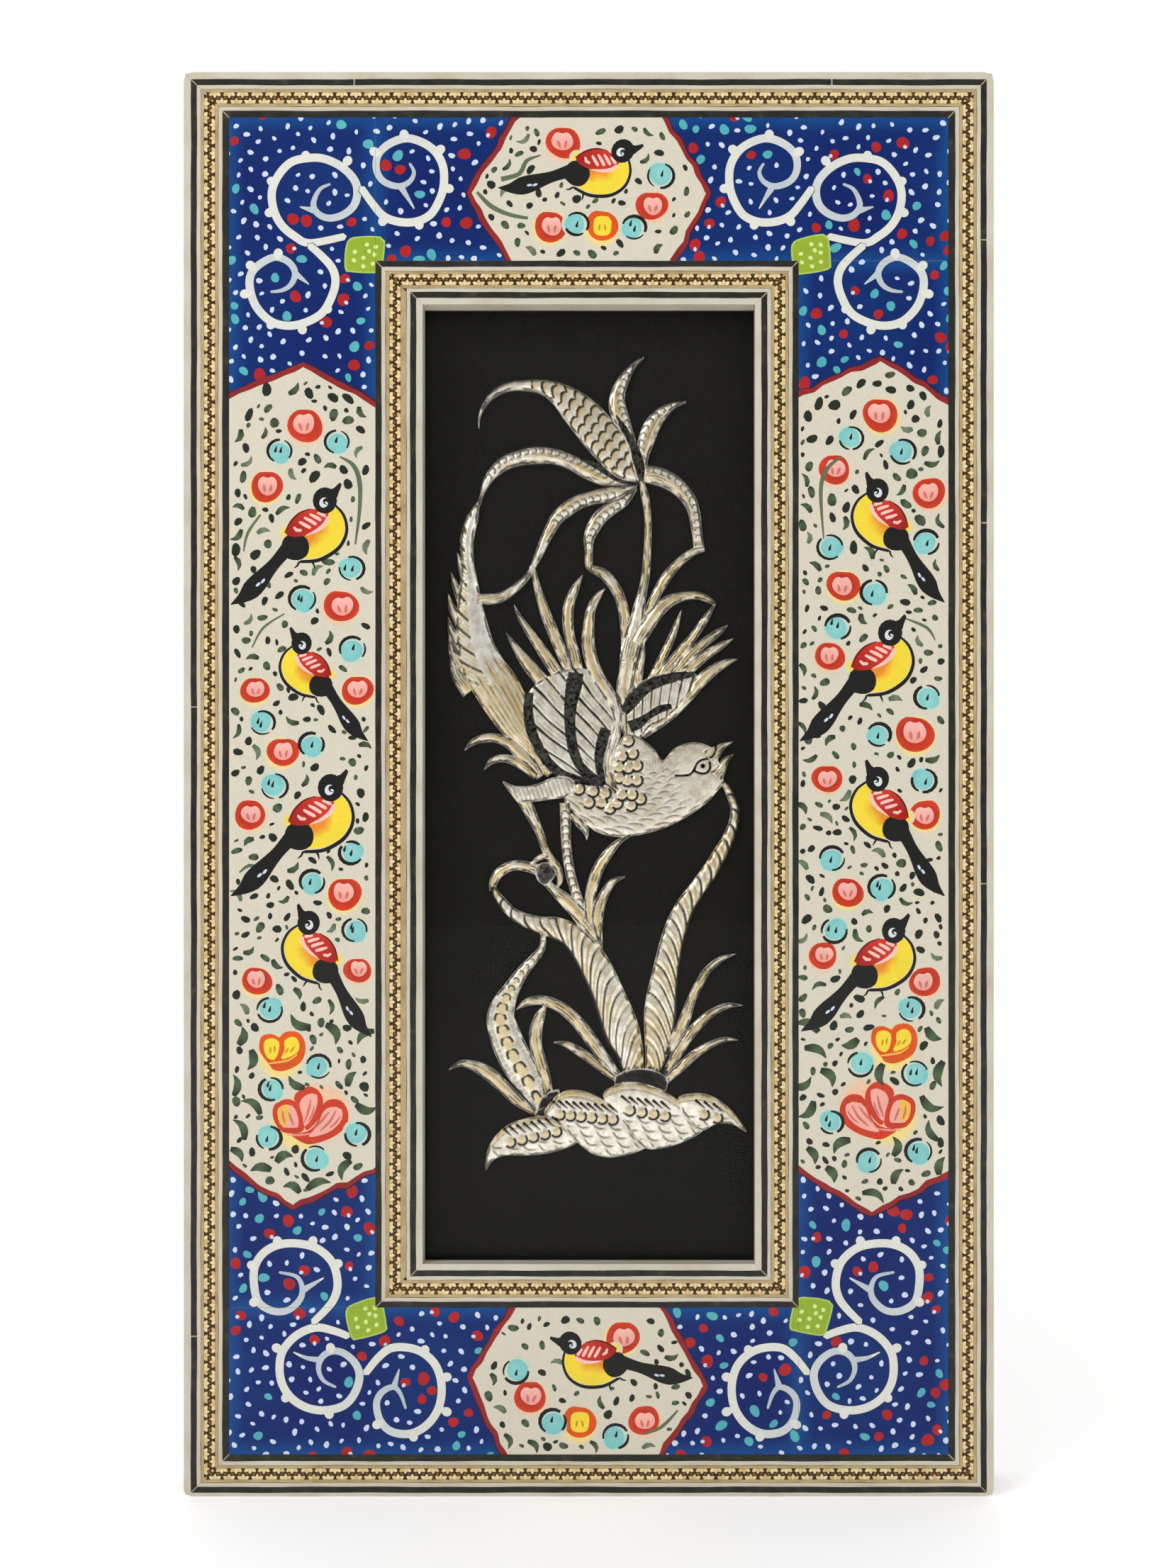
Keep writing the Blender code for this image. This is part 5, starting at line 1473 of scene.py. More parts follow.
def build_painted_sheets(materials):
    picture = painted_picture()
    for side in SIDES:
        node = f"painted_sheet_{side}"
        low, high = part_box(node)
        reach = HALF_GAP - SEAM / 2
        left, top = to_units(low.x - reach, high.z + reach)
        right, bottom = to_units(high.x + reach, low.z - reach)
        plan, faces, colours, mottles = sheet_plan(picture, np.array((left, top)), np.array((right, bottom)))
        used = np.unique(faces)
        place = np.full(len(plan), -1)
        place[used] = np.arange(len(used))
        faces = place[faces]
        plan = plan[used]
        x = (plan[:, 0] - MIDDLE_COLUMN) * UNIT
        z = CENTRE_Z - (plan[:, 1] - MIDDLE_ROW) * UNIT
        count = len(plan)
        loop = rim_loop(open_edges(faces.tolist()))
        back_y = high.y + REACH_BACK
        points = [(x[i], low.y, z[i]) for i in range(count)] + [(x[i], back_y, z[i]) for i in loop]
        rim = len(loop)
        walls = []
        for step in range(rim):
            following = (step + 1) % rim
            walls.append((loop[following], loop[step], count + step, count + following))
        behind = tuple(range(count, count + rim))
        mesh = bpy.data.meshes.new(f"{node}_painting")
        mesh.from_pydata(points, [], [tuple(face) for face in faces.tolist()] + walls + [behind])
        attribute = mesh.color_attributes.new("paint", "FLOAT_COLOR", "CORNER")
        values = np.ones((len(mesh.loops), 4), np.float32)
        corner_count = len(faces) * 3
        values[:corner_count, :3] = colours.reshape(-1, 3)
        values[:corner_count, 3] = np.repeat(mottles, 3)
        values[corner_count:, :3] = IVORY
        values[corner_count:, 3] = 0.1
        attribute.data.foreach_set("color", values.ravel())
        if mesh.polygons[0].normal.y > 0:
            mesh.flip_normals()
        add_piece(f"{node}_painting", mesh, [materials["paint"]], [node])


# Blades of the relief: (column, row, half width) along each spine, in the order they overlap
PLUME = {
    "plume_tip_1": [(-206, 880, 0.5), (-201, 862, 4.5), (-193, 839, 6.5)],
    "plume_tip_2": [(-215, 852, 0.5), (-209, 834, 5), (-198, 808, 7.5)],
    "plume_tip_3": [(-219, 822, 0.5), (-214, 803, 5), (-202, 780, 8)],
    "plume_tip_4": [(-219, 789, 0.5), (-214, 769, 5.5), (-199, 747, 8.5)],
    "plume_tip_5": [(-218, 764, 0.5), (-212, 738, 6), (-195, 713, 9.5)],
    "plume_tip_6": [(-217, 741, 0.5), (-207, 708, 8), (-189, 684, 12)],
    "plume": [(-176, 952, 1.5), (-185, 929, 8), (-193, 898, 9.5), (-192, 867, 9), (-190, 839, 12.5),
              (-189, 808, 17.5), (-186, 780, 22), (-180, 747, 26), (-168, 716, 30), (-151, 690, 32),
              (-134, 661, 30), (-117, 632, 24), (-100, 610, 16), (-87, 588, 13), (-73, 568, 8)],
    "curl_upper": [(-196, 601, 0.5), (-185, 612, 4), (-169, 618, 6), (-150, 618, 6.5), (-132, 610, 7.5),
                   (-115, 594, 9), (-100, 579, 9), (-89, 563, 6)],
    "curl_lower": [(-168, 574, 0.5), (-159, 585, 4), (-144, 590, 5.5), (-128, 587, 6.5), (-111, 578, 7),
                   (-95, 564, 5)],
}
FLOWER = {
    "sepal": [(13, 1074, 1.5), (30, 1043, 6), (44, 1011, 8), (51, 980, 4)],
    "upright_petal": [(58, 1157, 0.5), (44, 1146, 3), (30, 1126, 7.5), (22, 1108, 10), (20, 1089, 12),
                      (26, 1070, 11.5), (35, 1051, 8), (43, 1033, 5), (50, 1009, 2.5), (53, 980, 2.5)],
    "second_petal": [(118, 1094, 0.5), (100, 1089, 4), (83, 1077, 8.5), (69, 1059, 11.5), (61, 1038, 11.5),
                     (57, 1019, 8.5), (56, 998, 5.5), (53, 979, 3)],
    "left_leaf": [(48, 979, 1), (22, 980, 4.5), (1, 986, 10), (-22, 997, 11.5), (-46, 1009, 10),
                  (-70, 1017, 10.5), (-97, 1018, 11.5), (-121, 1014, 10), (-141, 1006, 9), (-157, 992, 7),
                  (-166, 978, 5), (-172, 962, 2.5), (-176, 948, 2.5)],
    "leaf_three": [(48, 975, 1), (22, 966, 8), (2, 962, 10), (-16, 958, 9), (-35, 952, 9.5), (-51, 942, 10),
                   (-65, 930, 9), (-74, 915, 8), (-82, 899, 7), (-89, 883, 6), (-98, 863, 4), (-108, 846, 4),
                   (-125, 830, 5.5), (-144, 818, 6.5), (-162, 815, 7.5), (-178, 816, 6.5)],
    "leaf_four_top": [(48, 971, 1), (30, 954, 7), (13, 944, 9), (-3, 932, 10), (-14, 916, 9.5),
                      (-20, 899, 7.5), (-20, 879, 5.5), (-20, 863, 5.5), (-17, 855, 2)],
    "leaf_four_low": [(-16, 858, 5), (3, 849, 7.5), (19, 828, 7.5), (27, 808, 7.5), (31, 786, 7.5),
                      (32, 758, 6.5), (30, 727, 5.5)],
    "arch_top": [(59, 992, 11.5), (77, 989, 12.5), (96, 981, 12), (112, 968, 10.5), (124, 952, 9.5),
                 (130, 934, 8.5), (133, 912, 7.5), (136, 888, 7.5)],
    "arch_low": [(144, 886, 3.5), (128, 882, 5), (107, 866, 6), (91, 848, 7), (80, 830, 7), (70, 811, 6.5),
                 (61, 792, 5)],
    "stem": [(54, 984, 3), (59, 963, 5.5), (63, 939, 5), (64, 912, 5), (63, 884, 5.5), (61, 853, 6),
             (56, 825, 6.5), (51, 803, 8.5), (47, 780, 10.5), (42, 758, 12.5), (37, 736, 12.5),
             (34, 713, 11), (30, 685, 11), (38, 660, 7)],
    "great_petal": [(48, 982, 2), (29, 1000, 16), (11, 1028, 25), (-12, 1057, 26.5), (-37, 1084, 23.5),
                    (-61, 1104, 16.5), (-86, 1115, 10), (-113, 1117, 7), (-137, 1114, 5.5), (-157, 1103, 4),
                    (-169, 1088, 2.5), (-175, 1073, 1.5), (-176, 1057, 0.5)],
}
FEATHERS = {
    "right_feather_0": [(58, 754, 1), (56, 736, 4), (52, 716, 5.5), (48, 685, 6.5)],
    "right_feather_1": [(111, 799, 0.5), (103, 775, 4.5), (93, 751, 5.5), (83, 730, 6), (68, 698, 6.5)],
    "lower_leaf_back": [(159, 808, 1), (145, 787, 5), (128, 762, 6), (111, 741, 7.5), (94, 721, 7.5),
                        (72, 696, 6.5)],
    "lower_leaf": [(47, 751, 9.5), (62, 776, 10), (77, 797, 9.5), (94, 812, 8.5), (114, 819, 6),
                   (134, 820, 5), (148, 815, 4.5), (159, 808, 2)],
    "right_feather_2": [(177, 778, 0.5), (162, 767, 5), (142, 752, 6.5), (122, 734, 7.5), (98, 704, 7.5)],
    "right_feather_3": [(185, 759, 0.5), (167, 749, 5), (148, 737, 6.5), (128, 721, 7.5), (104, 698, 7.5)],
    "right_feather_4": [(191, 730, 0.5), (173, 724, 5.5), (153, 712, 8), (134, 695, 9), (119, 678, 9.5),
                        (97, 655, 9), (75, 637, 7.5), (56, 622, 5)],
    "left_feather_1": [(-137, 767, 0.5), (-122, 744, 5.5), (-105, 721, 9), (-85, 698, 10), (-63, 677, 9.5)],
    "left_feather_2": [(-126, 807, 0.5), (-116, 786, 4), (-99, 761, 6.5), (-82, 736, 8), (-66, 712, 8.5),
                       (-49, 688, 8)],
    "fork_feather": [(-100, 862, 3), (-92, 828, 5.5), (-81, 794, 7.5), (-69, 764, 8), (-57, 736, 8),
                     (-46, 705, 5)],
    "left_feather_3": [(-29, 849, 0.5), (-39, 831, 5.5), (-48, 808, 7.5), (-50, 786, 8), (-47, 761, 7.5),
                       (-40, 736, 7.5), (-32, 705, 6)],
}
WING_EDGE = {
    "front_feather": [(3, 830, 0.5), (-8, 818, 5), (-17, 800, 6.5), (-20, 778, 8), (-21, 752, 9.5),
                      (-17, 730, 9.5), (-8, 707, 9.5), (6, 684, 9.5), (16, 667, 8), (21, 645, 6.5),
                      (18, 620, 6.5), (10, 596, 6.5), (7, 574, 5.5), (13, 555, 4), (23, 544, 1)],
}
# Dark shades on the petals beside the great one
PETAL_SHADES = [
    [(-33, 1013, 0.5), (-5, 1002, 5), (23, 987, 6.5), (50, 978, 3)],
    [(19, 1074, 0.5), (31, 1053, 4.5), (43, 1028, 6.5), (52, 1003, 6.5), (54, 982, 3)],
]
WING_BANDS = {
    "band_1": [(-104, 682, 5.5), (-106, 659, 6.5), (-102, 631, 7), (-92, 607, 6.5), (-78, 585, 6.5),
               (-59, 568, 6), (-34, 559, 5), (-7, 551, 3)],
    "band_2": [(-38, 710, 10), (-41, 692, 11), (-45, 670, 9), (-47, 645, 7.5), (-45, 620, 7), (-41, 599, 7),
               (-32, 579, 6), (-15, 563, 5), (1, 551, 3)],
    "band_3": [(4, 631, 7), (0, 618, 7.5), (-4, 596, 7.5), (-4, 574, 5.5), (1, 552, 3)],
    "band_4": [(30, 655, 6), (42, 671, 8.5), (59, 688, 8), (78, 698, 7.5), (104, 705, 6), (130, 709, 3)],
    "band_5": [(38, 634, 8), (52, 640, 7), (64, 649, 4.5), (81, 659, 5), (97, 663, 3)],
}
BEAKS = {
    "upper_beak": [(184, 613, 0.5), (170, 607, 4.5), (159, 598, 9), (149, 590, 11)],
    "lower_beak": [(185, 595, 0.5), (174, 587, 5), (168, 575, 7), (160, 563, 11)],
}
LEGS = {
    "leg_back": [(-54, 527, 7.5), (-53, 497, 7.5), (-52, 467, 7), (-48, 435, 7), (-43, 414, 7),
                 (-37, 395, 7), (-28, 373, 7), (-18, 354, 5.5)],
    "belly_hook": [(-45, 511, 4), (-32, 497, 6.5), (-24, 486, 4.5), (-23, 474, 0.5)],
    "curl_top": [(-92, 432, 8), (-109, 437, 7.5), (-128, 438, 7), (-146, 429, 7), (-155, 416, 6),
                 (-157, 402, 4)],
    "disc_twig": [(-92, 428, 5), (-73, 407, 6), (-54, 390, 9.5), (-34, 370, 10.5), (-18, 351, 10),
                  (-6, 332, 5), (-2, 320, 1)],
}
FRONT_LEG = {
    "leg_front": [(-114, 535, 10.5), (-102, 511, 8), (-90, 485, 6), (-82, 461, 5.5), (-72, 445, 5.5),
                  (-63, 433, 5), (-61, 416, 4), (-65, 407, 1.5)],
    "claw": [(-102, 440, 1), (-92, 448, 4), (-78, 454, 5)],
}
SMALL_LEAVES = {
    "small_leaf_a": [(40, 481, 1.5), (23, 472, 4), (7, 455, 7), (-7, 433, 8), (-15, 409, 8), (-19, 384, 7.5),
                     (-17, 359, 7)],
    "small_leaf_b": [(31, 422, 1), (15, 416, 4.5), (3, 400, 6.5), (-5, 381, 8), (-8, 362, 8), (-6, 340, 4.5),
                     (-2, 322, 1)],
}
GREAT_LEAVES = {
    "great_left_leaf": [(-156, 408, 2.5), (-146, 390, 6.5), (-130, 372, 8), (-111, 361, 10), (-87, 353, 13),
                        (-65, 349, 16), (-45, 339, 17), (-29, 322, 19), (-15, 302, 21.5), (-2, 277, 22.5),
                        (9, 252, 23), (18, 228, 25), (28, 200, 25), (38, 174, 19.5), (44, 142, 14)],
    "great_right_leaf": [(170, 557, 3.5), (179, 541, 5.5), (187, 519, 6.5), (185, 497, 7.5), (177, 475, 9),
                         (166, 455, 10.5), (152, 431, 11.5), (135, 407, 12), (119, 384, 13.5),
                         (107, 359, 15.5), (98, 332, 16.5), (92, 304, 18), (87, 277, 19.5), (83, 250, 22),
                         (81, 225, 23), (79, 200, 20.5), (76, 172, 16.5), (70, 143, 10.5)],
}
TUFTS = {
    "right_tuft_1": [(188, 313, 0.5), (168, 306, 4), (149, 291, 5.5), (136, 270, 6), (125, 247, 6.5),
                     (116, 221, 8), (103, 192, 7), (92, 170, 4)],
    "right_tuft_2": [(199, 240, 0.5), (178, 240, 4), (155, 230, 5.5), (135, 213, 7), (117, 191, 7.5),
                     (103, 168, 7), (87, 143, 4.5)],
    "right_tuft_3": [(192, 191, 0.5), (172, 192, 3.5), (149, 183, 5), (129, 170, 6.5), (109, 152, 6.5),
                     (84, 129, 5)],
    "left_tuft_1": [(-123, 234, 0.5), (-107, 245, 5.5), (-84, 247, 7), (-61, 238, 8), (-41, 222, 8.5),
                    (-23, 200, 9), (-5, 175, 8), (11, 154, 6.5), (25, 137, 4)],
    "left_tuft_2": [(-70, 188, 0.5), (-52, 185, 4.5), (-32, 174, 6.5), (-12, 160, 6.5), (8, 144, 5),
                    (27, 131, 3.5)],
    "thin_leaf": [(-81, 241, 1.5), (-89, 226, 7), (-95, 205, 9), (-95, 184, 8.5), (-89, 161, 8.5),
                  (-82, 139, 7.5), (-74, 112, 4.5)],
    "left_small_leaf": [(-219, 149, 0.5), (-201, 158, 4.5), (-181, 154, 7.5), (-161, 143, 9.5),
                        (-141, 125, 9), (-121, 106, 8), (-92, 85, 3)],
    "bead_leaf": [(-84, 344, 3.5), (-87, 321, 5), (-100, 304, 7), (-116, 285, 9), (-130, 263, 12),
                  (-141, 241, 17), (-145, 221, 20), (-139, 199, 22), (-129, 174, 23), (-114, 147, 22),
                  (-99, 122, 17), (-86, 95, 8.5)],
}

# Broad pads of the relief: (column, row) round each outline
BODY = {
    "body": [(85, 587), (100, 603), (123, 612), (144, 610), (159, 600), (165, 582), (171, 557), (164, 545),
             (144, 524), (114, 504), (81, 489), (45, 480), (15, 479), (-10, 486), (-32, 504), (-54, 528),
             (-48, 546), (-24, 560), (9, 585), (26, 618), (38, 624), (57, 616), (74, 601)],
}
RIGHT_WING = {
    "right_wing": [(26, 648), (37, 684), (64, 703), (100, 710), (132, 709), (119, 678), (92, 648), (67, 634),
                   (53, 619), (31, 622)],
}
LEFT_WING = {
    "left_wing": [(-104, 685), (-88, 700), (-56, 714), (-18, 714), (9, 678), (23, 645), (20, 610), (9, 579),
                  (22, 544), (-7, 548), (-43, 557), (-73, 574), (-95, 601), (-109, 634), (-113, 664)],
}
FORK_HUB = {
    "fork_hub": [(-56, 390), (-34, 388), (-6, 365), (-2, 322), (-21, 337), (-40, 359)],
}
DISC = {
    "disc": [(-66, 428), (-73, 416), (-82, 410), (-92, 416), (-96, 428), (-92, 439), (-82, 443), (-71, 439)],
}
THIGH = {
    "thigh": [(-142, 557), (-125, 551), (-106, 551), (-89, 555), (-70, 563), (-48, 562), (-37, 546),
              (-54, 535), (-78, 531), (-100, 528), (-120, 528), (-132, 541)],
}
GROUND = {
    "neck": [(17, 138), (30, 147), (57, 151), (77, 146), (91, 137), (88, 119), (69, 124), (43, 127),
             (20, 123)],
    "tuft_base": [(-95, 81), (-92, 99), (-78, 116), (-62, 121), (-65, 106), (-81, 84)],
    "ground_1": [(-166, 7), (-165, 30), (-157, 50), (-138, 69), (-115, 79), (-86, 83), (-58, 76), (-35, 59),
                 (-38, 45), (-69, 33), (-104, 28), (-138, 28), (-157, 20)],
    "ground_2": [(-82, 86), (-72, 105), (-55, 119), (-32, 120), (-9, 112), (17, 96), (57, 65), (63, 42),
                 (40, 30), (5, 25), (-18, 32), (-38, 48), (-58, 71)],
    "ground_3": [(0, 111), (17, 127), (43, 131), (71, 125), (100, 111), (129, 85), (143, 65), (114, 47),
                 (83, 38), (57, 40), (28, 76)],
    "ground_4": [(106, 108), (129, 116), (152, 113), (175, 99), (192, 81), (204, 61), (183, 72), (160, 72),
                 (140, 63), (123, 76)],
}

# Round beads chased on the wing root, and rows of them on the ground leaves: first, last, count
ROOT_BEADS = [
    (36, 614), (42, 596), (27, 592), (23, 577), (36, 576), (48, 579), (23, 562), (35, 558), (48, 558),
    (-34, 546), (-14, 543), (3, 540), (-20, 527), (-2, 527), (10, 519), (20, 526), (27, 538), (40, 523),
    (53, 532), (41, 538),
]
BEAD_ROWS = [
    ((-131, 47), (-66, 62), 5),
    ((-61, 86), (14, 79), 6),
    ((38, 92), (88, 84), 4),
    ((143, 86), (162, 81), 2),
]


# How the blades are engraved: beads along one edge, along the middle, hatching, barbs or scales
BEADED = {
    "upright_petal": ("beads", 1, 0.10, 0.75), "second_petal": ("beads", -1, 0.10, 0.8),
    "left_leaf": ("beads", -1, 0.10, 0.85), "leaf_three": ("beads", 1, 0.1, 0.45),
    "leaf_four_top": ("beads", 1, 0.1, 0.8), "arch_top": ("beads", 1, 0.05, 0.95),
    "leg_back": ("beads", 0, 0.05, 0.9),
}
BEAD_STEP = 10.6
EDGE_BEAD = 4.6
GROOVE_PITCH = 4.6
HATCH_PITCH = 23.0
BODY_PITCH = 7.6
GOLD_RIM = 9.5
FINE_STEP = 2.2
FIELD_STEP = 1.5
BEAD_LIFT = 0.00012
CUT = 0.00014
RELIEF_EDGE = 0.0007
RELIEF_RISE = 0.0009
PAD_RISE = 0.0005
BEAD_RISE = 0.0004
WIDE_BLADE = 10.0
PAD_DOME = 22.0
BAND_DEPTH = 0.00025
LEFT_COLUMN, RIGHT_COLUMN = -219, 204
LOW_ROW, HIGH_ROW = 7, 1158


def line_mark(phase, width):
    """A narrow cut at each whole number of the phase: 1 in its middle and 0 beside it."""
    away = np.abs(phase - np.round(phase))
    return np.clip((1 - away / width) * 1.6, 0, 1)


def rough(points, size):
    """Smooth random values from 0 to 1 over the plane, in patches of about that size."""
    cell = np.floor(points / size)
    part = points / size - cell
    ease = part * part * (3 - 2 * part)

    def corner(right, up):
        seed = (cell[:, 0] + right) * 12.9898 + (cell[:, 1] + up) * 78.233
        return np.abs(np.sin(seed) * 43758.5453) % 1

    low = corner(0, 0) * (1 - ease[:, 0]) + corner(1, 0) * ease[:, 0]
    high = corner(0, 1) * (1 - ease[:, 0]) + corner(1, 1) * ease[:, 0]
    return low * (1 - ease[:, 1]) + high * ease[:, 1]


def edge_cut(points, depth):
    """The broken dark line just inside an edge, at places so deep within it."""
    line = np.clip((1 - np.abs(depth - 0.8 - 2.0 * rough(points, 5.0)) / 1.9) * 1.6, 0, 1)
    return line * np.clip(rough(points + 900, 9.0) * 3.0 - 0.6, 0, 1)


def scales_over(along, across, pitch, spread, radius):
    """Round scales in rows: the dark crescent at each far rim, and how far up its scale each place lies."""
    crescent = np.zeros(len(along))
    rise = np.zeros(len(along))
    row = np.floor(along / pitch)
    sideways = (across - np.round(across / spread) * spread) / radius
    for shift in (1, 0, -1):
        lengthways = (along - (row + shift) * pitch) / radius
        covers = np.hypot(lengthways, sideways) < 1
        inner = np.hypot(lengthways + 0.50, sideways)
        crescent = np.where(covers, np.clip((inner - 0.94) / 0.10, 0, 1) * (lengthways > 0), crescent)
        rise = np.where(covers, np.clip(0.5 + 0.5 * lengthways, 0, 1), rise)
    return crescent, rise


class Blade:
    """A leaf, feather or stem: a spine with a width, raised along its middle and engraved."""

    def __init__(self, rows, style="leaf"):
        self.spine = smooth_run(rows, FINE_STEP * 1.6)
        self.style, self.side, self.first, self.last = style if isinstance(style, tuple) else (style, 0, 0, 1)
        along = unit_steps(self.spine[:, :2])
        width = np.maximum(self.spine[:, 2:], 0.3)
        across = np.stack([-along[:, 1], along[:, 0]], axis=1) * width
        middle = self.spine[:, :2]
        self.arc = distances_along(middle)
        self.outline = np.concatenate([middle + across, (middle - across)[::-1]])

    def local(self, points):
        """Distance along, signed distance across (left of the spine is above 0), and half width."""
        gap, place = distance_to_path(points, self.spine)
        stations = np.arange(len(self.spine))
        width = np.interp(place, stations, self.spine[:, 2])
        nearest = np.stack([np.interp(place, stations, self.spine[:, axis]) for axis in range(2)], axis=1)
        index = np.clip(place.astype(int), 0, len(self.spine) - 2)
        along = self.spine[index + 1, :2] - self.spine[index, :2]
        away = points - nearest
        left = np.sign(along[:, 0] * away[:, 1] - along[:, 1] * away[:, 0])
        return np.interp(place, stations, self.arc), left * gap, np.maximum(width, 0.3)

    def surface(self, points):
        """Height, patina and warmth at points within the blade."""
        along, across, width = self.local(points)
        share = np.clip(np.abs(across) / width, 0, 1)
        fullness = np.sqrt(np.clip(width / WIDE_BLADE, 0, 1))
        height = RELIEF_EDGE + RELIEF_RISE * fullness * (1 - share ** 2)
        cut = edge_cut(points, width - np.abs(across)) * 0.9
        height -= CUT * cut
        warm = np.clip(1.35 - share * 1.5, 0, 1) * 0.9
        engrave = getattr(self, self.style)
        rise, more, warm = engrave(points, along, across, width, share, warm)
        return height + rise - CUT * more, np.maximum(cut, more * 0.92), warm

    def leaf(self, points, along, across, width, share, warm):
        """A few thin broken grooves along the blade, gold between them."""
        lanes = np.clip(np.round(width / GROOVE_PITCH * 1.3), 1, 7)
        groove = line_mark(across / width * lanes / 1.15 + 0.5, 0.3) * (share < 0.8)
        groove *= np.clip(rough(points, 12.0) * 3 - 1.1, 0, 1)
        stripe = rough(np.stack([across / 2.6, along / 34], axis=1), 1.0)
        return 0, groove * 0.9, warm * np.clip(stripe * 2.2 - 0.1, 0, 1)

    def dark_root(self, points, along, across):
        """The ragged dark end of a blade where it springs from its base."""
        ragged = 13 * rough(np.stack([across / 1.8, along / 50], axis=1), 1.0)
        return np.clip((along - self.arc[-1] + 4 + ragged) / 2.5, 0, 1)

    def tuft(self, points, along, across, width, share, warm):
        rise, groove, warm = self.leaf(points, along, across, width, share, warm)
        return rise, np.maximum(groove, self.dark_root(points, along, across)), warm

    def beads(self, points, along, across, width, share, warm):
        """A row of small round beads along one edge."""
        _, groove, warm = self.leaf(points, along, across, width, share, warm)
        length = self.arc[-1]
        centre = self.side * np.maximum(width - EDGE_BEAD * 1.25, 0)
        step = along / BEAD_STEP
        off = (step - np.floor(step) - 0.5) * BEAD_STEP
        reach = np.hypot(off, across - centre) / EDGE_BEAD
        live = (along > self.first * length) & (along < self.last * length)
        bead = np.sqrt(np.clip(1 - reach ** 2, 0, 1)) * live
        ring = np.clip((1 - np.abs(reach - 0.95) / 0.34) * 2, 0, 1) * live * (off < EDGE_BEAD * 0.3)
        groove = np.maximum(groove * ((reach > 1.3) | ~live), ring * 0.85)
        return BEAD_LIFT * bead, groove, np.where(live & (reach < 1.2), 0.1, warm)

    def hatch(self, points, along, across, width, share, warm):
        """Curved strokes from the dark edge over to the other one, with gold and silver stripes between."""
        lean = self.side * across / width
        lay = 0.45 + 1.25 * along / self.arc[-1]
        phase = (along - width * lay * (lean + 0.45 * lean ** 2)) / HATCH_PITCH
        phase += 0.22 * (rough(points, 30.0) - 0.5)
        stroke = line_mark(phase, 0.065 + 0.06 * np.clip(lean + 1, 0, 2))
        stroke *= np.clip(rough(points + 300, 22.0) * 2 + lean + 0.6, 0.4, 1)
        fine = line_mark(phase * 4 + 0.5, 0.15) * np.clip(rough(points, 10.0) * 2.4 - 0.9, 0, 1)
        edge = np.clip((lean - 0.80) / 0.08, 0, 1)
        edge = np.maximum(edge, self.dark_root(points, along, across))
        stripe = np.clip(np.sin(phase * 4 * math.pi + 1.0) * 0.9 + rough(points, 26.0) * 1.5 - 0.55, 0, 1)
        cut = np.maximum(np.maximum(stroke, fine * 0.6), np.maximum(edge, stripe * 0.2))
        return 0.00010 * np.sin(phase * 2 * math.pi - 1.6), cut, stripe * 0.95

    def scales(self, points, along, across, width, share, warm):
        """Gold scales, each with a dark crescent on its rim towards the tip."""
        crescent, rise = scales_over(along + across * 0.25, across, 15.5, 16.0, 8.6)
        live = (width > 8) & (across < width - 3) & (across > 2 - width)
        gold = np.clip(rise * 1.6 - 0.15, 0, 1) * (0.65 + 0.35 * rough(points, 11.0))
        return BEAD_LIFT * 1.6 * rise * live, crescent * live, np.where(live, gold, 0.1)

    def plume(self, points, along, across, width, share, warm):
        """Slanting feather tips above, and gold rays towards the root."""
        length = self.arc[-1]
        ragged = 0.14 * rough(np.stack([across / 2.4, along / 60], axis=1), 1.0)
        root = np.clip((along / length - 0.52 - ragged) / 0.03, 0, 1)
        rays = line_mark(across / width * 4.6, 0.22) * root * (share < 0.94)
        rays *= np.clip(rough(points, 14.0) * 2.4 - 0.2, 0, 1)
        slant = (along - across * 1.1) / 25.0
        left = (across < -width * 0.15) * (1 - root)
        tips = line_mark(slant, 0.13) * left
        fine = line_mark(slant * 4 + 0.5, 0.26) * left * 0.45
        streak = rough(np.stack([across / 2.2, along / 40], axis=1), 1.0)
        gold = np.maximum(root * (0.35 + 0.65 * streak), left * rough(points, 9.0) * 0.7)
        return 0, np.maximum(np.maximum(rays * 0.75, tips), fine), gold

    def middle_beads(self, points, along, across, width, share, warm):
        """Gold beads down the middle, each under a dark crescent, and small dots at both sides."""
        step = 9.0 + 6.5 * along / self.arc[-1]
        place = along / step
        off = (place - np.floor(place) - 0.5) * step
        radius = np.clip(width * 0.38, 2.0, 7.4)
        reach = np.hypot(off, across) / radius
        bead = np.sqrt(np.clip(1 - reach ** 2, 0, 1))
        ring = np.clip((1 - np.abs(reach - 1.05) / 0.34) * 1.6, 0, 1) * (off < radius * 0.1)
        dots = np.hypot((along / 7 - np.round(along / 7)) * 7, np.abs(across) - width * 0.68) / 2.2
        dot = np.clip((1 - np.abs(dots - 0.9) / 0.6) * 1.4, 0, 1) * (width > 11)
        return BEAD_LIFT * 1.6 * bead, np.maximum(ring, dot * 0.5), np.where(reach < 1.05, 0.72, 0.08)


class Band(Blade):
    """A dark sunk and stippled band."""

    def surface(self, points):
        stipple = rough(points, 2.6)
        height = RELIEF_EDGE + PAD_RISE - BAND_DEPTH * 1.6 + 0.00009 * (stipple - 0.5)
        return height, 0.86 + 0.16 * stipple, np.zeros(len(points))


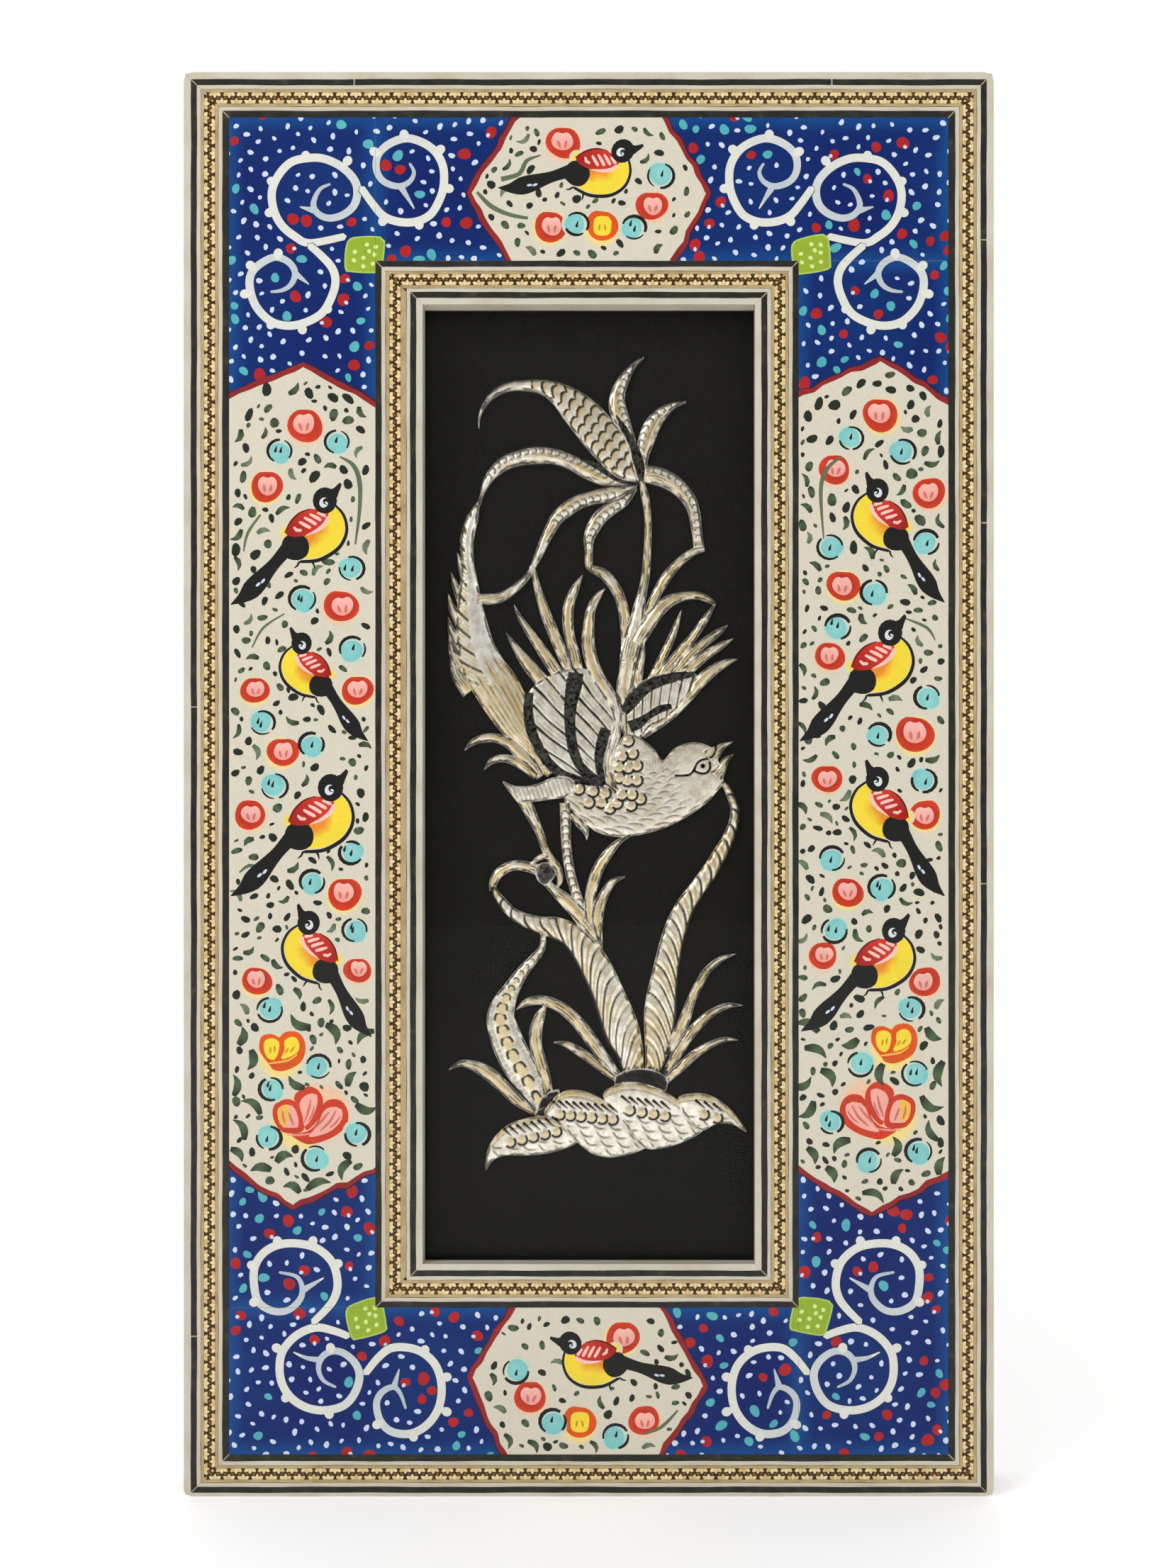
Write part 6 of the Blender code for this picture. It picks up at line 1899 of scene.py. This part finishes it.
class Pad:
    """A broad form with a rounded edge: the bird's body, a wing or a ground leaf."""

    def __init__(self, outline, style="plain"):
        self.outline = smooth_run(outline, FINE_STEP * 1.6, closed=True)
        self.style = style

    def surface(self, points):
        gap = distance_to_path(points, close(self.outline))[0]
        share = np.clip(gap / PAD_DOME, 0, 1)
        height = RELIEF_EDGE + PAD_RISE * np.sqrt(1 - (1 - share) ** 2)
        edge = edge_cut(points, gap) * 0.8
        engrave = getattr(self, self.style)
        cut, warm = engrave(points, gap)
        return height - CUT * np.maximum(cut, edge), np.maximum(cut, edge), warm

    def plain(self, points, gap):
        return np.zeros(len(points)), np.full(len(points), 0.12)

    def body(self, points, gap):
        """Fine wavy rows over the belly, short strokes on the nape, a calm cheek."""
        x, y = points[:, 0], points[:, 1]
        reach = np.hypot(x - 62, (y - 640) * 1.05)
        angle = np.arctan2(y - 640, x - 62)
        row = np.round(reach / BODY_PITCH)
        wave = np.sin(angle * 24 + row * 2.4)
        cut = line_mark(reach / BODY_PITCH + 0.20 * wave, 0.24) * np.clip(wave + 0.8, 0, 1)
        nape = (y > 575) & (x < 95)
        nape_cut = line_mark(angle * 14, 0.22) * np.clip(np.sin(reach * 0.45) + 0.6, 0, 1)
        cut = np.where(nape, nape_cut, cut)
        calm = np.clip((x - 98) / 22, 0, 1) * np.clip((y - 520) / 20, 0, 1)
        return cut * 0.66 * (1 - calm) * (gap > 3), 0.10 + 0.22 * rough(points, 24.0)

    def wing(self, points, centre, pitch):
        """Long cuts that fan out from a far point, finer ones between, and gold and silver stripes."""
        away = points - centre
        phase = np.arctan2(away[:, 1], away[:, 0]) / pitch + 0.3 * (rough(points, 40.0) - 0.5)
        cut = line_mark(phase, 0.07 + 0.13 * rough(points + 70, 20.0))
        fine = line_mark(phase * 3, 0.2) * np.clip(rough(points, 13.0) * 2.4 - 1.0, 0, 1) * 0.6
        stripe = np.clip(np.sin(phase * 4 * math.pi) * 0.7 + rough(points, 18.0) * 1.2 - 0.6, 0, 1)
        return np.maximum(cut, fine), stripe * 0.7

    def left_wing(self, points, gap):
        return self.wing(points, (200, 390), 0.047)

    def right_wing(self, points, gap):
        return self.wing(points, (40, 380), 0.042)

    def thigh(self, points, gap):
        cut = line_mark((points[:, 0] + points[:, 1] * 0.35) / 6.5, 0.22) * (gap > 3)
        return cut * 0.55, np.full(len(points), 0.1)

    def disc(self, points, gap):
        return np.where(gap > 2, 0.80 + 0.2 * rough(points, 2.6), 0.2), np.zeros(len(points))

    def dark(self, points, gap):
        """Black oxide, with a ragged bright rim."""
        black = np.clip((gap - 3.5 * rough(points, 5.0) + 0.8) / 1.2, 0, 1)
        return black * (0.92 + 0.08 * rough(points, 3.0)), np.zeros(len(points))

    def ground(self, points, gap):
        """A gold rim along the top, and broad crescent strokes below."""
        x, y = points[:, 0], points[:, 1]
        low, high = self.outline[:, 1].min(), self.outline[:, 1].max()
        crest = np.interp(x, *self.crest())
        top = crest - y
        rim = np.clip(1 - np.abs(top - GOLD_RIM) / 1.4, 0, 1) * 0.7
        down = y * 0.9 + x * 0.42
        across = x * 0.9 - y * 0.42
        wave = np.sin(across / 5.2 + np.round(down / 8.6) * 2.1)
        strokes = line_mark(down / 8.6 + 0.34 * wave, 0.22) * np.clip(wave + 0.85, 0, 1)
        below = (y - low) / (high - low) < 0.56
        cut = np.maximum(strokes * 0.7 * below * (gap > 4), rim)
        streak = np.clip(rough(np.stack([x / 16, top / 3.2], axis=1), 1.0) * 1.8 - 0.3, 0, 1)
        return cut, np.where(top < GOLD_RIM, 0.25 + 0.6 * streak, 0.08)

    def crest(self):
        """Columns across the pad and the height of its upper edge at each."""
        columns = np.linspace(self.outline[:, 0].min(), self.outline[:, 0].max(), 60)
        ring = close(self.outline)
        tops = np.full(len(columns), -1e9)
        for (ax, ay), (bx, by) in zip(ring[:-1], ring[1:]):
            across = (columns - ax) * (columns - bx) <= 0
            if ax != bx:
                heights = ay + (by - ay) * (columns - ax) / (bx - ax)
                tops = np.where(across, np.maximum(tops, heights), tops)
        return columns, tops


def relief_forms():
    """The relief's forms, the lowest first."""
    forms = []
    for name, rows in PLUME.items():
        forms.append(Blade(rows, "plume" if name == "plume" else "leaf"))
    for name, rows in FLOWER.items():
        if name == "great_petal":
            forms += [Band(shade) for shade in PETAL_SHADES]
        forms.append(Blade(rows, "scales" if name == "great_petal" else BEADED.get(name, "leaf")))
    forms += [Blade(rows) for rows in FEATHERS.values()]
    forms += [Pad(outline, "right_wing") for outline in RIGHT_WING.values()]
    forms += [Pad(outline, "body") for outline in BODY.values()]
    forms += [Blade(rows) for rows in BEAKS.values()]
    forms += [Pad(outline, "left_wing") for outline in LEFT_WING.values()]
    forms += [Band(rows) for rows in WING_BANDS.values()]
    forms += [Blade(rows) for rows in WING_EDGE.values()]
    forms += [Pad(outline) for outline in FORK_HUB.values()]
    forms += [Blade(rows, BEADED.get(name, "leaf")) for name, rows in LEGS.items()]
    forms += [Pad(outline, "disc") for outline in DISC.values()]
    forms += [Blade(rows) for rows in FRONT_LEG.values()]
    forms += [Pad(outline, "thigh") for outline in THIGH.values()]
    forms += [Blade(rows) for rows in SMALL_LEAVES.values()]
    forms.append(Blade(GREAT_LEAVES["great_left_leaf"], ("hatch", -1, 0, 1)))
    forms.append(Blade(GREAT_LEAVES["great_right_leaf"], ("hatch", 1, 0, 1)))
    for name, rows in TUFTS.items():
        forms.append(Blade(rows, "middle_beads" if name == "bead_leaf" else "tuft"))
    for name, outline in GROUND.items():
        forms.append(Pad(outline, "dark" if name in ("neck", "tuft_base") else "ground"))
    return forms


def round_beads():
    """The beads on the wing's root and on the ground leaves: centre and radius."""
    beads = [(column, row, 7.5) for column, row in ROOT_BEADS]
    for first, last, count in BEAD_ROWS:
        for index in range(count):
            share = index / (count - 1)
            beads.append((*(a + (b - a) * share for a, b in zip(first, last)), 6.8))
    return beads


def ground_slits():
    """Short slanting slits above each row of beads on the ground leaves."""
    slits = []
    for (first_x, first_y), (last_x, last_y), count in BEAD_ROWS:
        slit_count = round(count * 1.5)
        for index in range(slit_count):
            share = index / (slit_count - 1)
            x = first_x - 5 + (last_x - first_x + 6) * share
            y = first_y + 15 + (last_y - first_y) * share
            slits.append(((x - 6, y + 5), (x + 6, y - 5)))
    return slits


# The eye and its ring, the brow that runs on to the beak, and the line under the eye, on the relief's grid
EYE = (141.5, 578.5)
FACE_LINES = [
    [(103, 565), (114, 565), (124, 567), (130, 575), (133, 582), (139, 587), (148, 589), (155, 592),
     (159, 599), (160, 606), (156, 610)],
    [(131, 571), (139, 568), (147, 569), (152, 576), (151, 584)],
]


def relief_surface(points, forms, owner):
    height = np.full(len(points), RELIEF_EDGE)
    patina_and_shade = np.zeros(len(points))
    warm = np.zeros(len(points))
    for index, form in enumerate(forms):
        mine = owner == index
        if mine.any():
            height[mine], patina_and_shade[mine], warm[mine] = form.surface(points[mine])
    for (ax, ay), (bx, by) in ground_slits():
        gap, place = distance_to_path(points, np.array([(ax, ay), (bx, by)], float))
        mark = np.clip((2.6 - 1.4 * place - gap) / 0.9, 0, 1)
        height -= CUT * mark
        patina_and_shade = np.maximum(patina_and_shade, mark)
    for column, row, radius in round_beads():
        away = np.hypot(points[:, 0] - column, points[:, 1] - row) / radius
        near = away < 1.5
        bead = np.sqrt(np.clip(1 - away ** 2, 0, 1))
        # Each bead's dark cut ring lies on its lower right only: partly oxide in a chased groove, partly
        # painted shade on the side turned from the light.
        shaded_lower_right = (points[:, 0] - column - (points[:, 1] - row)) > -radius * 0.2
        ring = np.clip((1 - np.abs(away - 1.1) / 0.34) * 1.6, 0, 1) * shaded_lower_right
        height[near] += (BEAD_RISE * 0.8 * bead - CUT * ring)[near]
        patina_and_shade[near] = np.maximum(np.where(bead > 0.2, 0.0, patina_and_shade), ring)[near]
        warm[near] = np.maximum(warm, bead * 0.72)[near]
    pupil = np.clip((4.2 - np.hypot(points[:, 0] - EYE[0], points[:, 1] - EYE[1])) / 1.2, 0, 1)
    height += CUT * pupil
    patina_and_shade = np.maximum(patina_and_shade, pupil)
    for line in FACE_LINES:
        gap = distance_to_path(points, smooth_run(line, 4))[0]
        mark = np.clip((2.4 - gap) / 1.1, 0, 1)
        height -= CUT * mark
        patina_and_shade = np.maximum(patina_and_shade, mark)
    return np.clip(height, RELIEF_EDGE - BAND_DEPTH, RELIEF_EDGE + RELIEF_RISE), patina_and_shade, warm


def relief_plan(forms):
    """The relief from the front: its points, triangles, and the uppermost form at each point."""
    points, edges = [], []
    for form in forms:
        add_loop(points, edges, form.outline)
    low = np.array((LEFT_COLUMN, LOW_ROW), float)
    high = np.array((RIGHT_COLUMN, HIGH_ROW), float)
    columns = np.arange(low[0], high[0], FIELD_STEP)
    rows = np.arange(low[1], high[1], FIELD_STEP * 0.87)
    field = np.array([(c + (order % 2) * FIELD_STEP / 2, r) for order, r in enumerate(rows) for c in columns])
    covered = np.zeros(len(field), bool)
    too_near = np.zeros(len(field), bool)
    for form in forms:
        least, most = form.outline.min(axis=0) - 2, form.outline.max(axis=0) + 2
        near = np.flatnonzero(((field > least) & (field < most)).all(axis=1))
        covered[near] |= inside_outline(field[near], form.outline)
        too_near[near] |= distance_to_path(field[near], close(form.outline))[0] < FIELD_STEP * 0.45
    points.extend(Vector((float(x), float(y))) for x, y in field[covered & ~too_near])
    found, _, faces, *_ = delaunay_2d_cdt(points, edges, [], 0, 0.02)
    plan = np.array([tuple(point) for point in found])
    faces = np.array([tuple(face) for face in faces])
    middles = plan[faces].mean(axis=1)
    owner_face = np.full(len(faces), -1)
    for index, form in enumerate(forms):
        least, most = form.outline.min(axis=0), form.outline.max(axis=0)
        near = np.flatnonzero(((middles > least) & (middles < most)).all(axis=1))
        owner_face[near[inside_outline(middles[near], form.outline)]] = index
    kept = owner_face >= 0
    faces, owner_face = faces[kept], owner_face[kept]
    owner = np.full(len(plan), -1)
    np.maximum.at(owner, faces.ravel(), np.repeat(owner_face, 3))
    return plan, faces, owner


def build_relief(materials):
    low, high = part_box("chased_bird_relief")
    forms = relief_forms()
    plan, faces, owner = relief_plan(forms)
    used = np.unique(faces)
    place = np.full(len(plan), -1)
    place[used] = np.arange(len(used))
    plan, owner, faces = plan[used], owner[used], place[faces]
    height, patina_and_shade, warm = relief_surface(plan, forms, owner)
    rim = open_edges(faces.tolist())
    on_rim = np.zeros(len(plan), bool)
    on_rim[[index for edge in rim for index in edge]] = True
    height[on_rim] = np.minimum(height[on_rim], RELIEF_EDGE)
    patina_and_shade[on_rim] = np.maximum(patina_and_shade[on_rim], 0.35)
    grid = (high.x - low.x) / (plan[:, 0].max() - plan[:, 0].min())
    grid_rows = (high.z - low.z) / (plan[:, 1].max() - plan[:, 1].min())
    x = low.x + (plan[:, 0] - plan[:, 0].min()) * grid
    z = low.z + (plan[:, 1] - plan[:, 1].min()) * grid_rows
    count = len(plan)
    front = np.stack([x, high.y - height, z], axis=1)
    back_index = np.full(count, -1)
    rim_points = sorted({index for edge in rim for index in edge})
    back_index[rim_points] = np.arange(len(rim_points)) + count
    back = np.stack([x[rim_points], np.full(len(rim_points), high.y), z[rim_points]], axis=1)
    walls = [(b, a, back_index[a], back_index[b]) for a, b in rim]
    behind = back_faces(plan, rim, forms, back_index)
    points = np.concatenate([front, back])
    every = [tuple(face) for face in faces.tolist()]
    every += [tuple(int(index) for index in wall) for wall in walls]
    every += behind
    mesh = bpy.data.meshes.new("bird_relief_chased")
    mesh.from_pydata(points.tolist(), [], every)
    smooth = np.zeros(len(mesh.polygons), bool)
    smooth[:len(faces)] = True
    mesh.polygons.foreach_set("use_smooth", smooth)
    for name, values in (("patina_and_shade", patina_and_shade), ("warm", warm)):
        attribute = mesh.attributes.new(name, "FLOAT", "POINT")
        full = np.zeros(len(points), np.float32)
        full[:count] = values
        full[count:] = 0.4 if name == "patina_and_shade" else 0.0
        attribute.data.foreach_set("value", full)
    if mesh.polygons[0].normal.y > 0:
        mesh.flip_normals()
    add_piece("bird_relief_chased", mesh, [materials["silver"]], ["chased_bird_relief"])


def back_faces(plan, rim, forms, back_index):
    """Triangles over the rim's points alone, for the flat back."""
    used = sorted({index for edge in rim for index in edge})
    place = {index: order for order, index in enumerate(used)}
    points = [Vector((float(plan[index][0]), float(plan[index][1]))) for index in used]
    edges = [(place[a], place[b]) for a, b in rim]
    found, _, faces, originals, *_ = delaunay_2d_cdt(points, edges, [], 0, 0.0)
    flat = np.array([tuple(point) for point in found])
    faces = np.array([tuple(face) for face in faces])
    middles = flat[faces].mean(axis=1)
    covered = np.zeros(len(faces), bool)
    for form in forms:
        covered |= inside_outline(middles, form.outline)
    source = [int(back_index[used[original[0]]]) for original in originals]
    return [tuple(source[index] for index in reversed(face)) for face in faces[covered].tolist()]


def finish_rails_and_glass(materials):
    for side in SIDES:
        finish = materials["rail_upright"] if side in ("left", "right") else materials["rail_across"]
        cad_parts[f"frame_rail_{side}"].material_slots[0].material = finish
    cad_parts["sawtooth_hanger"].material_slots[0].material = materials["steel"]
    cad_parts["window_glass"].material_slots[0].material = materials["glass"]


def build_velvet_board(materials):
    """A fibre board with velvet on its front and wrapped over its edges."""
    low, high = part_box("velvet_board")
    corners = [(low.x, low.z), (high.x, low.z), (high.x, high.z), (low.x, high.z)]
    points = [(x, y, z) for y in (low.y, high.y) for x, z in corners]
    faces = [(0, 1, 2, 3), (4, 7, 6, 5)] + [(index, index + 4, (index + 1) % 4 + 4, (index + 1) % 4)
                                           for index in range(4)]
    mesh = mesh_from("covered_board", points, faces, [0, 1, 0, 0, 0, 0])
    looks = [materials["velvet"], materials["backing"]]
    add_piece("covered_board", mesh, looks, ["velvet_board"])


def add_camera():
    """Square to the front, a little right of and below the middle, shifted back to frame the whole."""
    camera = bpy.data.cameras.new("camera")
    camera.sensor_fit = "VERTICAL"
    camera.sensor_height = 36.0
    camera.lens = 30.05
    camera.shift_x = -0.0411
    camera.shift_y = 0.0678
    camera.clip_start = 0.01
    camera.clip_end = 20.0
    holder = bpy.data.objects.new("camera", camera)
    bpy.context.scene.collection.objects.link(holder)
    holder.location = (0.018, FRONT_Y - 0.370, CENTRE_Z - 0.030)
    holder.rotation_euler = (math.radians(90), 0, 0)
    bpy.context.scene.camera = holder


# The world's brightness in front of the frame
FRONT_LIGHT = (0.50, 0.50, 0.50)


def add_area(name, place, target, size, power):
    lamp = bpy.data.lights.new(name, "AREA")
    lamp.shape = "RECTANGLE"
    lamp.size, lamp.size_y = size
    lamp.energy = power
    holder = bpy.data.objects.new(name, lamp)
    bpy.context.scene.collection.objects.link(holder)
    holder.location = place
    direction = Vector(target) - Vector(place)
    holder.rotation_euler = direction.to_track_quat("-Z", "Y").to_euler()


def add_studio():
    """A pale floor, a pale world that is dimmer in front, and soft lamps to the left and right."""
    world = bpy.data.worlds.new("studio")
    world.use_nodes = True
    nodes, links = world.node_tree.nodes, world.node_tree.links
    direction = nodes.new("ShaderNodeTexCoord")
    parts = nodes.new("ShaderNodeSeparateXYZ")
    shade = nodes.new("ShaderNodeValToRGB")
    front, behind = shade.color_ramp.elements
    front.position, behind.position = 0.0, 0.3
    front.color = (*FRONT_LIGHT, 1.0)
    behind.color = (1.0, 1.0, 1.0, 1.0)
    links.new(direction.outputs["Generated"], parts.inputs["Vector"])
    links.new(parts.outputs["Y"], shade.inputs["Fac"])
    links.new(shade.outputs["Color"], nodes["Background"].inputs["Color"])
    bpy.context.scene.world = world
    floor_mesh = bpy.data.meshes.new("floor")
    reach = 6.0
    level = FRAME_EDGES["bottom"] - 0.0002
    corners = [(-reach, -reach, level), (reach, -reach, level), (reach, reach, level), (-reach, reach, level)]
    floor_mesh.from_pydata(corners, [], [(0, 1, 2, 3)])
    floor = bpy.data.objects.new("floor", floor_mesh)
    bpy.context.scene.collection.objects.link(floor)
    finish = Finish("floor", (0.9, 0.9, 0.9), 0.9)
    finish.set("Emission Color", (1.0, 1.0, 1.0, 1.0))
    finish.set("Emission Strength", 0.35)
    clouds = finish.noise(3, 2)
    finish.colour_from(finish.ramp(clouds, [(0.3, (0.89, 0.89, 0.89)), (0.7, (0.91, 0.91, 0.91))]))
    floor_mesh.materials.append(finish.material)
    target = (0, FRONT_Y, CENTRE_Z)
    add_area("lamp_left", (-0.8, -0.7, CENTRE_Z + 0.7), target, (0.45, 0.45), 5.0)
    add_area("lamp_right", (0.95, -0.8, CENTRE_Z + 0.35), target, (0.6, 0.8), 1.5)
    bpy.context.scene.view_settings.view_transform = "Standard"


def main():
    materials = {
        "white_bone": bone_material(),
        "black_wood": ebony_material(),
        "glue": glue_material(),
        "pale_slivers": pale_sliver_material(),
        "dark_slivers": sliver_material("mosaic_dark_slivers", linear(48, 32, 12), linear(76, 53, 20)),
        "brown_slivers": sliver_material("mosaic_brown_slivers", linear(112, 84, 38), linear(146, 114, 62)),
        "lip_wood": lip_wood_material(),
        "rail_upright": rail_material("rail_wood_upright", (6.0, 6.0, 0.4)),
        "rail_across": rail_material("rail_wood_across", (0.4, 6.0, 6.0)),
        "glass": glass_material(),
        "velvet": velvet_material(),
        "steel": steel_material(),
        "backing": backing_material(),
        "silver": silver_material(),
        "paint": painted_material(),
    }
    add_camera()
    add_studio()
    build_strips(OUTER_LINES, materials)
    build_strips(INNER_LINES, materials)
    build_painted_sheets(materials)
    finish_rails_and_glass(materials)
    build_velvet_board(materials)
    build_relief(materials)


main()
